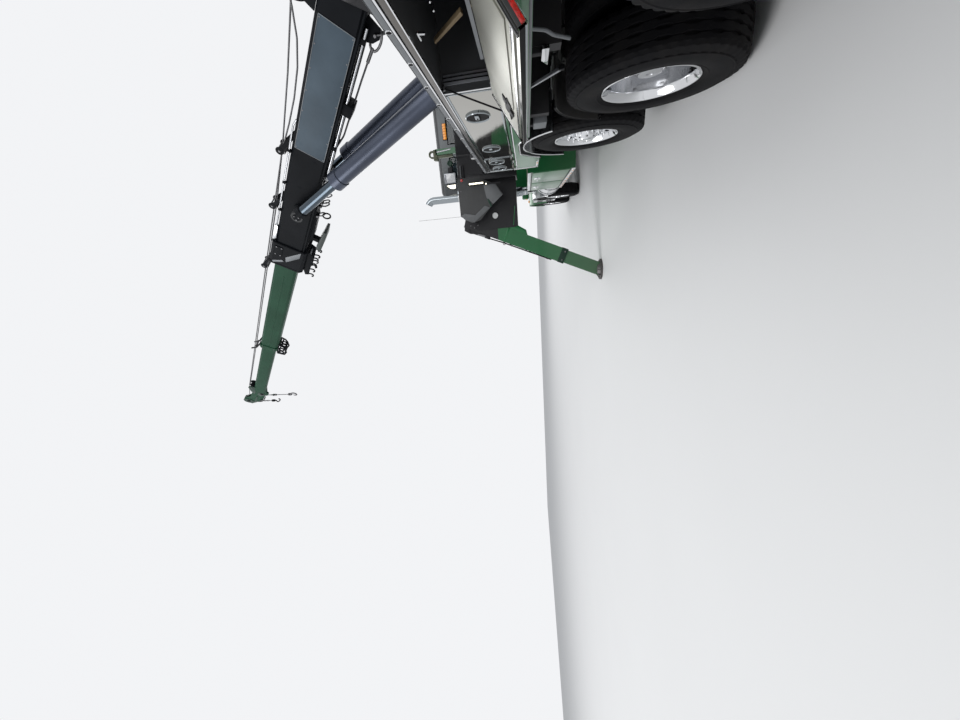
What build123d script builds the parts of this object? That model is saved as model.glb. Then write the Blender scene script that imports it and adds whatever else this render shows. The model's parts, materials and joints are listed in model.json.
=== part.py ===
"""A heavy rotating-boom recovery truck, in millimetres.

Truck axes: X forward from the middle of the truck's length, Y left from its
centreline, Z up from the ground. The boom is slewed to the left, raised and run
out, so every piece is moved sideways by ORIGIN_SHIFT_Y as it is written, which
puts the origin under the middle of the whole machine's box.
"""

import os
from math import cos, hypot, radians, sin

from build123d import *

# Stored frame
ORIGIN_SHIFT_Y = -2119.5  # the truck's centreline in the stored frame

# Running clearances
RUN = 0.3  # a pin in its bore, a slide on its pad, a ring on its seat
SWING = 6.0  # round a panel or lid that opens

# Wheels
TYRE_R = 530.0
TYRE_W = 290.0
TREAD_W = 230.0
RIM_R = 286.0
RIM_WALL = 24.0
RIM_W = 240.0
HUB_R = 110.0
SPINDLE_R = 50.0
WHEEL_OUTER_Y = 1280.0  # the outer tyre plane from the centreline
DUAL_SPACING = 340.0
LIFT_HEIGHT = 220.0  # how far the lift axle is raised

# Axle stations
STEER_1_X = 6300.0
STEER_2_X = 4030.0
LIFT_AXLE_X = -2260.0
DRIVE_1_X = -3500.0
DRIVE_2_X = -4872.0

# Chassis frame
RAIL_Y = 430.0  # the web's outer face
RAIL_BOTTOM_Z = 850.0
RAIL_H = 300.0
RAIL_FLANGE = 90.0
RAIL_T = 12.0
RAIL_FRONT_X = 7150.0
RAIL_REAR_X = -6800.0
RAIL_TOP_Z = RAIL_BOTTOM_Z + RAIL_H

CROSS_MEMBERS = (-6700.0, -5500.0, -4230.0, -2900.0, -1400.0, 300.0, 1700.0, 3300.0, 5000.0, 6900.0)

# Steering
KINGPIN_Y = 900.0
KINGPIN_R = 24.0
KINGPIN_BOSS_R = 52.0
KINGPIN_BOSS_H = 150.0
KNUCKLE_LUG_T = 36.0
KNUCKLE_PLATE_Y = 975.0
KNUCKLE_PLATE_T = 30.0

# Hood, cab and front end
NOSE_X = 7420.0
BUMPER_DEPTH = 220.0
BUMPER_BOTTOM_Z = 420.0
BUMPER_TOP_Z = 900.0
BUMPER_HALF_W = 1240.0
BUMPER_T = 30.0
HOOD_FRONT_X = 7120.0
HOOD_REAR_X = 5190.0
HOOD_BOTTOM_Z = 1200.0
HOOD_FRONT_TOP_Z = 2080.0
HOOD_REAR_TOP_Z = 2300.0
HOOD_FRONT_HALF_W = 560.0
HOOD_REAR_HALF_W = 880.0
HOOD_WALL = 20.0
HOOD_ROUND = 110.0
HOOD_HINGE_X = 7250.0
HOOD_HINGE_Z = 1000.0
HOOD_HINGE_Y = 470.0
HOOD_HINGE_R = 18.0
FENDER_R = 690.0
FENDER_T = 22.0
FENDER_OUTER_Y = 1270.0
GRILLE_T = 60.0
GRILLE_FRAME = 60.0
GRILLE_BAR_W = 16.0
GRILLE_BARS = 9
CAB_REAR_X = 3540.0
CAB_FRONT_X = 5180.0
CAB_HALF_W = 1010.0
CAB_FLOOR_Z = 1190.0
CAB_COWL_Z = 2300.0
CAB_ROOF_Z = 3500.0
CAB_WALL = 45.0
WINDSCREEN_TOP_X = 4900.0
WINDSCREEN_TOP_Z = 3240.0
CAB_ROUND = 110.0
DOOR_REAR_X = 4160.0
DOOR_FRONT_X = 5080.0
DOOR_BOTTOM_Z = 1270.0
DOOR_TOP_Z = 3140.0
DOOR_SILL_Z = 2330.0
GLASS_T = 8.0
WINDOW_EDGE = 90.0
REAR_WINDOW_W = 560.0
REAR_WINDOW_H = 520.0
REAR_WINDOW_Y = 430.0
REAR_WINDOW_Z = 2920.0

# Engine, tanks, steps and stacks
ENGINE_X = (5350.0, 6750.0)
ENGINE_HALF_W = 320.0
ENGINE_Z = (700.0, 1900.0)
TANK_R = 310.0
TANK_X = (1850.0, 3180.0)
TANK_Y = 960.0
TANK_Z = 810.0
STEP_BOX_X = (4830.0, 5500.0)
STEP_BOX_Y = (840.0, 1250.0)
STEP_BOX_Z = (520.0, 1120.0)
STACK_X = 3330.0
STACK_Y = 1110.0
STACK_R = 90.0
STACK_BOTTOM_Z = 1300.0
STACK_TOP_Z = 3830.0
STACK_BEND_R = 170.0

# Side toolboxes below the outriggers
TOOLBOX_X = (-620.0, 1680.0)
TOOLBOX_Y = (560.0, 1280.0)
TOOLBOX_Z = (640.0, 1310.0)

# Recovery body
BODY_FRONT_X = -1070.0
BODY_REAR_X = -6860.0
BODY_INNER_Y = 560.0
BODY_OUTER_Y = 1280.0
BODY_BOTTOM_Z = 1180.0
BODY_DOOR_BOTTOM_Z = 1480.0
BODY_DOOR_TOP_Z = 1810.0
BODY_TOP_Z = 1880.0
BODY_DOOR_T = 28.0
DROP_DOOR_OPEN = 121.0  # degrees from closed to the cables' stop
BAY_BACK_Y = 640.0
# name, rear end, front end of each side bay
BAYS = (
    ("1", -1930.0, -1100.0),
    ("2", -3940.0, -1950.0),
    ("3", -5245.0, -3960.0),
    ("4", -6800.0, -5265.0),
)
OPEN_BAY = "3"
ARCH_R = 690.0

# Deck and turntable pedestal
DECK_Z = 1500.0
DECK_T = 30.0
SLEW_X = -820.0
PEDESTAL_R = 540.0
PEDESTAL_TOP_Z = 1900.0

# Front outriggers
HOUSING_X = (420.0, 980.0)
HOUSING_HALF_Y = 1150.0
HOUSING_Z = (1500.0, 2500.0)
HOUSING_WALL = 20.0
ARM_W = 230.0
ARM_X = {"left": 840.0, "right": 560.0}  # the two arms lie side by side
ARM_TOP_GAP = 40.0
ARM_OUT = 400.0  # how far each arm is run out
ARM_ROOT_Y = 80.0
ARM_BOX_END_Y = 1560.0
ARM_CHEEK_END_Y = 1960.0
ARM_CHEEK_T = 24.0
LEG_PIN_Y = 1830.0
LEG_PIN_Z = 2330.0
LEG_PIN_R = 35.0
LEG_TILT = 24.0  # degrees from upright
LEG_DEPTH = 260.0
LEG_WALL = 14.0
LEG_TOP = 170.0  # above the pin along the leg
LEG_SLEEVE_END = 1830.0
FOOT_ROOT = 700.0
FOOT_PAD_R = 190.0
FOOT_PAD_T = 30.0

# Rear stabilisers and underlift
TAIL_FRONT_X = -6880.0
TAIL_REAR_X = -7080.0
TAIL_HALF_W = 1200.0
TAIL_Z = (700.0, 1500.0)
JACK_X = -6980.0
JACK_Y = 1020.0
JACK_W = 150.0
JACK_FOOT_Z = 180.0
UNDERLIFT_X = -7180.0
UNDERLIFT_Z = 620.0
UNDERLIFT_W = 220.0
UNDERLIFT_TOP_Z = 1560.0
CROSSBAR_HALF_W = 620.0
CROSSBAR_H = 140.0
TAIL_END_X = -7420.0
LUG_Y = 760.0
LUG_T = 40.0
LUG_Z = 820.0
LUG_REACH = 90.0  # the hole from the tail's rear face
LUG_HOLE_R = 26.0

# Turret and boom, in the boom's own vertical plane through the slew axis
SLEW_AZIMUTH = 51.7  # degrees left of forward
LUFF_REST = 40.3  # degrees above level
TURRET_R = 520.0
TURRET_PLATE_T = 60.0
TURRET_PLATE_R = 780.0
PIVOT_BACK = 1000.0  # behind the slew axis
PIVOT_Z = 3160.0
PIVOT_R = 60.0
CHEEK_INNER = 232.0
CHEEK_T = 45.0
CYL_BACK = 50.0  # the lift cylinders' base pin behind the slew axis
CYL_BASE_Z = 2180.0
CYL_OFFSET = 385.0  # each lift cylinder from the boom's middle plane
CYL_BARREL_R = 130.0
CYL_ROD_R = 80.0
CYL_PIN_R = 45.0
CYL_BARREL_L = 2400.0
CYL_EYE_W = 130.0
ROD_PIN_ALONG = 3300.0  # from the boom's pivot
ROD_PIN_DROP = 40.0

# Boom sections: distances along the boom from its pivot
BASE_REAR = -450.0
BASE_FRONT = 4920.0
BASE_DEPTH = 520.0
BASE_WIDTH = 440.0
BASE_WALL = 16.0
BASE_HOLLOW_REAR = 250.0
COLLAR_REAR = 4300.0
COLLAR_DEPTH = 630.0
COLLAR_WIDTH = 500.0
MID_REAR = 3850.0
MID_FRONT = 8720.0
MID_DEPTH = 430.0
MID_WIDTH = 370.0
MID_WALL = 14.0
TIP_REAR = 7600.0
TIP_FRONT = 12100.0
TIP_DEPTH = 350.0
TIP_WIDTH = 300.0
TIP_WALL = 12.0
PAD_L = 150.0
BOOM_CHAMFER = 50.0
SHEAVE_AHEAD = 300.0  # the main sheave's axis ahead of the tip section's end
SHEAVE_ALONG = TIP_FRONT + SHEAVE_AHEAD
SHEAVE_DROP = 90.0
SHEAVE_R = 190.0
SHEAVE_W = 60.0
NOSE_SHEAVE_AHEAD = 940.0  # the nose sheave's axis ahead of the main one's
NOSE_SHEAVE_ALONG = SHEAVE_ALONG + NOSE_SHEAVE_AHEAD
NOSE_SHEAVE_RISE = 280.0
NOSE_SHEAVE_R = 160.0
HEAD_AHEAD = 200.0  # the head's end ahead of the nose sheave's axis
HEAD_END = NOSE_SHEAVE_ALONG + HEAD_AHEAD
HEAD_T = 30.0
HEAD_ROOT = 250.0  # how far the head reaches back over the tip section
HOOK_ROPE_R = 12.0
HOOK_STUB = 300.0  # the line from the sheave to the hook's shackle
HOOK_DROP = 1000.0
SHACKLE_R = 11.0

# Winches on the boom's rear
WINCH_R = 150.0
WINCH_FLANGE_R = 215.0
WINCH_HALF_W = 170.0
WINCH_PLACES = ((-230.0, 520.0), (280.0, 520.0))  # along, above the boom's axis

# Outlines, in the plane named beside each
PILLAR_W = 80.0
FENDER_END_Z = 200.0  # the arch's ends above the axle
CAB_HINGES = (1500.0, 2150.0)
CAB_HINGE_R = 14.0
CAB_HINGE_L = 60.0
SEAT_X = 3900.0
SEAT_Y = 480.0
SEAT_W = 520.0
SEAT_L = 520.0
SEAT_BASE_H = 320.0
SEAT_CUSHION_H = 140.0
SEAT_BACK_H = 800.0
SEAT_BACK_T = 130.0
STEERING_R = 230.0
STEERING_RIM = 35.0
STEP_LEVELS = (600.0, 850.0)
STACK_BEND = 60.0
STACK_BRACKETS = (2300.0, 3000.0)
QUARTER_Y = (960.0, 1275.0)
QUARTER_T = 12.0
LIFT_GUARD_R = 600.0
DRIVE_GUARD_R = 595.0
STEER_GUARD_R = 640.0
QUARTER_STAY_Z = 1060.0
ARCH_TOP = 650.0  # the flat top of the arch above the lift axle
DRIVE_ARCH_Z = 1300.0  # the body's raised edge over the drive wheels
DRIVE_ARCH_END = 700.0  # how far it reaches behind the last axle
SUBFRAME_FRONT_X = 1400.0
BEARERS = (-6700.0, -5400.0, -4200.0, -3100.0, -1350.0)
BODY_HINGE_Z = 1486.0
HINGE_R = 14.0
HINGE_L = 60.0
HINGE_INSET = 160.0
POST_X = 700.0
POST_Y = 600.0
POST_W = 90.0
POST_TOP_Z = 2900.0
UNDERLIFT_PIN_R = 30.0
CHEEK_BOSS_R = 150.0
CYL_EAR_T = 30.0
CYL_EYE_R = 85.0
CYL_BODY_START = 125.0
CYL_BORE_START = 300.0
ROD_ROOT = 1270.0
ROD_EYE_R = 95.0
ROD_EYE_W = 110.0
ROD_BOSS = 30.0
ROD_BOSS_R = 110.0
PIVOT_BOSS_R = 130.0

# Worked out from the values above
AZ = radians(SLEW_AZIMUTH)
EL = radians(LUFF_REST)
LEVEL = Vector(cos(AZ), sin(AZ), 0)
LEFT = Vector(-sin(AZ), cos(AZ), 0)
ALONG = Vector(cos(EL) * cos(AZ), cos(EL) * sin(AZ), sin(EL))
ABOVE = Vector(-sin(EL) * cos(AZ), -sin(EL) * sin(AZ), cos(EL))
SLEW = Vector(SLEW_X, 0, 0)
UP = Vector(0, 0, 1)
PIVOT = SLEW - LEVEL * PIVOT_BACK + UP * PIVOT_Z
SINGLE_Y = WHEEL_OUTER_Y - TYRE_W / 2
DUAL_MID_Y = SINGLE_Y - DUAL_SPACING / 2
LIFT_Z = TYRE_R + LIFT_HEIGHT
TURRET_Z = PEDESTAL_TOP_Z + RUN
TURRET_PLATE_Z = TURRET_Z + TURRET_PLATE_T
TURRET_TOP_Z = TURRET_PLATE_Z + TURRET_PLATE_T
BODY_HINGE_Y = BODY_OUTER_Y + HINGE_R
DRIVE_ARCH_X = (DRIVE_2_X - DRIVE_ARCH_END, LIFT_AXLE_X - ARCH_R / 2)
SIDES = (("left", 1), ("right", -1))
# The turret's cheek: forward of the slew axis, height
CHEEK_OUTLINE = [
    (-230, TURRET_TOP_Z - 5), (-1050, TURRET_TOP_Z - 5), (-PIVOT_BACK - 180, PIVOT_Z - 160),
    (-PIVOT_BACK - 140, PIVOT_Z + 90), (-PIVOT_BACK + 110, PIVOT_Z + 110),
    (-PIVOT_BACK + 260, PIVOT_Z - 160), (-230, TURRET_TOP_Z + 420),
]
# The boom head's cheek: along the boom, above its axis
HEAD_OUTLINE = [
    (TIP_FRONT - HEAD_ROOT, -TIP_DEPTH / 2 + 5), (TIP_FRONT - HEAD_ROOT, TIP_DEPTH / 2 - 5),
    (NOSE_SHEAVE_ALONG - 420, NOSE_SHEAVE_RISE - 20), (NOSE_SHEAVE_ALONG - 150, NOSE_SHEAVE_RISE + 150),
    (NOSE_SHEAVE_ALONG + 60, NOSE_SHEAVE_RISE + 180), (HEAD_END - 30, NOSE_SHEAVE_RISE + 60),
    (HEAD_END, NOSE_SHEAVE_RISE - 130), (SHEAVE_ALONG + 620, -SHEAVE_DROP - 60),
    (SHEAVE_ALONG + 160, -SHEAVE_DROP - 100), (SHEAVE_ALONG - 120, -SHEAVE_DROP - 130),
]
# along, above, radius
HEAD_SHEAVES = (
    (SHEAVE_ALONG, -SHEAVE_DROP, SHEAVE_R),
    (NOSE_SHEAVE_ALONG, NOSE_SHEAVE_RISE, NOSE_SHEAVE_R),
)
# station, centre height, radius, start angle, swept angle
QUARTER_FENDERS = (
    (LIFT_AXLE_X, LIFT_Z, LIFT_GUARD_R, 15.0, 130.0),
    (DRIVE_1_X, TYRE_R, DRIVE_GUARD_R, 20.0, 60.0),
    (DRIVE_2_X, TYRE_R, DRIVE_GUARD_R, 100.0, 60.0),
    (STEER_2_X, TYRE_R, STEER_GUARD_R, 25.0, 130.0),
)


def save(piece, node):
    """Label a finished piece and write it in the stored frame."""
    placed = piece.part.moved(Location((0, ORIGIN_SHIFT_Y, 0)))
    placed.label = node
    export_step(placed, f"parts/{node}.step")


def box(x, y, z, mode=Mode.ADD):
    """A block between two values on each axis."""
    with Locations(((x[0] + x[1]) / 2, (y[0] + y[1]) / 2, (z[0] + z[1]) / 2)):
        Box(abs(x[1] - x[0]), abs(y[1] - y[0]), abs(z[1] - z[0]), mode=mode)


def span(side, low, high):
    """A stretch of Y on one side of the truck."""
    return tuple(sorted((side * low, side * high)))


def prism(plane, points, depth, both=False, mode=Mode.ADD):
    """An outline of straight edges, pushed out along its plane's normal."""
    with BuildSketch(plane) as outline:
        with BuildLine():
            Polyline(*points, close=True)
        make_face()
    extrude(outline.sketch, amount=depth, both=both, mode=mode)


def rod(start, end, radius, mode=Mode.ADD):
    """A round bar between two points."""
    run = Vector(*end) - Vector(*start)
    with BuildSketch(Plane(origin=start, z_dir=run)) as circle:
        Circle(radius)
    extrude(circle.sketch, amount=run.length, mode=mode)


def spin(plane, points, axis):
    """An outline of straight edges, turned once round an axis."""
    with BuildSketch(plane) as outline:
        with BuildLine():
            Polyline(*points, close=True)
        make_face()
    revolve(outline.sketch, axis=axis)


def chamfered(plane, width, depth, cut):
    """A box section's outline with its four corners cut off, as a sketch."""
    w, d = width / 2, depth / 2
    with BuildSketch(plane) as outline:
        with BuildLine():
            Polyline(
                (-w, -d + cut), (-w + cut, -d), (w - cut, -d), (w, -d + cut),
                (w, d - cut), (w - cut, d), (-w + cut, d), (-w, d - cut),
                close=True,
            )
        make_face()
    return outline.sketch


def boom_point(along, above=0.0, left=0.0):
    """A point of the boom from its pivot."""
    return PIVOT + ALONG * along + ABOVE * above + LEFT * left


def boom_side(left=0.0):
    """The boom's side view: X along it, Y above it, at a distance to its left."""
    return Plane(origin=boom_point(0, 0, left), x_dir=ALONG, z_dir=LEFT * -1)


def boom_cross(along):
    """A plane across the boom, its X to the left and its Y above."""
    return Plane(origin=boom_point(along), x_dir=LEFT, z_dir=ALONG)


def turret_point(forward, height, left=0.0):
    """A point of the turret, from the slew axis at ground level."""
    return SLEW + LEVEL * forward + UP * height + LEFT * left


def turret_side(left=0.0):
    """The turret's side view: X level ahead of the slew axis, Y up."""
    return Plane(origin=turret_point(0, 0, left), x_dir=LEVEL, z_dir=LEFT * -1)


def wheel_plane(x, side, z):
    """X out from a wheel's axis, Y outward from the truck's centreline."""
    return Plane(origin=(x, 0, z), x_dir=(1, 0, 0), z_dir=(0, 0, side))


def wheel_axis(x, side, z):
    """A wheel's axis, outward."""
    return Axis((x, 0, z), (0, side, 0))


def tyre(plane, axis, y):
    """One tyre, its middle at y from the centreline."""
    bead = RIM_R + RUN
    half, tread = TYRE_W / 2, TREAD_W / 2
    bead_half = RIM_W / 2 - 15
    low, high = bead + 80, TYRE_R - 45
    spin(
        plane,
        (
            (bead, y - bead_half), (low, y - half), (high, y - half), (TYRE_R, y - tread),
            (TYRE_R, y + tread), (high, y + half), (low, y + half), (bead, y + bead_half),
        ),
        axis,
    )


def single_wheel(x, side, z):
    """A wheel with one tyre, its disc near the outer face."""
    plane, axis = wheel_plane(x, side, z), wheel_axis(x, side, z)
    y, half = SINGLE_Y, RIM_W / 2
    inner_r = RIM_R - RIM_WALL
    with BuildPart() as wheel:
        tyre(plane, axis, y)
        spin(plane, ((inner_r, y - half), (RIM_R, y - half), (RIM_R, y + half), (inner_r, y + half)), axis)
        bore = SPINDLE_R + RUN
        face = y + 60
        spin(
            plane,
            (
                (bore, KNUCKLE_PLATE_Y + 45), (HUB_R, KNUCKLE_PLATE_Y + 45), (HUB_R, face - 30),
                (inner_r + 5, face), (inner_r + 5, face + 22), (HUB_R, face - 5), (HUB_R, y + 130),
                (HUB_R - 30, y + 150), (0, y + 150), (0, y + 120), (bore, y + 120),
            ),
            axis,
        )
    return wheel


def dual_wheel(x, side, z):
    """Two tyres on one hub, the outer rim deeply dished."""
    plane, axis = wheel_plane(x, side, z), wheel_axis(x, side, z)
    inner_r, half = RIM_R - RIM_WALL, RIM_W / 2
    inner_y, outer_y = SINGLE_Y - DUAL_SPACING, SINGLE_Y
    with BuildPart() as wheel:
        tyre(plane, axis, inner_y)
        tyre(plane, axis, outer_y)
        spin(
            plane,
            (
                (inner_r, inner_y - half), (RIM_R, inner_y - half),
                (RIM_R, outer_y + half), (inner_r, outer_y + half),
            ),
            axis,
        )
        bore = SPINDLE_R + RUN
        web = DUAL_MID_Y
        spin(
            plane,
            (
                (bore, web - 120), (HUB_R, web - 120), (HUB_R, web - 12), (inner_r + 5, web - 12),
                (inner_r + 5, web + 12), (HUB_R, web + 12), (HUB_R, outer_y + 40),
                (HUB_R - 25, outer_y + 60), (0, outer_y + 60), (0, outer_y + 20), (bore, outer_y + 20),
            ),
            axis,
        )
    return wheel


# Wheels: name, station, height, whether twin
WHEELS = (
    ("steer_1", STEER_1_X, TYRE_R, False),
    ("steer_2", STEER_2_X, TYRE_R, False),
    ("lift", LIFT_AXLE_X, LIFT_Z, False),
    ("drive_1", DRIVE_1_X, TYRE_R, True),
    ("drive_2", DRIVE_2_X, TYRE_R, True),
)


def make_wheels():
    for name, x, z, twin in WHEELS:
        for side_name, side in SIDES:
            made = dual_wheel(x, side, z) if twin else single_wheel(x, side, z)
            save(made, f"wheel_{name}_{side_name}")


def make_frame():
    with BuildPart() as frame:
        for side in (1, -1):
            web = span(side, RAIL_Y - RAIL_T, RAIL_Y)
            flange = span(side, RAIL_Y - RAIL_FLANGE, RAIL_Y)
            rails = (RAIL_REAR_X, RAIL_FRONT_X)
            box(rails, web, (RAIL_BOTTOM_Z, RAIL_TOP_Z))
            box(rails, flange, (RAIL_BOTTOM_Z, RAIL_BOTTOM_Z + RAIL_T))
            box(rails, flange, (RAIL_TOP_Z - RAIL_T, RAIL_TOP_Z))
        inner = RAIL_Y - RAIL_T
        for x in CROSS_MEMBERS:
            box((x, x + 90), (-inner, inner), (RAIL_BOTTOM_Z + 60, RAIL_TOP_Z - 60))
    save(frame, "chassis_frame")


def steer_axle(x):
    """A dropped beam with a boss for each kingpin, and a leaf spring under each rail."""
    beam_z = (TYRE_R - 65, TYRE_R + 35)
    drop_z = (TYRE_R - 150, TYRE_R - 50)
    box((x - 55, x + 55), (-520, 520), drop_z)
    for side in (1, -1):
        prism(
            Plane.YZ.offset(x - 55),
            [
                (side * 500, drop_z[0]), (side * 620, beam_z[0]), (side * (KINGPIN_Y - 20), beam_z[0]),
                (side * (KINGPIN_Y - 20), beam_z[1]), (side * 600, beam_z[1]), (side * 500, drop_z[1]),
            ],
            110,
        )
        low = TYRE_R - KINGPIN_BOSS_H / 2
        rod((x, side * KINGPIN_Y, low), (x, side * KINGPIN_Y, low + KINGPIN_BOSS_H), KINGPIN_BOSS_R)
        rod(
            (x, side * KINGPIN_Y, low - 10),
            (x, side * KINGPIN_Y, low + KINGPIN_BOSS_H + 10),
            KINGPIN_R + RUN,
            mode=Mode.SUBTRACT,
        )
        spring(x, side, drop_z[1], 700.0)


def spring(x, side, seat_z, half_l):
    """A pack of leaves on an axle, hung from the rail at both ends."""
    y = span(side, RAIL_Y - 85, RAIL_Y - 5)
    top = RAIL_BOTTOM_Z
    box((x - 90, x + 90), y, (seat_z, seat_z + 130))
    prism(
        Plane.XZ.offset(-y[1]),
        [
            (x - half_l, top - 90), (x - 150, seat_z + 70), (x + 150, seat_z + 70), (x + half_l, top - 90),
            (x + half_l, top - 50), (x + 150, seat_z + 130), (x - 150, seat_z + 130), (x - half_l, top - 50),
        ],
        y[1] - y[0],
    )
    for end in (x - half_l, x + half_l - 60):
        box((end, end + 60), y, (top - 100, top))


def drive_axle(x, z, gear):
    """A tube with a spindle at each end, and with a gear housing where it drives."""
    inner = DUAL_MID_Y - 130
    rod((x, -inner, z), (x, inner, z), 75)
    if gear:
        spin(
            Plane(origin=(x, 0, z), x_dir=(1, 0, 0), z_dir=(0, 0, 1)),
            ((0, -210), (150, -150), (215, -40), (215, 40), (150, 150), (0, 210)),
            Axis((x, 0, z), (0, 1, 0)),
        )
    for side in (1, -1):
        rod((x, side * inner, z), (x, side * (DUAL_MID_Y + 120), z), SPINDLE_R)
        box((x - 80, x + 80), span(side, RAIL_Y - 85, RAIL_Y - 5), (z, RAIL_BOTTOM_Z))


def lift_axle(x, z):
    """The raised axle: a tube below the rails with a spindle at each end."""
    inner = KNUCKLE_PLATE_Y - 20
    rod((x, -inner, z), (x, inner, z), 70)
    for side in (1, -1):
        rod((x, side * inner, z), (x, side * (SINGLE_Y + 100), z), SPINDLE_R)
        box((x - 80, x + 80), span(side, RAIL_Y - 85, RAIL_Y - 5), (z, RAIL_BOTTOM_Z))


def make_axles():
    with BuildPart() as axles:
        steer_axle(STEER_1_X)
        steer_axle(STEER_2_X)
        lift_axle(LIFT_AXLE_X, LIFT_Z)
        drive_axle(DRIVE_1_X, TYRE_R, True)
        drive_axle(DRIVE_2_X, TYRE_R, True)
    save(axles, "axles")


def make_knuckle(name, x, side):
    """The yoke on a steered axle's end, with its kingpin and the wheel's spindle."""
    low = TYRE_R - KINGPIN_BOSS_H / 2
    high = low + KINGPIN_BOSS_H
    with BuildPart() as knuckle:
        pin_low, pin_high = low - RUN - KNUCKLE_LUG_T, high + RUN + KNUCKLE_LUG_T
        rod((x, side * KINGPIN_Y, pin_low), (x, side * KINGPIN_Y, pin_high), KINGPIN_R)
        for lug_z in (low - RUN - KNUCKLE_LUG_T, high + RUN):
            rod((x, side * KINGPIN_Y, lug_z), (x, side * KINGPIN_Y, lug_z + KNUCKLE_LUG_T), KINGPIN_BOSS_R)
            lug_y = span(side, KINGPIN_Y, KNUCKLE_PLATE_Y + 5)
            box((x - 45, x + 45), lug_y, (lug_z, lug_z + KNUCKLE_LUG_T))
        plate = span(side, KNUCKLE_PLATE_Y, KNUCKLE_PLATE_Y + KNUCKLE_PLATE_T)
        box((x - 60, x + 60), plate, (low - RUN - KNUCKLE_LUG_T, high + RUN + KNUCKLE_LUG_T))
        rod((x, side * KNUCKLE_PLATE_Y, TYRE_R), (x, side * (SINGLE_Y + 100), TYRE_R), SPINDLE_R)
    save(knuckle, name)


def make_knuckles():
    for number, x in (("1", STEER_1_X), ("2", STEER_2_X)):
        for side_name, side in SIDES:
            make_knuckle(f"knuckle_{number}_{side_name}", x, side)


def make_front_end():
    back = NOSE_X - BUMPER_DEPTH
    with BuildPart() as bumper:
        prism(
            Plane.XY.offset(BUMPER_BOTTOM_Z),
            [
                (NOSE_X, -900), (NOSE_X, 900), (back + 20, BUMPER_HALF_W), (back - 10, BUMPER_HALF_W),
                (NOSE_X - BUMPER_T, 890), (NOSE_X - BUMPER_T, -890),
                (back - 10, -BUMPER_HALF_W), (back + 20, -BUMPER_HALF_W),
            ],
            BUMPER_TOP_Z - BUMPER_BOTTOM_Z,
        )
        for side in (1, -1):
            arm = span(side, RAIL_Y - RAIL_FLANGE, HOOD_HINGE_Y + 50)
            box((RAIL_FRONT_X, NOSE_X - BUMPER_T), arm, (BUMPER_TOP_Z - 140, BUMPER_TOP_Z))
            hinge_ears(side)
    save(bumper, "front_bumper")

    with BuildPart() as hood:
        hood_form(0)
        for side in (1, -1):
            fender(side)
        hood_form(HOOD_WALL, mode=Mode.SUBTRACT)
        beam = HOOD_FRONT_HALF_W - 5
        box((HOOD_FRONT_X - 60, HOOD_FRONT_X), (-beam, beam), (HOOD_BOTTOM_Z, HOOD_BOTTOM_Z + 40))
        for side in (1, -1):
            hood_strap(side)
    save(hood, "hood")

    with BuildPart() as grille:
        x = (HOOD_FRONT_X, HOOD_FRONT_X + GRILLE_T)
        half = HOOD_FRONT_HALF_W - 20
        low, high = HOOD_BOTTOM_Z + 20, HOOD_FRONT_TOP_Z - 40
        inner = half - GRILLE_FRAME
        box(x, (-half, half), (low, high))
        box(x, (-inner, inner), (low + GRILLE_FRAME, high - GRILLE_FRAME), mode=Mode.SUBTRACT)
        pitch = 2 * inner / (GRILLE_BARS + 1)
        for i in range(GRILLE_BARS):
            y = -inner + (i + 1) * pitch
            box(x, (y - GRILLE_BAR_W / 2, y + GRILLE_BAR_W / 2), (low + GRILLE_FRAME, high - GRILLE_FRAME))
    save(grille, "grille")

    mount_x = (ENGINE_X[0] + ENGINE_X[1]) / 2
    with BuildPart() as engine:
        box(ENGINE_X, (-ENGINE_HALF_W, ENGINE_HALF_W), ENGINE_Z)
        reach = RAIL_Y - RAIL_T
        box((mount_x - 60, mount_x + 60), (-reach, reach), (RAIL_BOTTOM_Z + 60, RAIL_TOP_Z - 60))
    save(engine, "engine")


def hinge_ears(side):
    """Two ears on the bumper's arm and the pin that the hood tilts on."""
    x, z = HOOD_HINGE_X, HOOD_HINGE_Z
    for y in (HOOD_HINGE_Y - 42, HOOD_HINGE_Y + 22):
        box((x - 40, x + 40), span(side, y, y + 20), (BUMPER_TOP_Z - 5, z + 40))
    rod((x, side * (HOOD_HINGE_Y - 42), z), (x, side * (HOOD_HINGE_Y + 42), z), HOOD_HINGE_R)


def hood_strap(side):
    """The strap from the hood's front beam down to its hinge pin."""
    x, z = HOOD_HINGE_X, HOOD_HINGE_Z
    front, low = HOOD_FRONT_X, HOOD_BOTTOM_Z
    y = span(side, HOOD_HINGE_Y - 21, HOOD_HINGE_Y + 21)
    prism(
        Plane.XZ.offset(-y[1]),
        [(front - 60, low + 20), (front, low + 20), (x + 36, z + 30), (x + 20, z - 34), (x - 34, z - 20)],
        y[1] - y[0],
    )
    rod((x, y[0], z), (x, y[1], z), HOOD_HINGE_R + RUN, mode=Mode.SUBTRACT)


def hood_form(inset, mode=Mode.ADD):
    """The hood's tapered form, or the space inside it."""
    over = 5 if inset else 0
    low = HOOD_BOTTOM_Z - over
    slope_w = (HOOD_REAR_HALF_W - HOOD_FRONT_HALF_W) / (HOOD_FRONT_X - HOOD_REAR_X)
    slope_t = (HOOD_REAR_TOP_Z - HOOD_FRONT_TOP_Z) / (HOOD_FRONT_X - HOOD_REAR_X)
    sections = []
    for x in (HOOD_REAR_X - over, HOOD_FRONT_X + over):
        w = HOOD_FRONT_HALF_W + slope_w * (HOOD_FRONT_X - x) - inset
        t = HOOD_FRONT_TOP_Z + slope_t * (HOOD_FRONT_X - x) - inset
        cut = HOOD_ROUND
        with BuildSketch(Plane.YZ.offset(x)) as section:
            with BuildLine():
                Polyline(
                    (-w, low), (w, low), (w, t - cut), (w - cut, t), (cut - w, t), (-w, t - cut), close=True
                )
            make_face()
        sections.append(section.sketch)
    loft(sections, ruled=True, mode=mode)


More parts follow.
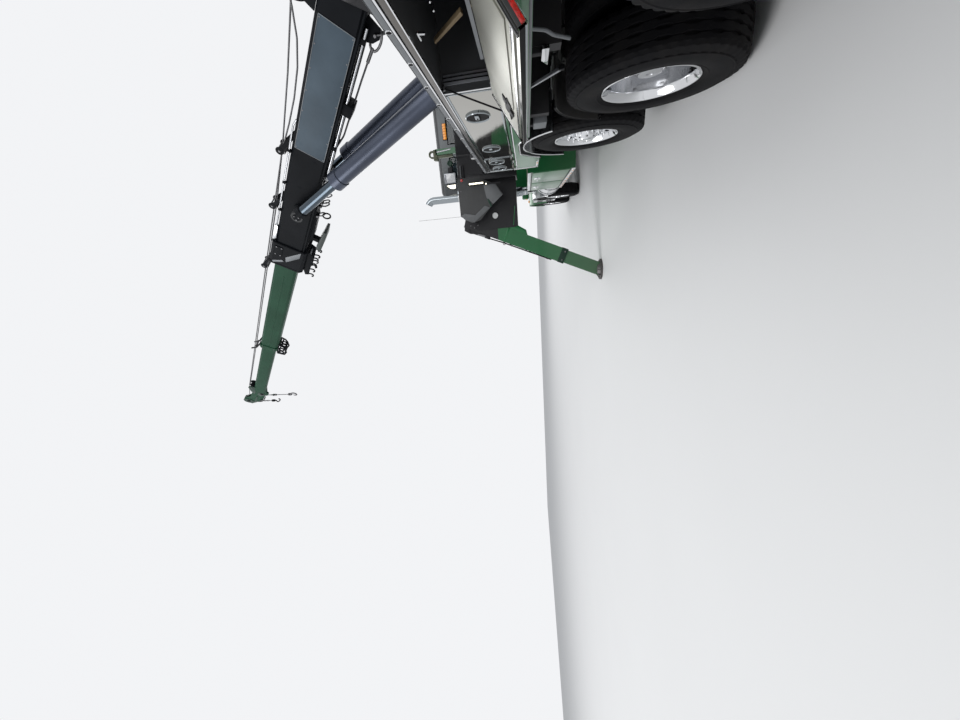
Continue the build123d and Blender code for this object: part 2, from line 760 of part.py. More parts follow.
def fender(side):
    """The arch over a front wheel, carried by the hood's side."""
    with BuildSketch(Plane.XZ.offset(-side * FENDER_OUTER_Y)) as arch:
        with Locations((STEER_1_X, TYRE_R)):
            Circle(FENDER_R + FENDER_T)
            Circle(FENDER_R, mode=Mode.SUBTRACT)
        with Locations((STEER_1_X, TYRE_R + FENDER_END_Z - FENDER_R)):
            Rectangle(3 * FENDER_R, 2 * FENDER_R, mode=Mode.SUBTRACT)
    extrude(arch.sketch, amount=side * (FENDER_OUTER_Y - HOOD_FRONT_HALF_W + 10))


def slant_x(z):
    """The windscreen's outer face, at a height."""
    share = (z - CAB_COWL_Z) / (WINDSCREEN_TOP_Z - CAB_COWL_Z)
    return CAB_FRONT_X + (WINDSCREEN_TOP_X - CAB_FRONT_X) * max(0.0, share)


def cab_outline(inset):
    """The cab's side view, drawn in by a wall's thickness."""
    with BuildSketch(Plane.XZ) as outline:
        with BuildLine():
            Polyline(
                (CAB_REAR_X, CAB_FLOOR_Z), (CAB_FRONT_X, CAB_FLOOR_Z), (CAB_FRONT_X, CAB_COWL_Z),
                (WINDSCREEN_TOP_X, WINDSCREEN_TOP_Z), (WINDSCREEN_TOP_X - 200, CAB_ROOF_Z),
                (CAB_REAR_X + 120, CAB_ROOF_Z), (CAB_REAR_X, CAB_ROOF_Z - 110),
                close=True,
            )
        make_face()
        if inset:
            offset(amount=-inset, kind=Kind.INTERSECTION)
    return outline.sketch


def door_front(z):
    """A cab door's front edge, at a height: upright, then slanted beside the pillar."""
    return min(DOOR_FRONT_X, slant_x(z) - PILLAR_W)


def door_outline(gap):
    """A cab door's side view, smaller by a gap all round."""
    with BuildSketch(Plane.XZ) as outline:
        with BuildLine():
            Polyline(
                (DOOR_REAR_X, DOOR_BOTTOM_Z), (DOOR_FRONT_X, DOOR_BOTTOM_Z), (DOOR_FRONT_X, DOOR_SILL_Z),
                (door_front(DOOR_TOP_Z), DOOR_TOP_Z), (DOOR_REAR_X, DOOR_TOP_Z),
                close=True,
            )
        make_face()
        if gap:
            offset(amount=-gap, kind=Kind.INTERSECTION)
    return outline.sketch


def door_window():
    """The window in a cab door."""
    low, high = DOOR_SILL_Z, DOOR_TOP_Z - WINDOW_EDGE
    front = door_front(high) - WINDOW_EDGE
    with BuildSketch(Plane.XZ) as outline:
        with BuildLine():
            Polyline(
                (DOOR_REAR_X + WINDOW_EDGE, low), (DOOR_FRONT_X - WINDOW_EDGE, low),
                (front, high), (DOOR_REAR_X + WINDOW_EDGE, high),
                close=True,
            )
        make_face()
    return outline.sketch


def at_y(sketch, side, low, high, mode=Mode.ADD):
    """A side view pushed through a stretch of Y on one side."""
    outer = side * (high if side > 0 else low)
    extrude(sketch.moved(Location((0, outer, 0))), amount=high - low, mode=mode)


def screen_plane():
    """The windscreen: X to the left, Y up the slant, from the cowl's edge."""
    up = Vector(WINDSCREEN_TOP_X - CAB_FRONT_X, 0, WINDSCREEN_TOP_Z - CAB_COWL_Z)
    return Plane(origin=(CAB_FRONT_X, 0, CAB_COWL_Z), x_dir=(0, 1, 0), z_dir=Vector(0, 1, 0).cross(up))


def windscreen(depth, low, mode=Mode.ADD):
    """The windscreen's opening or its glass, between two depths below the cab's face."""
    height = hypot(WINDSCREEN_TOP_X - CAB_FRONT_X, WINDSCREEN_TOP_Z - CAB_COWL_Z)
    with BuildSketch(screen_plane().offset(-low)) as opening:
        with Locations((0, height / 2)):
            Rectangle(2 * (CAB_HALF_W - WINDOW_EDGE - 20), height - WINDOW_EDGE)
    extrude(opening.sketch, amount=low - depth, mode=mode)


def make_cab():
    with BuildPart() as cab:
        extrude(cab_outline(0), amount=CAB_HALF_W, both=True)
        fillet(cab.edges().filter_by(Axis.X).group_by(Axis.Z)[-1], CAB_ROUND)
        extrude(cab_outline(CAB_WALL), amount=CAB_HALF_W - CAB_WALL, both=True, mode=Mode.SUBTRACT)
        windscreen(-10, CAB_WALL + 15, mode=Mode.SUBTRACT)
        for side in (1, -1):
            at_y(door_outline(0), side, CAB_HALF_W - CAB_WALL - 10, CAB_HALF_W + 10, mode=Mode.SUBTRACT)
            rear_window(side, -10, CAB_WALL + 10, mode=Mode.SUBTRACT)
            for z in CAB_HINGES:
                cab_hinge(side, z, frame_side=True)
    save(cab, "cab")

    with BuildPart() as glass:
        windscreen(CAB_WALL / 2 - GLASS_T / 2, CAB_WALL / 2 + GLASS_T / 2)
        for side in (1, -1):
            rear_window(side, CAB_WALL / 2 - GLASS_T / 2, CAB_WALL / 2 + GLASS_T / 2)
    save(glass, "cab_glass")

    for side_name, side in SIDES:
        with BuildPart() as door:
            at_y(door_outline(SWING), side, CAB_HALF_W - CAB_WALL, CAB_HALF_W)
            at_y(door_window(), side, CAB_HALF_W - CAB_WALL - 5, CAB_HALF_W + 5, mode=Mode.SUBTRACT)
            for z in CAB_HINGES:
                cab_hinge(side, z, frame_side=False)
        save(door, f"cab_door_{side_name}")
    make_interior()


def rear_window(side, near, far, mode=Mode.ADD):
    """A window in the cab's rear wall, between two depths from its outer face."""
    y = side * REAR_WINDOW_Y
    box(
        (CAB_REAR_X + near, CAB_REAR_X + far),
        (y - REAR_WINDOW_W / 2, y + REAR_WINDOW_W / 2),
        (REAR_WINDOW_Z - REAR_WINDOW_H / 2, REAR_WINDOW_Z + REAR_WINDOW_H / 2),
        mode=mode,
    )


def cab_hinge(side, z, frame_side):
    """One half of a cab door's hinge: its barrel and leaf, outside the cab's face."""
    x, y = DOOR_FRONT_X - SWING / 2, side * (CAB_HALF_W + CAB_HINGE_R)
    low = z if frame_side else z - CAB_HINGE_L - RUN
    radius = CAB_HINGE_R - (0 if frame_side else RUN)
    rod((x, y, low), (x, y, low + CAB_HINGE_L), radius)
    leaf = (x, x + 50) if frame_side else (x - 50, x)
    reach = (CAB_HALF_W - 2, CAB_HALF_W + CAB_HINGE_R)
    clear = (CAB_HALF_W + 3, CAB_HALF_W + CAB_HINGE_R)
    if frame_side:
        box((leaf[0] + SWING, leaf[1]), span(side, *reach), (low, low + CAB_HINGE_L))
        box((leaf[0], leaf[1]), span(side, *clear), (low, low + CAB_HINGE_L))
    else:
        box((leaf[0], leaf[1] - SWING), span(side, *reach), (low, low + CAB_HINGE_L))
        box((leaf[0], leaf[1]), span(side, *clear), (low, low + CAB_HINGE_L))


def make_interior():
    floor = CAB_FLOOR_Z + CAB_WALL
    with BuildPart() as interior:
        inner_x = CAB_FRONT_X - CAB_WALL
        half = CAB_HALF_W - CAB_WALL - 3
        prism(
            Plane.XZ.offset(-half),
            [
                (inner_x, floor + 500), (inner_x, CAB_COWL_Z - 60), (inner_x - 90, CAB_COWL_Z - 20),
                (inner_x - 330, CAB_COWL_Z - 150), (inner_x - 330, CAB_COWL_Z - 420),
                (inner_x - 120, floor + 500),
            ],
            2 * half,
        )
        wheel_at = Vector(inner_x - 520, SEAT_Y, CAB_COWL_Z - 130)
        rod(wheel_at, (inner_x - 200, SEAT_Y, CAB_COWL_Z - 300), 30)
        hub = Plane(origin=wheel_at, z_dir=(-0.85, 0, 0.5))
        with BuildSketch(hub) as ring:
            Circle(STEERING_R)
            Circle(STEERING_R - STEERING_RIM, mode=Mode.SUBTRACT)
            Rectangle(2 * STEERING_R - STEERING_RIM, 40)
        extrude(ring.sketch, amount=30)
        for side in (1, -1):
            y = (side * SEAT_Y - SEAT_W / 2, side * SEAT_Y + SEAT_W / 2)
            cushion = floor + SEAT_BASE_H
            back = cushion + SEAT_CUSHION_H
            box((SEAT_X + 60, SEAT_X + SEAT_L - 100), (y[0] + 80, y[1] - 80), (floor, cushion))
            box((SEAT_X, SEAT_X + SEAT_L), y, (cushion, back))
            prism(
                Plane.XZ.offset(-y[1]),
                [
                    (SEAT_X + 10, back - 10), (SEAT_X + SEAT_BACK_T + 20, back - 10),
                    (SEAT_X + 20, back - 10 + SEAT_BACK_H),
                    (SEAT_X - SEAT_BACK_T + 40, back - 10 + SEAT_BACK_H),
                ],
                SEAT_W,
            )
    save(interior, "cab_interior")


def make_sides():
    mid_z = (TANK_Z + RAIL_TOP_Z) / 2
    with BuildPart() as tanks:
        for side in (1, -1):
            rod((TANK_X[0], side * TANK_Y, TANK_Z), (TANK_X[1], side * TANK_Y, TANK_Z), TANK_R)
            for x in (TANK_X[0] + 200, TANK_X[1] - 260):
                box((x, x + 60), span(side, RAIL_Y, TANK_Y - 150), (RAIL_BOTTOM_Z, mid_z))
    save(tanks, "fuel_tanks")

    with BuildPart() as boxes:
        for side in (1, -1):
            box(TOOLBOX_X, span(side, *TOOLBOX_Y), TOOLBOX_Z)
            box(STEP_BOX_X, span(side, *STEP_BOX_Y), STEP_BOX_Z)
            for z in STEP_LEVELS:
                box(
                    (STEP_BOX_X[0] + 40, STEP_BOX_X[1] - 40),
                    span(side, STEP_BOX_Y[1] - 160, STEP_BOX_Y[1] + 1),
                    (z, z + 170),
                    mode=Mode.SUBTRACT,
                )
            brackets = (
                (TOOLBOX_X[0] + 200, TOOLBOX_Y[0]), (TOOLBOX_X[1] - 300, TOOLBOX_Y[0]),
                (STEP_BOX_X[0] + 250, STEP_BOX_Y[0]),
            )
            for x, inner in brackets:
                box((x, x + 100), span(side, RAIL_Y, inner + 5), (RAIL_BOTTOM_Z + 40, RAIL_TOP_Z - 60))
    save(boxes, "side_boxes")

    with BuildPart() as stacks:
        for side in (1, -1):
            stack(side)
    save(stacks, "exhaust_stacks")

    with BuildPart() as fenders:
        for side in (1, -1):
            for x, z, radius, start, sweep in QUARTER_FENDERS:
                quarter_fender(side, x, z, radius, start, sweep)
    save(fenders, "quarter_fenders")


def stack(side):
    """An upright exhaust with a turned-out tip, held to the cab's rear wall."""
    y = side * STACK_Y
    plane = Plane(origin=(STACK_X, y, STACK_BOTTOM_Z), x_dir=(0, side, 0), z_dir=(side, 0, 0))
    with BuildLine(plane) as path:
        up = Line((0, 0), (0, STACK_TOP_Z - STACK_BEND_R - STACK_BOTTOM_Z))
        JernArc(start=up @ 1, tangent=up % 1, radius=STACK_BEND_R, arc_size=-STACK_BEND)
    with BuildSketch(Plane(origin=(STACK_X, y, STACK_BOTTOM_Z), z_dir=(0, 0, 1))) as circle:
        Circle(STACK_R)
    sweep(circle.sketch, path=path.line)
    for z in STACK_BRACKETS:
        box((STACK_X, CAB_REAR_X), span(side, CAB_HALF_W - 60, STACK_Y), (z, z + 30))
    box((STACK_X - 50, STACK_X + 50), span(side, RAIL_Y, STACK_Y), (RAIL_TOP_Z - 100, RAIL_TOP_Z - 40))
    foot_y = span(side, STACK_Y - 50, STACK_Y + 50)
    box((STACK_X - 50, STACK_X + 50), foot_y, (RAIL_TOP_Z - 60, STACK_BOTTOM_Z + 10))


def quarter_fender(side, x, z, radius, start, sweep_angle):
    """A curved guard round part of a wheel, on a tube from the frame."""
    with BuildSketch(Plane.XZ.offset(-side * QUARTER_Y[1])) as guard:
        with BuildLine():
            outer = CenterArc((x, z), radius + QUARTER_T, start, sweep_angle)
            inner = CenterArc((x, z), radius, start, sweep_angle)
            Line(outer @ 0, inner @ 0)
            Line(outer @ 1, inner @ 1)
        make_face()
    extrude(guard.sketch, amount=side * (QUARTER_Y[1] - QUARTER_Y[0]))
    angle = radians(start + sweep_angle * 0.3)
    reach = radius + QUARTER_T / 2
    tube_x, tube_z = x + reach * cos(angle), z + reach * sin(angle)
    drop = min(tube_z, QUARTER_STAY_Z)
    rod((tube_x, side * (QUARTER_Y[0] + 60), tube_z), (tube_x, side * (QUARTER_Y[0] - 40), tube_z), 22)
    rod((tube_x, side * RAIL_Y, drop), (tube_x, side * (QUARTER_Y[0] - 20), drop), 22)
    post_y = span(side, QUARTER_Y[0] - 60, QUARTER_Y[0] - 20)
    box((tube_x - 20, tube_x + 20), post_y, (drop - 20, tube_z + 20))


def make_body():
    for side_name, side in SIDES:
        with BuildPart() as body:
            length = (BODY_REAR_X, BODY_FRONT_X)
            box(length, span(side, BODY_INNER_Y, BODY_OUTER_Y), (BODY_BOTTOM_Z, BODY_TOP_Z))
            with BuildSketch(Plane.XZ.offset(-side * (BODY_OUTER_Y + 10))) as arch:
                with Locations((LIFT_AXLE_X, LIFT_Z)):
                    Circle(ARCH_R)
                with Locations((LIFT_AXLE_X, LIFT_Z + ARCH_TOP + 500)):
                    Rectangle(4 * ARCH_R, 1000, mode=Mode.SUBTRACT)
            extrude(arch.sketch, amount=side * (BODY_OUTER_Y - BODY_INNER_Y + 20), mode=Mode.SUBTRACT)
            through = span(side, BODY_INNER_Y - 10, BODY_OUTER_Y + 10)
            box(DRIVE_ARCH_X, through, (BODY_BOTTOM_Z - 10, DRIVE_ARCH_Z), mode=Mode.SUBTRACT)
            for name, rear, front in BAYS:
                box(
                    (rear, front),
                    span(side, BAY_BACK_Y, BODY_OUTER_Y + 10),
                    (BODY_DOOR_BOTTOM_Z, BODY_DOOR_TOP_Z),
                    mode=Mode.SUBTRACT,
                )
                for end in bay_hinges(rear, front):
                    body_hinge(side, end, body_half=True)
        save(body, f"body_{side_name}")
        for name, rear, front in BAYS:
            make_body_door(name, rear, front, side_name, side)


def bay_hinges(rear, front):
    """Where a bay's two hinges stand along the truck."""
    return rear + HINGE_INSET, front - HINGE_INSET


def body_hinge(side, x, body_half):
    """Half of a bottom hinge outside the body's face: a barrel and its leaf."""
    y, z = BODY_HINGE_Y, BODY_HINGE_Z
    if body_half:
        rod((x, side * y, z), (x + HINGE_L, side * y, z), HINGE_R - RUN)
        box((x, x + HINGE_L), span(side, BODY_OUTER_Y - 2, y), (z - HINGE_R - 8, z - 2))
    else:
        rod((x - RUN - HINGE_L, side * y, z), (x - RUN, side * y, z), HINGE_R - RUN)
        box((x - RUN - HINGE_L, x - RUN), span(side, BODY_OUTER_Y - 2, y), (z + 2, z + HINGE_R + 8))


def make_body_door(name, rear, front, side_name, side):
    with BuildPart() as door:
        box(
            (rear + SWING, front - SWING),
            span(side, BODY_OUTER_Y - BODY_DOOR_T, BODY_OUTER_Y),
            (BODY_HINGE_Z + 2, BODY_DOOR_TOP_Z - SWING),
        )
        for end in bay_hinges(rear, front):
            body_hinge(side, end, body_half=False)
    if name == OPEN_BAY and side_name == "left":
        axis = Axis((0, side * BODY_HINGE_Y, BODY_HINGE_Z), (1, 0, 0))
        door.part = door.part.rotate(axis, -side * DROP_DOOR_OPEN)
    save(door, f"body_door_{name}_{side_name}")


def make_deck():
    with BuildPart() as deck:
        for side in (1, -1):
            subframe_y = span(side, RAIL_Y - RAIL_FLANGE, RAIL_Y)
            box((BODY_REAR_X, SUBFRAME_FRONT_X), subframe_y, (RAIL_TOP_Z, DECK_Z))
            for x in BEARERS:
                top = DRIVE_ARCH_Z if DRIVE_ARCH_X[0] < x < DRIVE_ARCH_X[1] else BODY_BOTTOM_Z
                box((x, x + 80), span(side, RAIL_Y - 5, BODY_OUTER_Y - 60), (RAIL_TOP_Z, top))
        box((BODY_REAR_X, BODY_FRONT_X), (-BODY_INNER_Y, BODY_INNER_Y), (DECK_Z, DECK_Z + DECK_T))
        rod((SLEW_X, 0, DECK_Z), (SLEW_X, 0, PEDESTAL_TOP_Z), PEDESTAL_R)
    save(deck, "deck")


def make_outriggers():
    x0, x1 = HOUSING_X
    wall = HOUSING_WALL
    mid_x = (x0 + x1) / 2
    with BuildPart() as housing:
        box(HOUSING_X, (-HOUSING_HALF_Y, HOUSING_HALF_Y), HOUSING_Z)
        for cell in ((x0 + wall, mid_x - wall / 2), (mid_x + wall / 2, x1 - wall)):
            cell_z = (HOUSING_Z[0] + wall, HOUSING_Z[1] - wall)
            box(cell, (-HOUSING_HALF_Y, HOUSING_HALF_Y), cell_z, mode=Mode.SUBTRACT)
        half = POST_W / 2
        box((POST_X - half, POST_X + half), (POST_Y - half, POST_Y + half), (HOUSING_Z[1], POST_TOP_Z))
    save(housing, "outrigger_housing")
    for side_name, side in SIDES:
        make_outrigger(side_name, side)


def make_outrigger(side_name, side):
    x = ARM_X[side_name]
    low, high = HOUSING_Z[0] + HOUSING_WALL + RUN, HOUSING_Z[1] - HOUSING_WALL - ARM_TOP_GAP
    pin = Vector(x, side * LEG_PIN_Y, LEG_PIN_Z)
    leg_x = ARM_W - 2 * ARM_CHEEK_T - 2 * RUN
    with BuildPart() as arm:
        box((x - ARM_W / 2, x + ARM_W / 2), span(side, ARM_ROOT_Y, ARM_BOX_END_Y), (low, high))
        for cheek in (x - ARM_W / 2, x + ARM_W / 2 - ARM_CHEEK_T):
            end = ARM_CHEEK_END_Y
            prism(
                Plane.YZ.offset(cheek),
                [
                    (side * (ARM_BOX_END_Y - 5), low), (side * (end - 20), low), (side * end, low + 60),
                    (side * end, LEG_PIN_Z - 60), (side * (end - 90), LEG_PIN_Z + 90),
                    (side * (end - 260), high),
                    (side * (ARM_BOX_END_Y - 5), high),
                ],
                ARM_CHEEK_T,
            )
        rod(pin - Vector(ARM_W / 2, 0, 0), pin + Vector(ARM_W / 2, 0, 0), LEG_PIN_R)
    save(arm, f"outrigger_arm_{side_name}")

    tilt = radians(LEG_TILT)
    down = Vector(0, side * sin(tilt), -cos(tilt))

    def across(along):
        return Plane(origin=pin + down * along, x_dir=(1, 0, 0), z_dir=down)

    def tube(start, end, width, depth, mode=Mode.ADD):
        with BuildSketch(across(start)) as section:
            Rectangle(width, depth)
        extrude(section.sketch, amount=end - start, mode=mode)

    inner_w, inner_d = leg_x - 2 * LEG_WALL, LEG_DEPTH - 2 * LEG_WALL
    with BuildPart() as leg:
        tube(-LEG_TOP, LEG_SLEEVE_END, leg_x, LEG_DEPTH)
        tube(60, LEG_SLEEVE_END + 5, inner_w, inner_d, mode=Mode.SUBTRACT)
        rod(pin - Vector(ARM_W, 0, 0), pin + Vector(ARM_W, 0, 0), LEG_PIN_R + RUN, mode=Mode.SUBTRACT)
    save(leg, f"outrigger_leg_{side_name}")

    ground_run = (LEG_PIN_Z - FOOT_PAD_T / 2) / cos(tilt)
    with BuildPart() as foot:
        tube(FOOT_ROOT, ground_run, inner_w - 2 * RUN, inner_d - 2 * RUN)
        split(bisect_by=Plane.XY.offset(FOOT_PAD_T / 2), keep=Keep.TOP)
        centre = pin + down * ground_run
        rod((centre.X, centre.Y, 0), (centre.X, centre.Y, FOOT_PAD_T), FOOT_PAD_R)
    save(foot, f"outrigger_foot_{side_name}")


def make_tail():
    with BuildPart() as tail:
        box((TAIL_REAR_X, TAIL_FRONT_X), (-TAIL_HALF_W, TAIL_HALF_W), TAIL_Z)
        for side in (1, -1):
            rail_y = span(side, RAIL_Y - RAIL_FLANGE, RAIL_Y)
            box((TAIL_FRONT_X, RAIL_REAR_X), rail_y, (RAIL_BOTTOM_Z, RAIL_TOP_Z))
            hole = JACK_W / 2 + RUN
            box(
                (JACK_X - hole, JACK_X + hole), (side * JACK_Y - hole, side * JACK_Y + hole),
                (TAIL_Z[0], TAIL_Z[1] - 40), mode=Mode.SUBTRACT,
            )
            ear_y = span(side, UNDERLIFT_W / 2 + RUN, UNDERLIFT_W / 2 + RUN + 40)
            box((UNDERLIFT_X - 60, TAIL_REAR_X), ear_y, (UNDERLIFT_Z - 60, UNDERLIFT_Z + 140))
            lug_y = span(side, LUG_Y - LUG_T / 2, LUG_Y + LUG_T / 2)
            hole_x = TAIL_REAR_X - LUG_REACH
            box((hole_x, TAIL_REAR_X), lug_y, (LUG_Z - 60, LUG_Z + 60))
            rod((hole_x, lug_y[0], LUG_Z), (hole_x, lug_y[1], LUG_Z), 60)
            start, end = (hole_x, lug_y[0] - 1, LUG_Z), (hole_x, lug_y[1] + 1, LUG_Z)
            rod(start, end, LUG_HOLE_R, mode=Mode.SUBTRACT)
        half = UNDERLIFT_W / 2 + RUN + 40
        box((TAIL_REAR_X, TAIL_FRONT_X - 40), (-half, half), (UNDERLIFT_Z - 60, TAIL_Z[0]))
        rod((UNDERLIFT_X, -half, UNDERLIFT_Z), (UNDERLIFT_X, half, UNDERLIFT_Z), UNDERLIFT_PIN_R)
    save(tail, "tail_housing")
    for side_name, side in SIDES:
        half = JACK_W / 2
        with BuildPart() as jack:
            leg_y = span(side, JACK_Y - half, JACK_Y + half)
            box((JACK_X - half, JACK_X + half), leg_y, (JACK_FOOT_Z, TAIL_Z[1] - 60))
            foot_y = span(side, JACK_Y - 130, JACK_Y + 130)
            box((JACK_X - 95, JACK_X + 95), foot_y, (JACK_FOOT_Z, JACK_FOOT_Z + 30))
        save(jack, f"rear_jack_{side_name}")
    with BuildPart() as arm:
        half = UNDERLIFT_W / 2
        box((UNDERLIFT_X - 60, UNDERLIFT_X + 60), (-half, half), (UNDERLIFT_Z - 60, UNDERLIFT_TOP_Z))
        bore = UNDERLIFT_PIN_R + RUN
        rod((UNDERLIFT_X, -half, UNDERLIFT_Z), (UNDERLIFT_X, half, UNDERLIFT_Z), bore, mode=Mode.SUBTRACT)
        top = UNDERLIFT_TOP_Z
        box((UNDERLIFT_X - 50, UNDERLIFT_X + 50), (-half + 30, half - 30), (top - 5, top + CROSSBAR_H))
        bar_y = (-CROSSBAR_HALF_W, CROSSBAR_HALF_W)
        box((TAIL_END_X, UNDERLIFT_X + 50), bar_y, (top + 10, top + CROSSBAR_H))
        for side in (1, -1):
            horn_y = span(side, CROSSBAR_HALF_W - 120, CROSSBAR_HALF_W)
            box((TAIL_END_X, UNDERLIFT_X - 120), horn_y, (top - 200, top + 20))
    save(arm, "underlift")


def make_turret():
    with BuildPart() as turret:
        rod((SLEW_X, 0, TURRET_Z), (SLEW_X, 0, TURRET_PLATE_Z), TURRET_R)
        rod((SLEW_X, 0, TURRET_PLATE_Z), (SLEW_X, 0, TURRET_TOP_Z), TURRET_PLATE_R)
        for left in (CHEEK_INNER, -CHEEK_INNER - CHEEK_T):
            prism(turret_side(left), CHEEK_OUTLINE, -CHEEK_T)
            rod(
                turret_point(-PIVOT_BACK, PIVOT_Z, left),
                turret_point(-PIVOT_BACK, PIVOT_Z, left + CHEEK_T),
                CHEEK_BOSS_R,
            )
        prism(
            turret_side(-CHEEK_INNER - 5),
            [
                (-1060, TURRET_TOP_Z), (-1060 + CHEEK_T, TURRET_TOP_Z), (-1090 + CHEEK_T, 2560), (-1090, 2560)
            ],
            -2 * CHEEK_INNER - 10,
        )
        outer = CHEEK_INNER + CHEEK_T
        rod(turret_point(-PIVOT_BACK, PIVOT_Z, -outer), turret_point(-PIVOT_BACK, PIVOT_Z, outer), PIVOT_R)
        for middle in (CYL_OFFSET, -CYL_OFFSET):
            for left in (middle - CYL_EYE_W / 2 - RUN - CYL_EAR_T, middle + CYL_EYE_W / 2 + RUN):
                prism(
                    turret_side(left),
                    [
                        (-CYL_BACK - 120, TURRET_TOP_Z - 5), (-CYL_BACK + 120, TURRET_TOP_Z - 5),
                        (-CYL_BACK + 80, CYL_BASE_Z + 50), (-CYL_BACK + 40, CYL_BASE_Z + 90),
                        (-CYL_BACK - 40, CYL_BASE_Z + 90), (-CYL_BACK - 80, CYL_BASE_Z + 50),
                    ],
                    -CYL_EAR_T,
                )
            half = CYL_EYE_W / 2 + RUN + CYL_EAR_T
            rod(
                turret_point(-CYL_BACK, CYL_BASE_Z, middle - half),
                turret_point(-CYL_BACK, CYL_BASE_Z, middle + half),
                CYL_PIN_R,
            )
    save(turret, "turret")


def make_cylinders():
    base, eye = cylinder_base(0), cylinder_eye(0)
    run = (eye - base).normalized()
    length = (eye - base).length
    with BuildPart() as barrels:
        for left in (CYL_OFFSET, -CYL_OFFSET):
            foot = cylinder_base(left)
            eye_half = LEFT * (CYL_EYE_W / 2)
            rod(foot - eye_half, foot + eye_half, CYL_EYE_R)
            rod(foot + run * 40, foot + run * (CYL_BODY_START + 10), CYL_EYE_W / 2)
            rod(foot + run * CYL_BODY_START, foot + run * CYL_BARREL_L, CYL_BARREL_R)
            rod(foot - eye_half * 2, foot + eye_half * 2, CYL_PIN_R + RUN, mode=Mode.SUBTRACT)
            start, end = foot + run * CYL_BORE_START, foot + run * (CYL_BARREL_L + 10)
            rod(start, end, CYL_ROD_R + RUN, mode=Mode.SUBTRACT)
    save(barrels, "lift_barrels")
    with BuildPart() as rods:
        for left in (CYL_OFFSET, -CYL_OFFSET):
            foot, head = cylinder_base(left), cylinder_eye(left)
            inward = LEFT * (-1 if left > 0 else 1)
            rod(foot + run * ROD_ROOT, foot + run * (length - 60), CYL_ROD_R)
            rod(head - inward * (ROD_EYE_W / 2), head + inward * (ROD_EYE_W / 2), ROD_EYE_R)
            face = CYL_OFFSET - BASE_WIDTH / 2 - ROD_BOSS - RUN
            rod(head, head + inward * face, CYL_PIN_R)
    save(rods, "lift_rods")


def cylinder_base(left):
    """A lift cylinder's base pin, on the turret."""
    return turret_point(-CYL_BACK, CYL_BASE_Z, left)


def cylinder_eye(left):
    """A lift cylinder's rod pin, beside the boom's base section."""
    return boom_point(ROD_PIN_ALONG, -ROD_PIN_DROP, left)


def section_run(start, end, width, depth, cut=BOOM_CHAMFER, mode=Mode.ADD):
    """A stretch of box section along the boom."""
    extrude(chamfered(boom_cross(start), width, depth, cut), amount=end - start, mode=mode)


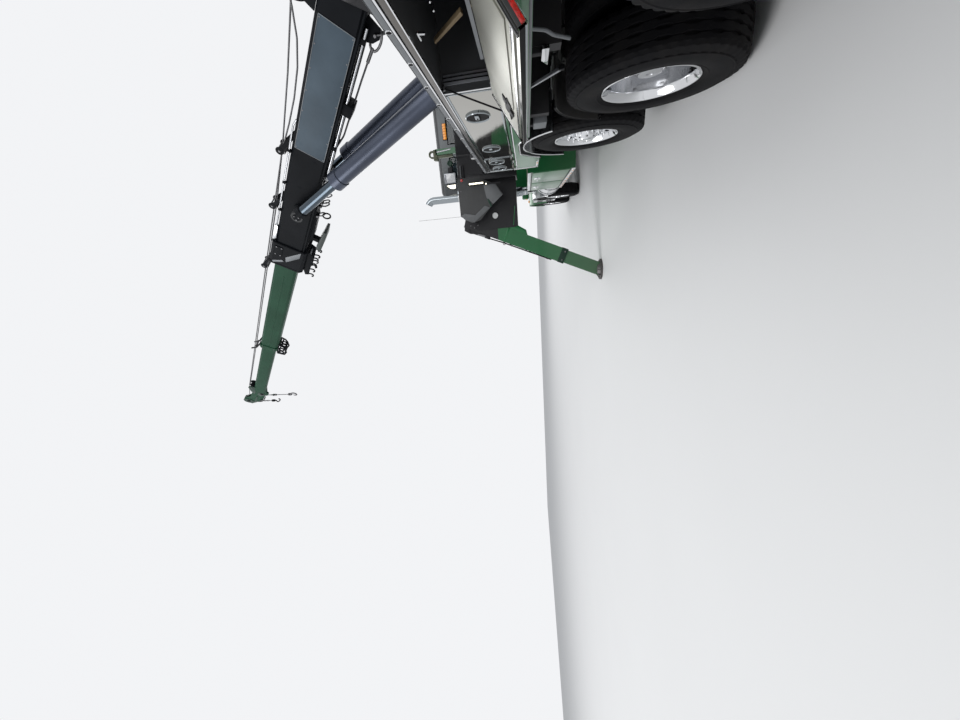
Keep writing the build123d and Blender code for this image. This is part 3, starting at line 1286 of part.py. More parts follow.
def make_boom():
    pad = 2 * RUN
    mid_in_w, mid_in_d = MID_WIDTH + pad, MID_DEPTH + pad
    base_in_w, base_in_d = BASE_WIDTH - 2 * BASE_WALL, BASE_DEPTH - 2 * BASE_WALL
    tip_in_w, tip_in_d = TIP_WIDTH + pad, TIP_DEPTH + pad
    mid_hollow_w, mid_hollow_d = MID_WIDTH - 2 * MID_WALL, MID_DEPTH - 2 * MID_WALL
    with BuildPart() as base:
        section_run(BASE_REAR, COLLAR_REAR + 5, BASE_WIDTH, BASE_DEPTH)
        section_run(COLLAR_REAR, BASE_FRONT, COLLAR_WIDTH, COLLAR_DEPTH)
        section_run(BASE_HOLLOW_REAR, BASE_FRONT - PAD_L, base_in_w, base_in_d, mode=Mode.SUBTRACT)
        section_run(BASE_FRONT - PAD_L - 5, BASE_FRONT + 5, mid_in_w, mid_in_d, mode=Mode.SUBTRACT)
        reach = CHEEK_INNER - RUN
        rod(boom_point(0, 0, -reach), boom_point(0, 0, reach), PIVOT_BOSS_R)
        rod(boom_point(0, 0, -reach - 5), boom_point(0, 0, reach + 5), PIVOT_R + RUN, mode=Mode.SUBTRACT)
        for side in (1, -1):
            wall = side * (BASE_WIDTH / 2 - 5)
            face = side * (BASE_WIDTH / 2 + ROD_BOSS)
            rod(
                boom_point(ROD_PIN_ALONG, -ROD_PIN_DROP, wall),
                boom_point(ROD_PIN_ALONG, -ROD_PIN_DROP, face),
                ROD_BOSS_R,
            )
    save(base, "boom_base")

    with BuildPart() as middle:
        section_run(MID_REAR, MID_FRONT, MID_WIDTH, MID_DEPTH)
        section_run(MID_REAR, MID_REAR + PAD_L, base_in_w - pad, base_in_d - pad)
        section_run(MID_REAR - 5, MID_FRONT - PAD_L, mid_hollow_w, mid_hollow_d, mode=Mode.SUBTRACT)
        section_run(MID_FRONT - PAD_L - 5, MID_FRONT + 5, tip_in_w, tip_in_d, mode=Mode.SUBTRACT)
    save(middle, "boom_middle")

    with BuildPart() as tip:
        section_run(TIP_REAR, TIP_FRONT, TIP_WIDTH, TIP_DEPTH)
        section_run(TIP_REAR, TIP_REAR + PAD_L, mid_hollow_w - pad, mid_hollow_d - pad)
        tip_hollow_w, tip_hollow_d = TIP_WIDTH - 2 * TIP_WALL, TIP_DEPTH - 2 * TIP_WALL
        section_run(TIP_REAR - 5, TIP_FRONT - 100, tip_hollow_w, tip_hollow_d, mode=Mode.SUBTRACT)
        half = SHEAVE_W / 2 + RUN
        for left in (half, -half - HEAD_T):
            prism(boom_side(left), HEAD_OUTLINE, -HEAD_T)
        for along, above, radius in HEAD_SHEAVES:
            rod(boom_point(along, above, -SHEAVE_W / 2), boom_point(along, above, SHEAVE_W / 2), radius)
            rod(boom_point(along, above, -half - HEAD_T), boom_point(along, above, half + HEAD_T), 35)
        eye = hook_hinge()
        rod(eye + UP * 25, eye + UP * HOOK_STUB, HOOK_ROPE_R)
        rod(eye + LEFT * 12, eye - LEFT * 12, 34)
        rod(eye + LEFT * 13, eye - LEFT * 13, SHACKLE_R + RUN, mode=Mode.SUBTRACT)
        bridge = eye + UP * HOOK_STUB
        rod(bridge, bridge - LEVEL * (HOOK_ROPE_R + 10), HOOK_ROPE_R)
    save(tip, "boom_tip")

    with BuildPart() as winches:
        top = BASE_DEPTH / 2
        for along, above in WINCH_PLACES:
            rod(boom_point(along, above, -WINCH_HALF_W), boom_point(along, above, WINCH_HALF_W), WINCH_R)
            for left in (-WINCH_HALF_W, WINCH_HALF_W - 15):
                rod(boom_point(along, above, left), boom_point(along, above, left + 15), WINCH_FLANGE_R)
            for left in (-WINCH_HALF_W - 20, WINCH_HALF_W - 5):
                prism(
                    boom_side(left),
                    [
                        (along - 180, top), (along + 180, top),
                        (along + 90, above + 90), (along - 90, above + 90),
                    ],
                    -25,
                )
    save(winches, "winches")

    with BuildPart() as hook:
        eye = hook_hinge()
        rod(eye - LEFT * 30, eye + LEFT * 30, SHACKLE_R)
        for left in (-30, 14):
            cheek = eye + LEFT * left
            rod(cheek, cheek + LEFT * 16, 30)
            prism(
                Plane(origin=cheek, x_dir=LEVEL, z_dir=LEFT),
                [(-28, 0), (28, 0), (28, 110), (-28, 110)],
                16,
            )
        rod(eye - UP * 60, eye - UP * 110, 34)
        low = eye - UP * (HOOK_DROP - HOOK_STUB)
        rod(eye - UP * 100, low, HOOK_ROPE_R)
        rod(low - UP * 20, low + UP * 120, 45)
        with BuildSketch(Plane(origin=low - UP * 120, x_dir=LEVEL, z_dir=LEFT * -1)) as bow:
            Circle(110)
            Circle(60, mode=Mode.SUBTRACT)
            with Locations((75, 45)):
                Rectangle(90, 50, mode=Mode.SUBTRACT)
        extrude(bow.sketch, amount=25, both=True)
    save(hook, "hoist_hook")


def hook_hinge():
    """The pin that the hook's shackle swings on, straight below the sheave's front."""
    out = SHEAVE_R + HOOK_ROPE_R + RUN
    return boom_point(SHEAVE_ALONG, -SHEAVE_DROP) + LEVEL * out - UP * HOOK_STUB


def main():
    os.makedirs("parts", exist_ok=True)
    make_frame()
    make_axles()
    make_knuckles()
    make_wheels()
    make_front_end()
    make_cab()
    make_sides()
    make_body()
    make_deck()
    make_outriggers()
    make_tail()
    make_turret()
    make_cylinders()
    make_boom()


if __name__ == "__main__":
    main()
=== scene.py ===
"""The looks of a heavy recovery truck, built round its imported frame.

Every piece is made in one of a few places: the truck (X forward, Y left of its centreline, Z up), the
turret, the boom (X along it, Y to its left, Z above it), an outrigger's leg or a wheel. A place is a matrix
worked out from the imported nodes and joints, so nothing is fitted by eye. All sizes are in metres.
"""

from __future__ import annotations

import json
import logging
import math
from dataclasses import dataclass
from enum import Enum
from typing import Callable, Iterable, Sequence

import bmesh
import bpy
from mathutils import Matrix, Vector

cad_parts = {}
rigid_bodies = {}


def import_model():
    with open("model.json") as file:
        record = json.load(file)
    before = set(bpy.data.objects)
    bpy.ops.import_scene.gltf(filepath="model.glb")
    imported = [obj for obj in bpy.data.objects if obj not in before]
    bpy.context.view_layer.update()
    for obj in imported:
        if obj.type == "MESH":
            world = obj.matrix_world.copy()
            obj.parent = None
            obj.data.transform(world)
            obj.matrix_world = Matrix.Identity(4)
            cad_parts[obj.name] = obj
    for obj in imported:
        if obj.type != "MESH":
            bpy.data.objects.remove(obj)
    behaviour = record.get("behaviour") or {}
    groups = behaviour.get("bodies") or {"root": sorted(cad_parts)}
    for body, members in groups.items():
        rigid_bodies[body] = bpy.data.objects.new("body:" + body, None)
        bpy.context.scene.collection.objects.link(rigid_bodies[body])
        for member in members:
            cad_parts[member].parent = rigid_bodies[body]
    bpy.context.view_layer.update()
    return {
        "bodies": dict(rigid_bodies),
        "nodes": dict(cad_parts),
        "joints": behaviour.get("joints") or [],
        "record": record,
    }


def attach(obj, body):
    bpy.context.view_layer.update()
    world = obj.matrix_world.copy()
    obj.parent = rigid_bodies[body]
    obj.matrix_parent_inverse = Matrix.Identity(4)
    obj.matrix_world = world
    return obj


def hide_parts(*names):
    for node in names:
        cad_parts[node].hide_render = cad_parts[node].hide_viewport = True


LOG = logging.getLogger("recovery_truck")
CENTRE_Y = -2.1195
BODY_HINGE = (1.294, 1.486)
TRUCK_GREEN = (0.009, 0.12, 0.036)
PAINT_BLACK = (0.010, 0.010, 0.012)
Point = Sequence[float]


class Side(Enum):
    """The truck's two sides, as a factor on Y."""

    LEFT = 1
    RIGHT = -1

    @property
    def word(self) -> str:
        """The side's name, as the nodes spell it."""
        return self.name.lower()


class Socket:
    """A shader socket whose arithmetic adds Math nodes."""

    def __init__(self, recipe: Recipe, socket: bpy.types.NodeSocket) -> None:
        """Wrap one output socket of a recipe."""
        self.recipe = recipe
        self.socket = socket

    def _math(self, operation: str, first: object, second: object) -> Socket:
        """Add one Math node."""
        return self.recipe.node("ShaderNodeMath", {"operation": operation}, {0: first, 1: second})

    def __add__(self, other: object) -> Socket:
        """Return the sum."""
        return self._math("ADD", self, other)

    __radd__ = __add__

    def __sub__(self, other: object) -> Socket:
        """Return the difference."""
        return self._math("SUBTRACT", self, other)

    def __rsub__(self, other: object) -> Socket:
        """Return the difference from a value."""
        return self._math("SUBTRACT", other, self)

    def __mul__(self, other: object) -> Socket:
        """Return the product."""
        return self._math("MULTIPLY", self, other)

    __rmul__ = __mul__

    def __gt__(self, other: object) -> Socket:
        """Return 1 where this is the greater."""
        return self._math("GREATER_THAN", self, other)

    def __lt__(self, other: object) -> Socket:
        """Return 1 where this is the lesser."""
        return self._math("LESS_THAN", self, other)

    def __abs__(self) -> Socket:
        """Return the size without the sign."""
        return self._math("ABSOLUTE", self, 0.0)


class Recipe:
    """One material and the nodes that make it."""

    def __init__(self, name: str) -> None:
        """Start a material with a bare surface shader.

        Args:
            name: The material's name.
        """
        self.material = bpy.data.materials.new(name)
        self.material.use_nodes = True
        self.tree = self.material.node_tree
        self.shader = next(n for n in self.tree.nodes if n.type == "BSDF_PRINCIPLED")

    def node(
        self,
        kind: str,
        settings: dict[str, object] | None = None,
        inputs: dict[object, object] | None = None,
        output: int | str = 0,
    ) -> Socket:
        """Add a node, set it up, then fill its sockets.

        Args:
            kind: The node's type.
            settings: Its properties; "stops" gives a ramp's places and colours.
            inputs: Values or sockets, by input name or number.
            output: The output to hand back.

        Returns:
            The chosen output.
        """
        made = self.tree.nodes.new(kind)
        for key, value in (settings or {}).items():
            if key == "stops":
                self._ramp(made.color_ramp, value)
            else:
                setattr(made, key, value)
        for key, value in (inputs or {}).items():
            self.fill(made.inputs[key], value)
        return Socket(self, made.outputs[output])

    def fill(self, target: bpy.types.NodeSocket, value: object) -> None:
        """Give an input a value or a link.

        Args:
            target: The input.
            value: A number, a colour, a vector or a Socket.
        """
        if isinstance(value, Socket):
            self.tree.links.new(value.socket, target)
        elif isinstance(value, (tuple, list)) and target.type == "RGBA":
            target.default_value = (*value[:3], 1.0)
        else:
            target.default_value = value

    @staticmethod
    def _ramp(ramp: bpy.types.ColorRamp, stops: Sequence[tuple[float, Sequence[float] | float]]) -> None:
        """Set a ramp's stops.

        Args:
            ramp: The ramp.
            stops: Places from 0 to 1, each with a grey value or a colour.
        """
        while len(ramp.elements) < len(stops):
            ramp.elements.new(1.0)
        for element, (place, shade) in zip(ramp.elements, stops):
            rgb = (shade,) * 3 if isinstance(shade, float) else tuple(shade)
            element.position = place
            element.color = (*rgb, 1.0)

    def surface(self, **inputs: object) -> bpy.types.Material:
        """Fill the surface shader's inputs.

        Args:
            inputs: Values or sockets, by input name with _ for each space.

        Returns:
            The finished material.
        """
        for key, value in inputs.items():
            self.fill(self.shader.inputs[key.replace("_", " ")], value)
        return self.material

    def place(self, scale: float = 1.0, stretch: Point = (1.0, 1.0, 1.0)) -> Socket:
        """Return the object's own coordinates, scaled.

        Args:
            scale: One factor for all the axes.
            stretch: A further factor for each axis.

        Returns:
            The coordinates.
        """
        spot = self.node("ShaderNodeTexCoord", output="Object")
        factors = tuple(scale * s for s in stretch)
        return self.node("ShaderNodeMapping", {}, {"Vector": spot, "Scale": factors})

    def noise(self, scale: float, detail: float = 3.0, stretch: Point = (1.0, 1.0, 1.0)) -> Socket:
        """Return soft noise from 0 to 1.

        Args:
            scale: Blotches per metre.
            detail: Octaves.
            stretch: A further factor for each axis.

        Returns:
            The noise.
        """
        return self.node(
            "ShaderNodeTexNoise", {}, {"Vector": self.place(1.0, stretch), "Scale": scale, "Detail": detail}
        )

    def ramp(self, value: Socket, low: float, high: float) -> Socket:
        """Return a value stretched so that low becomes 0 and high becomes 1."""
        settings = {"clamp": True}
        return self.node("ShaderNodeMapRange", settings, {"Value": value, "From Min": low, "From Max": high})

    def mix(self, share: Socket, first: object, second: object) -> Socket:
        """Return a mix of two colours."""
        return self.node("ShaderNodeMix", {"data_type": "RGBA"}, {0: share, 6: first, 7: second}, 2)

    def low_dirt(self, top: float) -> Socket:
        """Return a mask that is 1 near the ground and fades out upward, broken up by noise.

        Args:
            top: The height at which it ends.

        Returns:
            The mask.
        """
        spot = self.node("ShaderNodeTexCoord", output="Object")
        height = self.node("ShaderNodeSeparateXYZ", {}, {0: spot}, 2)
        return self.ramp(height + self.noise(3.0, 5.0) * (0.5 * top), top * 1.25, 0.1)


@dataclass(frozen=True)
class Paint:
    """Sprayed paint: a colour with soft mottling, fine grain and road dust low down."""

    name: str
    colour: tuple[float, float, float]
    roughness: float = 0.3
    metallic: float = 0.0
    coat: float = 0.5
    grain: float = 0.15
    dust: float = 0.35
    dust_top: float = 1.3
    specular: float = 0.35

    def make(self) -> bpy.types.Material:
        """Return the material."""
        r = Recipe(self.name)
        mottle = r.noise(1.7, 4.0)
        fine = r.noise(260.0, 2.0)
        pale = tuple(min(1.0, c * 1.18 + 0.004) for c in self.colour)
        dark = tuple(c * 0.82 for c in self.colour)
        base = r.mix(r.ramp(mottle, 0.3, 0.7), dark, pale)
        dirt = r.low_dirt(self.dust_top) * self.dust
        worn = r.ramp(r.noise(9.0, 8.0), 0.62, 0.74) * 0.12
        base = r.mix(dirt, base, (0.16, 0.14, 0.12))
        rough = dirt * 0.45 + fine * 0.06 + worn + (self.roughness - 0.03)
        bump = r.node("ShaderNodeBump", {}, {"Strength": self.grain, "Distance": 0.0006, "Height": fine})
        return r.surface(
            Base_Color=base, Roughness=rough, Metallic=self.metallic, Coat_Weight=self.coat,
            Coat_Roughness=0.08, Specular_IOR_Level=self.specular, Normal=bump)


@dataclass(frozen=True)
class Polish:
    """Bright metal: polished or plated, with faint haze, fine lines and water marks."""

    name: str
    colour: tuple[float, float, float]
    roughness: float = 0.12
    brushed: float = 0.1
    lines: tuple[float, float, float] = (1.0, 1.0, 30.0)
    dust: float = 0.25
    dust_top: float = 0.9

    def make(self) -> bpy.types.Material:
        """Return the material."""
        r = Recipe(self.name)
        haze = r.noise(4.0, 6.0)
        marks = r.ramp(r.noise(38.0, 4.0), 0.55, 0.8)
        stroke = r.noise(60.0, 2.0, self.lines)
        dirt = r.low_dirt(self.dust_top) * self.dust
        pale = tuple(min(1.0, c * 1.05) for c in self.colour)
        base = r.mix(haze, tuple(c * 0.9 for c in self.colour), pale)
        base = r.mix(dirt, base, (0.2, 0.18, 0.16))
        rough = haze * 0.08 + marks * 0.05 + stroke * self.brushed + dirt * 0.4 + (self.roughness - 0.04)
        bump = r.node("ShaderNodeBump", {}, {"Strength": self.brushed, "Distance": 0.0004, "Height": stroke})
        return r.surface(Base_Color=base, Roughness=rough, Metallic=1.0, Normal=bump)


@dataclass(frozen=True)
class Zone:
    """A box on a node that takes another colour and sheen; Y is the distance from the centreline."""

    low: tuple[float, float, float]
    high: tuple[float, float, float]
    colour: tuple[float, float, float]
    roughness: float
    metallic: float = 0.0
    coat: float = 0.0


@dataclass(frozen=True)
class Zoned:
    """A node's finish in two or more tones, parted at flat planes."""

    name: str
    colour: tuple[float, float, float]
    zones: tuple[Zone, ...]
    roughness: float = 0.28
    metallic: float = 0.0
    coat: float = 0.35
    dust: float = 0.3
    dust_top: float = 1.3
    specular: float = 0.35

    def make(self) -> bpy.types.Material:
        """Return the material."""
        r = Recipe(self.name)
        spot = r.node("ShaderNodeTexCoord", output="Object")
        x, y, z = (r.node("ShaderNodeSeparateXYZ", {}, {0: spot}, i) for i in range(3))
        out = abs(y - CENTRE_Y)
        base, rough, metal, coat = self.colour, self.roughness, self.metallic, self.coat
        for zone in self.zones:
            inside = (x > zone.low[0]) * (x < zone.high[0]) * (out > zone.low[1]) * (out < zone.high[1])
            inside = inside * (z > zone.low[2]) * (z < zone.high[2])
            outside = 1.0 - inside
            base = r.mix(inside, base, zone.colour)
            rough = outside * rough + inside * zone.roughness
            metal = outside * metal + inside * zone.metallic
            coat = outside * coat + inside * zone.coat
        mottle = r.ramp(r.noise(1.9, 5.0), 0.3, 0.7)
        shade = r.node("ShaderNodeMix", {"data_type": "RGBA", "blend_type": "MULTIPLY"},
                       {0: mottle * 0.3, 6: base, 7: (0.72, 0.73, 0.75)}, 2)
        dirt = r.low_dirt(self.dust_top) * self.dust
        fine = r.noise(240.0, 2.0)
        bump = r.node("ShaderNodeBump", {}, {"Strength": 0.12, "Distance": 0.0005, "Height": fine})
        return r.surface(
            Base_Color=r.mix(dirt, shade, (0.17, 0.15, 0.13)), Roughness=rough + dirt * 0.4 + mottle * 0.05,
            Metallic=metal, Coat_Weight=coat, Specular_IOR_Level=self.specular, Normal=bump,
        )


@dataclass(frozen=True)
class Rubber:
    """Black rubber with dried mud in its hollows and a greyed skin."""

    name: str
    colour: tuple[float, float, float] = (0.006, 0.006, 0.007)
    mud: float = 0.05
    roughness: float = 0.72

    def make(self) -> bpy.types.Material:
        """Return the material."""
        r = Recipe(self.name)
        fine = r.noise(150.0, 6.0)
        patch = r.ramp(r.noise(5.0, 8.0), 0.48, 0.72) * self.mud
        base = r.mix(patch, self.colour, (0.13, 0.11, 0.09))
        rough = fine * 0.12 + (self.roughness - 0.06)
        bump = r.node("ShaderNodeBump", {}, {"Strength": 0.35, "Distance": 0.001, "Height": fine})
        return r.surface(Base_Color=base, Roughness=rough, Specular_IOR_Level=0.10, Normal=bump)


@dataclass(frozen=True)
class Plastic:
    """Moulded plastic or coated cloth with a leathery grain."""

    name: str
    colour: tuple[float, float, float]
    roughness: float = 0.55
    grain_scale: float = 420.0
    grain: float = 0.3

    def make(self) -> bpy.types.Material:
        """Return the material."""
        r = Recipe(self.name)
        grain = r.node(
            "ShaderNodeTexVoronoi", {"feature": "DISTANCE_TO_EDGE"},
            {"Vector": r.place(), "Scale": self.grain_scale})
        base = r.mix(r.noise(6.0), tuple(c * 0.85 for c in self.colour), tuple(c * 1.15 for c in self.colour))
        bump = r.node("ShaderNodeBump", {}, {"Strength": self.grain, "Distance": 0.0006, "Height": grain})
        return r.surface(
            Base_Color=base, Roughness=r.noise(30.0) * 0.1 + (self.roughness - 0.05), Normal=bump)


@dataclass(frozen=True)
class Lens:
    """A lamp's or reflector's moulded lens, in prisms, glowing a little."""

    name: str
    colour: tuple[float, float, float]
    glow: float = 0.3
    prism: float = 90.0

    def make(self) -> bpy.types.Material:
        """Return the material."""
        r = Recipe(self.name)
        cells = r.node("ShaderNodeTexVoronoi", {"feature": "F1"}, {"Vector": r.place(), "Scale": self.prism})
        base = r.mix(r.ramp(cells, 0.1, 0.6), self.colour, tuple(c * 0.6 for c in self.colour))
        bump = r.node("ShaderNodeBump", {}, {"Strength": 0.4, "Distance": 0.001, "Height": cells})
        return r.surface(
            Base_Color=base, Roughness=0.14, Coat_Weight=0.6, Emission_Color=base,
            Emission_Strength=self.glow, Normal=bump)


@dataclass(frozen=True)
class WindowGlass:
    """Tinted safety glass."""

    name: str
    colour: tuple[float, float, float] = (0.03, 0.045, 0.05)

    def make(self) -> bpy.types.Material:
        """Return the material."""
        r = Recipe(self.name)
        smear = r.ramp(r.noise(7.0, 6.0), 0.5, 0.8)
        return r.surface(
            Base_Color=self.colour, Roughness=smear * 0.06 + 0.03, IOR=1.5, Coat_Weight=0.5,
            Alpha=0.55 + smear * 0.05)


@dataclass(frozen=True)
class Strand:
    """Laid wire rope: slanting strands across a round line."""

    name: str
    colour: tuple[float, float, float] = (0.12, 0.12, 0.125)

    def make(self) -> bpy.types.Material:
        """Return the material."""
        r = Recipe(self.name)
        lay = r.node(
            "ShaderNodeTexWave",
            {"bands_direction": "DIAGONAL"},
            {"Vector": r.place(), "Scale": 22.0, "Distortion": 0.3},
            "Fac",
        )
        # the colour runs from half to 1.6 times along the strands' wave: painted shade in the grooves between
        # strands and painted highlight on their crowns
        base = r.mix(lay, tuple(c * 0.5 for c in self.colour), tuple(c * 1.6 for c in self.colour))
        bump = r.node("ShaderNodeBump", {}, {"Strength": 0.7, "Distance": 0.002, "Height": lay})
        return r.surface(Base_Color=base, Roughness=0.42, Metallic=0.85, Normal=bump)


class Finish(Enum):
    """Every finish on the truck."""

    GREEN = Paint("green_paint", TRUCK_GREEN, 0.3, 0.2, 0.35)
    # the truck's green made darker for the boom: painted shade
    BOOM_GREEN = Paint("boom_green_paint", (0.007, 0.050, 0.024), 0.46, 0.0, 0.0, dust=0.0, specular=0.12)
    BLACK = Paint("black_paint", PAINT_BLACK, 0.42, 0.0, 0.1, dust=0.2, specular=0.25)
    BOOM_BLACK = Paint("boom_black_paint", (0.004, 0.005, 0.007), 0.55, 0.0, 0.0, dust=0.0, specular=0.08)
    SATIN_BLACK = Paint("satin_black_paint", (0.014, 0.014, 0.016), 0.6, 0.0, 0.0, dust=0.35, specular=0.25)
    SILVER = Paint("silver_paint", (0.30, 0.31, 0.335), 0.34, 0.6, 0.2, dust=0.1)
    PALE_PLATE = Paint("pale_plate_paint", (0.065, 0.092, 0.118), 0.5, 0.0, 0.0, dust=0.0, specular=0.2)
    GREY_COVER = Paint("grey_cover_paint", (0.11, 0.115, 0.12), 0.5, 0.2, 0.1, dust=0.2)
    MIRROR = Polish("mirror_stainless", (0.34, 0.33, 0.295), 0.05, 0.01)
    INNER_SKIN = Polish("worn_stainless", (0.30, 0.30, 0.26), 0.3, 0.15)
    # stainless whose dark warm colour is a painted reflection of the ground
    RAIL_BAND = Polish("rail_stainless", (0.14, 0.13, 0.12), 0.2, 0.05)
    STACK = Polish("stack_chrome", (0.33, 0.36, 0.38), 0.1, 0.02)
    REST_STEEL = Paint("rest_steel", (0.12, 0.13, 0.09), 0.4, 0.4, 0.1, dust=0.2)
    COVER = Paint("cover_paint", (0.045, 0.046, 0.047), 0.5, 0.0, 0.0, dust=0.1)
    STRIP = Paint("bare_strip_paint", (0.16, 0.17, 0.18), 0.45, 0.3, 0.0, dust=0.0)
    WING = Paint("wing_paint", (0.035, 0.045, 0.042), 0.5, 0.0, 0.0, dust=0.0)
    HEAD_PAINT = Paint("boom_head_paint", (0.006, 0.032, 0.018), 0.42, 0.0, 0.1, dust=0.0, specular=0.25)
    ROD = Zoned(
        "rod_plating", (0.08, 0.10, 0.12), (Zone((-9, 0, 5.17), (9, 9, 9), (0.012, 0.013, 0.015), 0.5),),
        0.16, 1.0, 0.0, dust=0.0)
    BARREL = Paint("barrel_paint", (0.050, 0.060, 0.088), 0.34, 0.5, 0.1, dust=0.05)
    STAINLESS = Polish("polished_stainless", (0.62, 0.63, 0.64), 0.08, 0.05)
    CHROME = Polish("chrome_plate", (0.75, 0.76, 0.78), 0.06, 0.01)
    ALUMINIUM = Polish("polished_aluminium", (0.50, 0.51, 0.53), 0.16, 0.08)
    TREADPLATE = Polish("deck_plate", (0.40, 0.41, 0.42), 0.38, 0.2)
    RAW_STEEL = Polish("oiled_steel", (0.16, 0.16, 0.165), 0.38, 0.3)
    TYRE = Rubber("tyre_rubber")
    SEAL = Rubber("seal_rubber", mud=0.05, roughness=0.6)
    TRIM = Plastic("dark_trim", (0.03, 0.03, 0.032))
    SEAT = Plastic("seat_cloth", (0.07, 0.07, 0.075), 0.8, 700.0, 0.5)
    AMBER = Lens("amber_lens", (0.9, 0.32, 0.02), 0.5)
    RED = Lens("red_lens", (0.55, 0.012, 0.01), 0.15)
    CLEAR = Lens("clear_lens", (0.75, 0.76, 0.78), 0.2)
    WORK_LIGHT = Lens("lit_lens", (1.0, 0.93, 0.72), 4.0, 200.0)
    GLASS = WindowGlass("tinted_glass")
    ROPE = Strand("wire_rope")
    BOARD = Plastic("tan_board", (0.20, 0.145, 0.08), 0.7, 60.0, 0.4)
    WHITE = Plastic("white_marker", (0.75, 0.76, 0.76), 0.35, 300.0, 0.1)
    BODY_SHELL = Zoned(
        "body_shell", (0.62, 0.63, 0.64),
        (
            Zone((-9, 0, 0), (9, 9, 1.479), TRUCK_GREEN, 0.3, 0.2, 0.35),
            # the compartments' inside faces, near black: painted shade
            Zone((-6.858, 0.5605, 1.1805), (-1.0705, 1.2788, 1.8785), (0.05, 0.052, 0.055), 0.5),
        ), 0.1, 1.0, 0.0,
    )
    CAB_SHELL = Zoned(
        "cab_shell", TRUCK_GREEN,
        (
            Zone((-9, 0, 3.17), (9, 9, 9), (0.10, 0.108, 0.112), 0.34, 0.6, 0.1),
            Zone((3.5, 0, 2.6), (3.6, 9, 3.18), (0.10, 0.108, 0.112), 0.34, 0.6, 0.1),
            Zone((3.56, 0, 1.2), (5.15, 0.968, 3.456), (0.05, 0.05, 0.053), 0.6),
        ), 0.3, 0.2, 0.35,
    )
    BOX_PAIR = Zoned(
        "side_box_paint", TRUCK_GREEN,
        (
            Zone((4.7, 0.5, 0), (5.6, 1.4, 1.2), (0.66, 0.67, 0.68), 0.22, 1.0),
            Zone((-9, 0, 0), (9, 0.555, 9), (0.018, 0.018, 0.02), 0.5),
        ),
        0.3, 0.2, 0.35)
    DECK = Zoned(
        "deck_and_pedestal", (0.42, 0.43, 0.44),
        (Zone((-1.37, 0, 1.531), (-0.27, 0.56, 1.91), PAINT_BLACK, 0.34, 0.0, 0.5),
         Zone((-9, 0, 0), (9, 9, 1.499), (0.018, 0.018, 0.02), 0.55)),
        0.36, 1.0, 0.0,
    )
    HOUSING = Zoned(
        "outrigger_housing_paint", PAINT_BLACK,
        (Zone((0.6, 0.5, 2.501), (0.8, 0.7, 3.2), TRUCK_GREEN, 0.3, 0.2, 0.6),), 0.46, 0.0, 0.1,
        specular=0.25)
    LEG = Zoned(
        "outrigger_leg_paint", TRUCK_GREEN, (Zone((-9, 0, 1.90), (9, 9, 9), PAINT_BLACK, 0.4, 0.0, 0.1),))
    FENDERS = Zoned(
        "fender_stainless", (0.45, 0.46, 0.47),
        (Zone((-9, 0, 0), (-2.95, 9, 9), (0.015, 0.015, 0.016), 0.5),), 0.12, 1.0, 0.0)
    FOOT = Zoned(
        "outrigger_foot_paint", (0.02, 0.12, 0.045),
        (Zone((-9, 0, -1), (9, 9, 0.031), (0.05, 0.05, 0.052), 0.5, 0.3),), 0.4, 0.1, 0.3)


class Shop:
    """Makes each finish once and hands it out."""

    def __init__(self) -> None:
        """Start with no finish made."""
        self.made: dict[Finish, bpy.types.Material] = {}

    def get(self, finish: Finish) -> bpy.types.Material:
        """Return a finish's material, made on first use.

        Args:
            finish: The finish.

        Returns:
            Its material.
        """
        if finish not in self.made:
            self.made[finish] = finish.value.make()
        return self.made[finish]


SHOP = Shop()


def facing(spot: Point, out: float) -> Matrix:
    """Return a place whose Z points along +Y or -Y."""
    return frame_of(spot, (1, 0, 0), (0, out, 0))


def facing_x(spot: Point, out: float) -> Matrix:
    """Return a place whose Z points along +X or -X, by the sign of out."""
    return frame_of(spot, (0, 1, 0), (out, 0, 0))


def circle(
    middle: tuple[float, float], radius: float, start: float = 0.0, step: float = 22.5, count: int = 16,
) -> list[tuple[float, float]]:
    """Return points on a circle.

    Args:
        middle: The circle's middle.
        radius: The circle's radius.
        start: The first point, in degrees.
        step: The degrees from one point to the next.
        count: How many points.

    Returns:
        The points, a whole circle unless step and count are given.
    """
    turns = [math.radians(start + step * i) for i in range(count)]
    return [(middle[0] + radius * math.cos(a), middle[1] + radius * math.sin(a)) for a in turns]


def frame_of(origin: Point, x_axis: Point, z_axis: Point) -> Matrix:
    """Return a place from its origin, its X axis and its Z axis.

    Args:
        origin: The place's origin.
        x_axis: The direction of X.
        z_axis: The direction of Z, square to X.

    Returns:
        The place's matrix.
    """
    x, z = Vector(x_axis).normalized(), Vector(z_axis).normalized()
    y = z.cross(x)
    return Matrix.Translation(Vector(origin)) @ Matrix((x, y, z)).transposed().to_4x4()


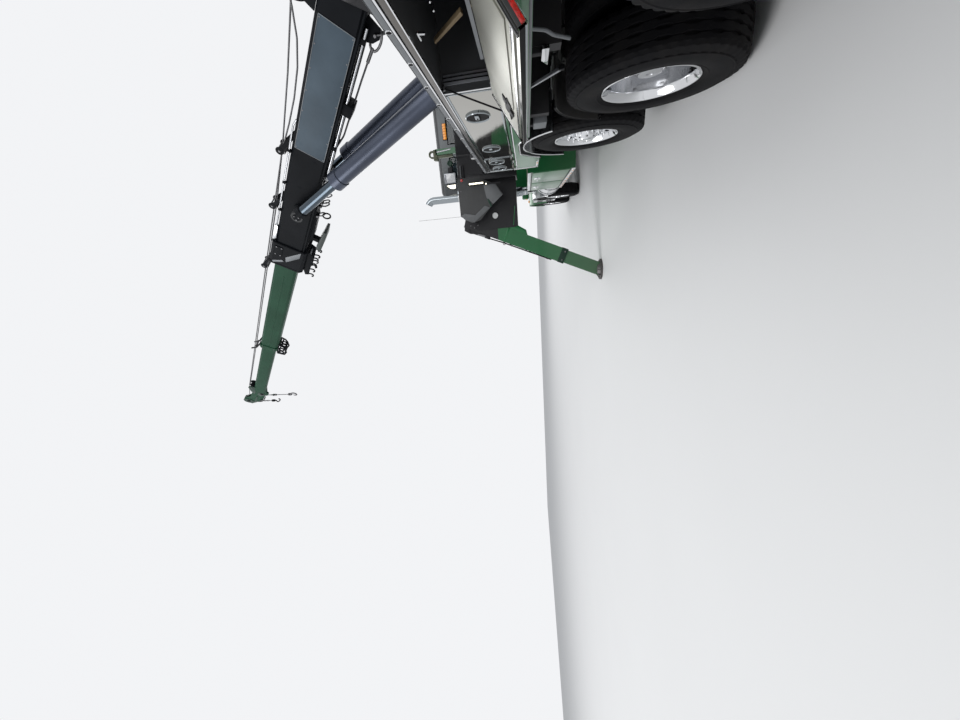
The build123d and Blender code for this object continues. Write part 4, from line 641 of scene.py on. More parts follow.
class Shape:
    """A mesh under construction in one place."""

    def __init__(self) -> None:
        """Start empty."""
        self.bm = bmesh.new()
        self.slots: list[Finish] = []

    def _mark(self, faces: Iterable[bmesh.types.BMFace], finish: Finish) -> None:
        """Give faces a finish.

        Args:
            faces: The faces.
            finish: Their finish.
        """
        if finish not in self.slots:
            self.slots.append(finish)
        index = self.slots.index(finish)
        for face in faces:
            face.material_index = index

    def add(
        self, build: Callable[[bmesh.types.BMesh], None], finish: Finish, place: Matrix | None = None,
    ) -> None:
        """Build a form apart, then join it to the shape.

        Args:
            build: Fills an empty mesh.
            finish: The form's finish.
            place: Where it goes within the shape.
        """
        part = bmesh.new()
        build(part)
        bmesh.ops.recalc_face_normals(part, faces=part.faces)
        if place is not None:
            part.transform(place)
            if place.determinant() < 0:
                bmesh.ops.reverse_faces(part, faces=part.faces[:])
        self._mark(part.faces, finish)
        mesh = bpy.data.meshes.new("part")
        part.to_mesh(mesh)
        part.free()
        self.bm.from_mesh(mesh)
        bpy.data.meshes.remove(mesh)

    def block(
        self, low: Point, high: Point, finish: Finish, bevel: float = 0.003, place: Matrix | None = None
    ) -> Shape:
        """Add a block with eased edges.

        Args:
            low: One corner.
            high: The opposite corner.
            finish: Its finish.
            bevel: How far the edges are eased.
            place: Where it goes within the shape.

        Returns:
            The shape.
        """
        lo = [min(a, b) for a, b in zip(low, high)]
        hi = [max(a, b) for a, b in zip(low, high)]
        eased = min(bevel, 0.45 * min(b - a for a, b in zip(lo, hi)))

        def build(bm: bmesh.types.BMesh) -> None:
            bmesh.ops.create_cube(bm, size=1.0)
            for vertex in bm.verts:
                vertex.co = Vector(lo[i] if vertex.co[i] < 0 else hi[i] for i in range(3))
            ease(bm, eased)

        self.add(build, finish, place)
        return self

    def plate(
        self,
        outline: Sequence[tuple[float, float]],
        thickness: float,
        finish: Finish,
        place: Matrix,
        bevel: float = 0.003,
    ) -> Shape:
        """Add a plate cut to an outline, standing up from its place's XY plane.

        Args:
            outline: The corners, in order.
            thickness: The plate's thickness.
            finish: Its finish.
            place: Where it goes within the shape.
            bevel: How far the edges are eased.

        Returns:
            The shape.
        """

        def build(bm: bmesh.types.BMesh) -> None:
            face = bm.faces.new([bm.verts.new((x, y, 0.0)) for x, y in outline])
            made = bmesh.ops.extrude_face_region(bm, geom=[face])
            raised = [v for v in made["geom"] if isinstance(v, bmesh.types.BMVert)]
            bmesh.ops.translate(bm, verts=raised, vec=(0, 0, thickness))
            ease(bm, min(bevel, 0.45 * thickness))

        self.add(build, finish, place)
        return self

    def web(
        self, outline: Sequence[tuple[float, float]], inner: float, outer: float, finish: Finish,
        bevel: float = 0.003,
    ) -> Shape:
        """Add a plate that stands in an XZ plane."""
        return self.plate(outline, abs(outer - inner), finish, facing((0, max(inner, outer), 0), -1), bevel)

    def wall(
        self, outline: Sequence[tuple[float, float]], rear: float, front: float, finish: Finish,
        bevel: float = 0.003,
    ) -> Shape:
        """Add a plate that stands in a YZ plane."""
        place = facing_x((min(rear, front), 0, 0), 1)
        return self.plate(outline, abs(front - rear), finish, place, bevel)

    def turned(
        self,
        profile: Sequence[tuple[float, float]],
        finish: Finish,
        place: Matrix | None = None,
        steps: int = 32,
        closed: bool = False,
    ) -> Shape:
        """Add a form turned about its place's Z axis.

        Args:
            profile: Radius and height of each point; a radius of 0 closes an end.
            finish: Its finish.
            place: Where it goes within the shape.
            steps: Facets round the axis.
            closed: Whether the profile joins up with its own start.

        Returns:
            The shape.
        """

        def build(bm: bmesh.types.BMesh) -> None:
            rows = []
            for radius, height in profile:
                if radius < 1e-6:
                    rows.append([bm.verts.new((0.0, 0.0, height))] * steps)
                    continue
                turns = (2 * math.pi * i / steps for i in range(steps))
                rows.append(
                    [bm.verts.new((radius * math.cos(a), radius * math.sin(a), height)) for a in turns])
            pairs = list(zip(rows, rows[1:])) + ([(rows[-1], rows[0])] if closed else [])
            for inner, outer in pairs:
                for i in range(steps):
                    j = (i + 1) % steps
                    ring = list(dict.fromkeys((inner[i], inner[j], outer[j], outer[i])))
                    if len(ring) > 2:
                        bm.faces.new(ring)

        self.add(build, finish, place)
        return self

    def rod(
        self, start: Point, end: Point, radius: float, finish: Finish, steps: int = 20, bevel: float = 0.003
    ) -> Shape:
        """Add a round bar between two points.

        Args:
            start: One end.
            end: The other end.
            radius: Its radius.
            finish: Its finish.
            steps: Facets round it.
            bevel: How far its rims are eased.

        Returns:
            The shape.
        """
        run = Vector(end) - Vector(start)
        length, eased = run.length, min(bevel, 0.4 * radius)
        profile = ((0.0, 0.0), (radius - eased, 0.0), (radius, eased), (radius, length - eased),
                   (radius - eased, length), (0.0, length))
        return self.turned(profile, finish, frame_of(start, run.orthogonal(), run), steps)

    def pipe(
        self, points: Sequence[Point], radius: float, finish: Finish, bend: float = 0.0, steps: int = 10,
        closed: bool = False,
    ) -> Shape:
        """Add a pipe along a path with rounded corners.

        Args:
            points: The path's corners.
            radius: The pipe's radius.
            finish: Its finish.
            bend: The corners' radius.
            steps: Facets round the pipe.
            closed: Whether the path joins up with its own start.

        Returns:
            The shape.
        """
        path = rounded_path([Vector(p) for p in points], bend, closed)

        def build(bm: bmesh.types.BMesh) -> None:
            rings = []
            last = len(path) - 1
            side = None
            for i, spot in enumerate(path):
                before = path[i - 1] if i > 0 or closed else spot
                after = path[(i + 1) % len(path)] if i < last or closed else spot
                ahead = (after - before).normalized()
                if side is None:
                    side = ahead.orthogonal().normalized()
                side = (side - ahead * side.dot(ahead)).normalized()
                up = ahead.cross(side)
                turns = (2 * math.pi * k / steps for k in range(steps))
                rings.append(
                    [bm.verts.new(spot + (side * math.cos(a) + up * math.sin(a)) * radius) for a in turns])
            pairs = list(zip(rings, rings[1:])) + ([(rings[-1], rings[0])] if closed else [])
            for first, second in pairs:
                for k in range(steps):
                    j = (k + 1) % steps
                    bm.faces.new((first[k], first[j], second[j], second[k]))
            if not closed:
                bm.faces.new(list(reversed(rings[0])))
                bm.faces.new(rings[-1])

        self.add(build, finish)
        return self

    def ring_of(self, count: int, radius: float, place: Matrix, stud: Callable[[Matrix], None]) -> Shape:
        """Repeat something round a circle in a place's XY plane.

        Args:
            count: How many.
            radius: The circle's radius.
            place: The circle's place.
            stud: Adds one, given its own place.

        Returns:
            The shape.
        """
        for i in range(count):
            turn = Matrix.Rotation(2 * math.pi * i / count, 4, "Z")
            stud(place @ turn @ Matrix.Translation((radius, 0, 0)))
        return self

    def bolt(self, place: Matrix, size: float, finish: Finish, height: float | None = None) -> Shape:
        """Add a six-sided bolt head that stands on its place's XY plane.

        Args:
            place: Where it stands.
            size: Its width across corners.
            finish: Its finish.
            height: Its height, two thirds of its radius if not given.

        Returns:
            The shape.
        """
        tall = height or size * 0.35
        r = size / 2
        return self.turned(
            (
                (r * 1.25, 0.0), (r * 1.25, tall * 0.18), (r, tall * 0.2), (r, tall * 0.85),
                (r * 0.85, tall), (0.0, tall),
            ),
            finish, place, 6)

    def done(
        self, name: str, body: str, place: Matrix, slot: str | None = None, angle: float = 32.0,
    ) -> bpy.types.Object:
        """Finish the mesh as a piece that rides on a body.

        Args:
            name: The piece's name.
            body: The body that it rides on.
            place: The place that the shape was made in.
            slot: Not used.
            angle: Edges sharper than this stay sharp, in degrees.

        Returns:
            The piece.
        """
        self.bm.transform(place)
        if place.determinant() < 0:
            bmesh.ops.reverse_faces(self.bm, faces=self.bm.faces[:])
        mesh = bpy.data.meshes.new(name)
        self.bm.to_mesh(mesh)
        self.bm.free()
        for finish in self.slots:
            mesh.materials.append(SHOP.get(finish))
        mesh.shade_smooth()
        mesh.set_sharp_from_angle(angle=math.radians(angle))
        return add_piece(name, mesh, body)


def add_piece(name: str, mesh: bpy.types.Mesh, body: str) -> bpy.types.Object:
    """Link a mesh as a piece that rides on a body.

    Args:
        name: The piece's name.
        mesh: Its mesh.
        body: The body that it rides on.

    Returns:
        The piece.
    """
    piece = bpy.data.objects.new(name, mesh)
    bpy.context.scene.collection.objects.link(piece)
    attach(piece, body)
    LOG.info("%s: %d faces", name, len(mesh.polygons))
    return piece


def ease(bm: bmesh.types.BMesh, width: float) -> None:
    """Ease every edge of a small mesh."""
    if width > 1e-5:
        bmesh.ops.bevel(bm, geom=bm.edges[:], offset=width, segments=2, profile=0.6, affect="EDGES")


def rounded_path(points: list[Vector], bend: float, closed: bool = False) -> list[Vector]:
    """Return a path with an arc at each corner.

    Args:
        points: The corners.
        bend: The arcs' radius.
        closed: Whether the path joins up with its own start.

    Returns:
        The points along it.
    """
    if bend <= 0:
        return points
    path = [] if closed else [points[0]]
    count = len(points)
    for i in range(0 if closed else 1, count if closed else count - 1):
        here = points[i]
        back, ahead = points[i - 1] - here, points[(i + 1) % count] - here
        turn = math.pi - back.angle(ahead)
        if turn < 0.02:
            path.append(here)
            continue
        cut = min(bend * math.tan(turn / 2), 0.49 * back.length, 0.49 * ahead.length)
        start, end = here + back.normalized() * cut, here + ahead.normalized() * cut
        arc = max(2, int(turn / 0.2))
        for k in range(arc + 1):
            t = k / arc
            path.append(start * (1 - t) ** 2 + here * (2 * t * (1 - t)) + end * t**2)
    if not closed:
        path.append(points[-1])
    return path


class Layout:
    """Where the truck's assemblies stand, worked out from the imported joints."""

    def __init__(self, joints: list[dict]) -> None:
        """Work out the places.

        Args:
            joints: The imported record's joints.
        """
        self.joints = {joint["name"]: joint for joint in joints}
        self.centre_y = (self.at("steer_1_left").y + self.at("steer_1_right").y) / 2
        self.truck = Matrix.Translation((0, self.centre_y, 0))
        along = Vector(self.joints["extend_middle"]["axis"]).normalized()
        level = Vector((along.x, along.y, 0)).normalized()
        left = Vector((0, 0, 1)).cross(level)
        slew = self.at("slew")
        self.turret = frame_of((slew.x, slew.y, 0), level, (0, 0, 1))
        self.boom = frame_of(self.at("luff"), along, along.cross(left))

    def at(self, joint: str) -> Vector:
        """Return a joint's place."""
        return Vector(self.joints[joint]["pos_m"])

    def side(self, side: Side) -> Matrix:
        """Return the truck's place with Y outward on one side."""
        return self.truck @ Matrix.Diagonal((1, side.value, 1, 1))

    def wheel(self, name: str, side: Side, middle: float) -> Matrix:
        """Return a wheel's place, Z outward along its axle."""
        hub = self.at(f"roll_{name}_{side.word}")
        return frame_of((hub.x, self.centre_y + side.value * middle, hub.z), (1, 0, 0), (0, side.value, 0))

    def leg(self, side: Side) -> Matrix:
        """Return an outrigger leg's place: X forward, Y out of its outer face, Z down along it.

        Args:
            side: Its side.

        Returns:
            The place, mirrored on the left.
        """
        down = -Vector(self.joints[f"outrigger_foot_{side.word}_slide"]["axis"]).normalized()
        outward = Vector((0, -side.value * down.z, side.value * down.y))
        turn = Matrix((Vector((1, 0, 0)), outward, down)).transposed().to_4x4()
        return Matrix.Translation(self.at(f"outrigger_leg_{side.word}_hinge")) @ turn

    def door(self, side: Side, open_angle: float) -> Matrix:
        """Return a body door's place, in which the door stands closed.

        Args:
            side: Its side.
            open_angle: How far it is let down at rest, in degrees.

        Returns:
            The place.
        """
        hinge = Vector((0, BODY_HINGE[0], BODY_HINGE[1]))
        turn = Matrix.Rotation(-math.radians(open_angle), 4, "X")
        return self.side(side) @ Matrix.Translation(hinge) @ turn @ Matrix.Translation(-hinge)


@dataclass
class Studio:
    """The pale floor, the soft lamps and the camera."""

    eye: tuple[float, float, float] = (-6.42, -0.0305, 1.361)
    heading: float = 18.922
    tilt: float = 8.349
    roll: float = -2.625
    lens: float = 13.499
    floor_size: float = 90.0
    pale: float = 0.86

    def camera(self) -> None:
        """Set up the camera, on its side as the photograph is stored."""
        head, tilt, roll = (math.radians(v) for v in (self.heading, self.tilt, self.roll))
        forward = Vector((math.cos(tilt) * math.cos(head), math.cos(tilt) * math.sin(head), math.sin(tilt)))
        right = Vector((math.sin(head), -math.cos(head), 0))
        up = right.cross(forward)
        rolled_right = right * math.cos(roll) + up * math.sin(roll)
        rolled_up = up * math.cos(roll) - right * math.sin(roll)
        lens = bpy.data.cameras.new("camera")
        lens.sensor_width, lens.lens, lens.clip_start, lens.clip_end = 36.0, self.lens, 0.05, 200.0
        camera = bpy.data.objects.new("camera", lens)
        turn = Matrix((-rolled_up, rolled_right, -forward)).transposed().to_4x4()
        camera.matrix_world = Matrix.Translation(self.eye) @ turn
        bpy.context.scene.collection.objects.link(camera)
        bpy.context.scene.camera = camera

    def floor(self) -> None:
        """Lay the floor, pale to the camera and in reflections."""
        half = self.floor_size / 2
        bm = bmesh.new()
        bm.faces.new(
            [
                bm.verts.new((x, y, -0.0005))
                for x, y in ((-half, -half), (half, -half), (half, half), (-half, half))
            ])
        mesh = bpy.data.meshes.new("studio_floor")
        bm.to_mesh(mesh)
        bm.free()
        r = Recipe("studio_floor")
        shade = r.mix(r.noise(0.6), (self.pale * 0.97,) * 3, (self.pale,) * 3)
        mesh.materials.append(r.surface(Base_Color=shade, Roughness=0.85))
        floor = bpy.data.objects.new("studio_floor", mesh)
        bpy.context.scene.collection.objects.link(floor)

    def world(self) -> None:
        """Light everything evenly, and show a near-white backdrop."""
        world = bpy.data.worlds.new("studio_world")
        world.use_nodes = True
        tree = world.node_tree
        tree.nodes.clear()
        rays = tree.nodes.new("ShaderNodeLightPath")
        seen = tree.nodes.new("ShaderNodeMath")
        seen.operation = "MAXIMUM"
        tree.links.new(rays.outputs["Is Camera Ray"], seen.inputs[0])
        clear = tree.nodes.new("ShaderNodeMath")
        clear.operation = "MAXIMUM"
        tree.links.new(rays.outputs["Is Glossy Ray"], clear.inputs[0])
        tree.links.new(rays.outputs["Is Transmission Ray"], clear.inputs[1])
        tree.links.new(clear.outputs[0], seen.inputs[1])
        plain, shown = tree.nodes.new("ShaderNodeBackground"), tree.nodes.new("ShaderNodeBackground")
        plain.inputs["Color"].default_value = (0.93, 0.96, 1.0, 1.0)
        plain.inputs["Strength"].default_value = 0.45
        shown.inputs["Color"].default_value = (0.94, 0.95, 0.97, 1.0)
        shown.inputs["Strength"].default_value = 0.95
        mix, out = tree.nodes.new("ShaderNodeMixShader"), tree.nodes.new("ShaderNodeOutputWorld")
        tree.links.new(seen.outputs[0], mix.inputs[0])
        tree.links.new(plain.outputs[0], mix.inputs[1])
        tree.links.new(shown.outputs[0], mix.inputs[2])
        tree.links.new(mix.outputs[0], out.inputs[0])
        bpy.context.scene.world = world

    def lamp(self, name: str, place: Point, aim: Point, size: float, power: float) -> None:
        """Hang one square soft lamp.

        Args:
            name: Its name.
            place: Where it hangs.
            aim: What it points at.
            size: Its width.
            power: Its power in watts.
        """
        light = bpy.data.lights.new(name, "AREA")
        light.size, light.energy = size, power
        lamp = bpy.data.objects.new(name, light)
        lamp.matrix_world = Matrix.Translation(place) @ (
            Vector(aim) - Vector(place)
        ).to_track_quat("-Z", "Y").to_matrix().to_4x4()
        bpy.context.scene.collection.objects.link(lamp)

    def build(self) -> None:
        """Set up the whole studio."""
        bpy.context.scene.view_settings.view_transform = "Standard"
        self.camera()
        self.floor()
        self.world()
        self.lamp("key_lamp", (-10, 16, 18), (0, 0, 2), 12.0, 2300.0)
        self.lamp("fill_lamp", (-16, -8, 12), (0, 0, 2), 14.0, 1300.0)
        self.lamp("front_lamp", (18, -4, 14), (0, 0, 3), 12.0, 1100.0)


@dataclass
class Wheel:
    """A road wheel: its tyre, or twin tyres, its rim, hub and nuts."""

    name: str
    twin: bool
    tyre_radius: float = 0.53
    half_width: float = 0.144
    bead: float = 0.2865
    middle: float = 1.135
    twin_gap: float = 0.34
    lugs: int = 48
    groove_depth: float = 0.014
    bolt_circle: float = 0.1675
    hand_holes: int = 10
    nuts: int = 10
    cap_bolts: int = 8

    def tyre(self, shape: Shape, at: float) -> None:
        """Add a tyre with ribs, grooves and shoulder lugs.

        Args:
            shape: The wheel's shape.
            at: The tyre's middle along the axle.
        """
        r, w, low = self.tyre_radius, self.half_width, self.tyre_radius - self.groove_depth
        # radius, distance from the middle, zigzag, lug
        half = [
            (r, 0.0, 0, 0), (r, 0.014, 1, 0), (low, 0.017, 1, 0), (low, 0.025, -1, 0),
            (r - 0.0005, 0.028, -1, 0), (r - 0.001, 0.060, 1, 0), (low - 0.001, 0.063, 1, 0),
            (low - 0.001, 0.071, -1, 0), (r - 0.002, 0.074, -1, 0), (r - 0.003, 0.096, 0, 0),
            (r - 0.004, 0.104, 0, 1), (r - 0.010, 0.118, 0, 1), (r - 0.032, 0.127, 0, 1),
            (r - 0.056, 0.134, 0, 1), (r - 0.060, 0.136, 0, 0), (r - 0.064, w - 0.004, 0, 0),
            (r - 0.067, w - 0.004, 0, 0), (r - 0.071, w - 0.006, 0, 0), (r - 0.110, w, 0, 0),
            (r - 0.140, w, 0, 0), (r - 0.180, w - 0.005, 0, 0), (r - 0.196, w - 0.010, 0, 0),
            (r - 0.200, w - 0.008, 0, 0), (r - 0.204, w - 0.012, 0, 0), (r - 0.222, w - 0.020, 0, 0),
            (self.bead + 0.008, w - 0.030, 0, 0), (self.bead, w - 0.045, 0, 0),
        ]
        rows = [(a, -b, -c, d) for a, b, c, d in reversed(half[1:])] + half

        def build(bm: bmesh.types.BMesh) -> None:
            steps = self.lugs * 3
            rings = []
            for radius, across, zigzag, lug in rows:
                ring = []
                for i in range(steps):
                    angle = 2 * math.pi * i / steps
                    out = radius - (0.011 if lug and i % 3 == 2 else 0.0)
                    swing = 0.004 * zigzag * (1 if i % 6 < 3 else -1)
                    ring.append(
                        bm.verts.new((out * math.cos(angle), out * math.sin(angle), at + across + swing)))
                rings.append(ring)
            for first, second in zip(rings, rings[1:]):
                for i in range(steps):
                    j = (i + 1) % steps
                    bm.faces.new((first[i], first[j], second[j], second[i]))

        shape.add(build, Finish.TYRE)

    def disc(
        self, shape: Shape, inner: tuple[float, float], outer: tuple[float, float], finish: Finish,
    ) -> None:
        """Add the wheel's disc with its hand holes.

        Args:
            shape: The wheel's shape.
            inner: The inner edge's radius and height.
            outer: The outer edge's radius and height.
            finish: The disc's finish.
        """
        thick, hole, per = 0.012, 0.024, 6
        hole_at = 0.222

        def point(radius: float, angle: float, drop: float) -> Vector:
            share = (radius - inner[0]) / (outer[0] - inner[0])
            z = inner[1] + (outer[1] - inner[1]) * share - drop
            return Vector((radius * math.cos(angle), radius * math.sin(angle), z))

        def build(bm: bmesh.types.BMesh) -> None:
            sweep = 2 * math.pi / self.hand_holes
            for s in range(self.hand_holes):
                start = sweep * (s - 0.5)
                middle = Vector((hole_at * math.cos(sweep * s), hole_at * math.sin(sweep * s)))
                border = []
                for k in range(4 * per):
                    edge, t = divmod(k, per)
                    t /= per
                    radius = (
                        outer[0], outer[0] + (inner[0] - outer[0]) * t, inner[0],
                        inner[0] + (outer[0] - inner[0]) * t,
                    )
                    angle = (start + sweep * t, start + sweep, start + sweep * (1 - t), start)
                    border.append((radius[edge], angle[edge]))
                loops: list[list[bmesh.types.BMVert]] = [[], [], [], []]
                for radius, angle in border:
                    ray = (Vector((radius * math.cos(angle), radius * math.sin(angle))) - middle).normalized()
                    rim = middle + ray * hole
                    rim_polar = (rim.length, math.atan2(rim.y, rim.x))
                    loops[0].append(bm.verts.new(point(radius, angle, 0.0)))
                    loops[1].append(bm.verts.new(point(*rim_polar, 0.0)))
                    loops[2].append(bm.verts.new(point(*rim_polar, thick)))
                    loops[3].append(bm.verts.new(point(radius, angle, thick)))
                for first, second in zip(loops, loops[1:]):
                    for k in range(len(first)):
                        j = (k + 1) % len(first)
                        bm.faces.new((first[k], first[j], second[j], second[k]))
            bmesh.ops.remove_doubles(bm, verts=bm.verts[:], dist=0.0002)

        shape.add(build, finish)

    def rim(self, shape: Shape, at: float, finish: Finish) -> None:
        """Add a rim with a rolled lip and a dropped well.

        Args:
            shape: The wheel's shape.
            at: The rim's middle along the axle.
            finish: Its finish.
        """
        profile = (
            (0.262, -0.119), (0.290, -0.119), (0.290, -0.112), (0.284, -0.100), (0.284, 0.100),
            (0.290, 0.112), (0.297, 0.116), (0.299, 0.121), (0.296, 0.125), (0.290, 0.125), (0.285, 0.120),
            (0.278, 0.108), (0.270, 0.092), (0.264, 0.082), (0.262, 0.070), (0.262, -0.060),
            (0.256, -0.075), (0.258, -0.110),
        )
        shape.turned([(radius, at + z) for radius, z in profile], finish, None, 72, closed=True)

    def hub(self, shape: Shape, face: float, end: float, finish: Finish) -> None:
        """Add the hub with its cap, and the nuts in their tall covers.

        Args:
            shape: The wheel's shape.
            face: The disc's height at the nuts.
            end: The cap's outer end.
            finish: The hub's finish.
        """
        shape.turned(
            (
                (0.14, face - 0.01), (0.14, face + 0.006), (0.125, face + 0.010), (0.116, face + 0.028),
                (0.114, end - 0.045), (0.108, end - 0.030), (0.080, end - 0.014), (0.076, end - 0.012),
                (0.072, end - 0.002), (0.060, end), (0.024, end), (0.022, end - 0.004), (0.0, end - 0.004),
            ),
            finish, None, 48)
        cover = (
            (0.023, 0.0), (0.023, 0.010), (0.018, 0.014), (0.017, 0.032), (0.012, 0.052), (0.005, 0.068),
            (0.0, 0.070),
        )
        shape.ring_of(
            self.nuts, self.bolt_circle, Matrix.Translation((0, 0, face + 0.001)),
            lambda spot: shape.turned(cover, Finish.CHROME, spot, 12),
        )
        shape.ring_of(
            self.cap_bolts, 0.092, Matrix.Translation((0, 0, end - 0.023)),
            lambda spot: shape.bolt(spot @ Matrix.Rotation(0.3, 4, "Y"), 0.017, Finish.RAW_STEEL),
        )

    def build(self, layout: Layout) -> None:
        """Make the wheel on both sides, in place of its plain solids.

        Args:
            layout: The truck's places.
        """
        for side in Side:
            shape = Shape()
            self.tyre(shape, 0.0)
            self.rim(shape, 0.0, Finish.CHROME)
            if self.twin:
                self.tyre(shape, -self.twin_gap)
                self.rim(shape, -self.twin_gap, Finish.ALUMINIUM)
                shape.turned(
                    ((0.284, -0.26), (0.286, -0.26), (0.286, -0.08), (0.284, -0.08)), Finish.ALUMINIUM,
                    None, 48, True)
                self.disc(shape, (0.12, -0.158), (0.265, -0.158), Finish.CHROME)
                self.hub(shape, -0.156, 0.058, Finish.ALUMINIUM)
                back = -0.29
            else:
                self.disc(shape, (0.12, 0.048), (0.265, 0.080), Finish.CHROME)
                self.hub(shape, 0.056, 0.149, Finish.CHROME)
                back = -0.085
            shape.turned(
                ((0.0505, back), (0.108, back), (0.108, back + 0.12), (0.0505, back + 0.12)),
                Finish.RAW_STEEL, None, 40, True)
            shape.turned(
                ((0.12, back), (0.205, back), (0.205, back + 0.075), (0.12, back + 0.09)), Finish.RAW_STEEL,
                None, 48, True)
            name = f"wheel_{self.name}_{side.word}"
            piece = shape.done(f"{name}_dressed", name, layout.wheel(self.name, side, self.middle), "tyre")
            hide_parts(name)


@dataclass
class Boom:
    """The boom's dressing: head, sheaves, ropes, guides, sign plates, lugs and pipes, and its winches."""

    base_half: tuple[float, float] = (0.22, 0.26)
    collar: tuple[float, float] = (4.30, 4.92)
    collar_half: tuple[float, float] = (0.25, 0.315)
    middle_half: tuple[float, float] = (0.185, 0.215)
    middle_end: float = 8.72
    sheave: tuple[float, float, float] = (12.4, -0.09, 0.19)
    nose_sheave: tuple[float, float, float] = (13.34, 0.28, 0.16)
    guide_sheave: tuple[float, float, float] = (11.93, 0.237, 0.11)
    rope_radius: float = 0.011
    rope_side: float = 0.07
    sign: tuple[float, float, float] = (0.43, 2.2, 0.215)
    winches: tuple[tuple[float, float], ...] = ((-0.23, 0.52), (0.28, 0.52))
    drum_radius: float = 0.15
    drum_half: float = 0.153
    # the cross pins through the head, along and up
    head_pins: tuple[tuple[float, float], ...] = (
        (13.44, 0.12), (13.22, 0.02), (12.92, 0.20), (12.80, -0.12), (12.2, -0.16),
    )
    # the shackles stowed below the base: along, across, drop and half the bow's width
    stowed: tuple[tuple[float, float, float, float], ...] = (
        (3.36, 0.08, 0.05, 0.05), (3.24, -0.06, 0.05, 0.055), (3.10, 0.02, 0.06, 0.05),
        (2.92, 0.06, 0.08, 0.045),
    )
    rack_hooks: tuple[float, ...] = (4.44, 4.62, 4.80, 4.96)
    wing: tuple[tuple[float, float], ...] = (
        (4.203, -0.488), (4.073, -0.430), (3.655, -0.489), (3.645, -0.534), (3.818, -0.55), (4.178, -0.525),
    )
    # each guide's foot and its round heads' middle
    guide_spots: tuple[tuple[tuple[float, float], tuple[float, float]], ...] = (
        ((2.10, 0.26), (2.47, 0.422)), ((3.30, 0.26), (3.60, 0.416)), ((4.84, 0.315), (5.28, 0.408)),
    )

    def section_trim(self, layout: Layout) -> None:
        """Add welded end bands, wear-pad covers, strips and bolts to the sections.

        Args:
            layout: The truck's places.
        """
        base = Shape()
        wide, deep = self.collar_half
        rear, front = self.collar
        for x in (rear + 0.012, front - 0.04):
            self.band(base, x, 0.028, wide + 0.006, deep + 0.006, 0.05, Finish.BOOM_BLACK)
        for y in (-1, 1):
            face = y * wide
            base.block((rear + 0.08, face, 0.10), (rear + 0.32, face + y * 0.012, 0.24), Finish.BOOM_BLACK)
            for dx, dz in ((0.10, 0.125), (0.30, 0.125), (0.10, 0.215), (0.30, 0.215)):
                base.bolt(facing((rear + dx, face + y * 0.012, dz), y), 0.026, Finish.RAW_STEEL)
            base.block((-0.44, y * 0.22, -0.255), (rear, y * 0.2265, -0.235), Finish.BOOM_BLACK, 0.002)
            # the slanted bare strip and the small plate above it
            strip = [(4.741, 0.009), (4.607, 0.032), (4.325, -0.218), (4.482, -0.214)]
            base.web(strip, face, face + y * 0.008, Finish.STRIP, 0.002)
            plate = [(4.872, 0.235), (4.824, 0.252), (4.719, 0.08), (4.756, 0.048)]
            base.web(plate, face, face + y * 0.008, Finish.STRIP, 0.002)
            # the bright hose tray along the top edge, with its clips
            base.block((3.92, y * 0.15, 0.258), (4.295, y * 0.205, 0.312), Finish.ALUMINIUM, 0.006)
            base.pipe(
                ((rear, y * 0.19, 0.284), (1.9, y * 0.19, 0.284), (1.8, y * 0.19, 0.255)), 0.013,
                Finish.ALUMINIUM, 0.05, 10)
            for x in (2.3, 2.9, 3.5):
                base.block((x, y * 0.165, 0.255), (x + 0.04, y * 0.212, 0.302), Finish.BOOM_BLACK)
        base.done("boom_base_bands", "boom_base", layout.boom, "black_paint")
        middle = Shape()
        wide, deep = self.middle_half
        self.band(middle, self.middle_end - 0.16, 0.15, wide + 0.014, deep + 0.014, 0.045, Finish.BOOM_GREEN)
        for y in (-1, 1):
            middle.block(
                (5.3, y * wide, -0.012), (self.middle_end - 0.2, y * (wide + 0.004), 0.012),
                Finish.BOOM_GREEN, 0.002)
            for dx in (0.03, 0.11):
                for z in (-0.14, 0.14):
                    middle.bolt(
                        facing((self.middle_end - 0.16 + dx, y * (wide + 0.014), z), y), 0.024,
                        Finish.RAW_STEEL)
        middle.done("boom_middle_bands", "boom_middle", layout.boom, "green_paint")

    def band(
        self, shape: Shape, start: float, width: float, half_w: float, half_d: float, cut: float,
        finish: Finish,
    ) -> None:
        """Add a band round a section.

        Args:
            shape: The shape it joins.
            start: Where it starts along the boom.
            width: Its width along the boom.
            half_w: Half its width across.
            half_d: Half its depth.
            cut: Its corners' cut.
            finish: Its finish.
        """
        outer = (
            (-half_w, -half_d + cut), (-half_w + cut, -half_d), (half_w - cut, -half_d),
            (half_w, -half_d + cut), (half_w, half_d - cut), (half_w - cut, half_d),
            (-half_w + cut, half_d), (-half_w, half_d - cut),
        )
        inner = [(y * (1 - 0.016 / abs(half_w)), z * (1 - 0.016 / abs(half_d))) for y, z in outer]

        def build(bm: bmesh.types.BMesh) -> None:
            loops = [
                [bm.verts.new((x, y, z)) for y, z in ring]
                for x, ring in (
                    (start, inner), (start, outer), (start + width, outer), (start + width, inner))
            ]
            for first, second in zip(loops, loops[1:] + loops[:1]):
                for i in range(8):
                    j = (i + 1) % 8
                    bm.faces.new((first[i], first[j], second[j], second[i]))
            ease(bm, 0.002)

        shape.add(build, finish)

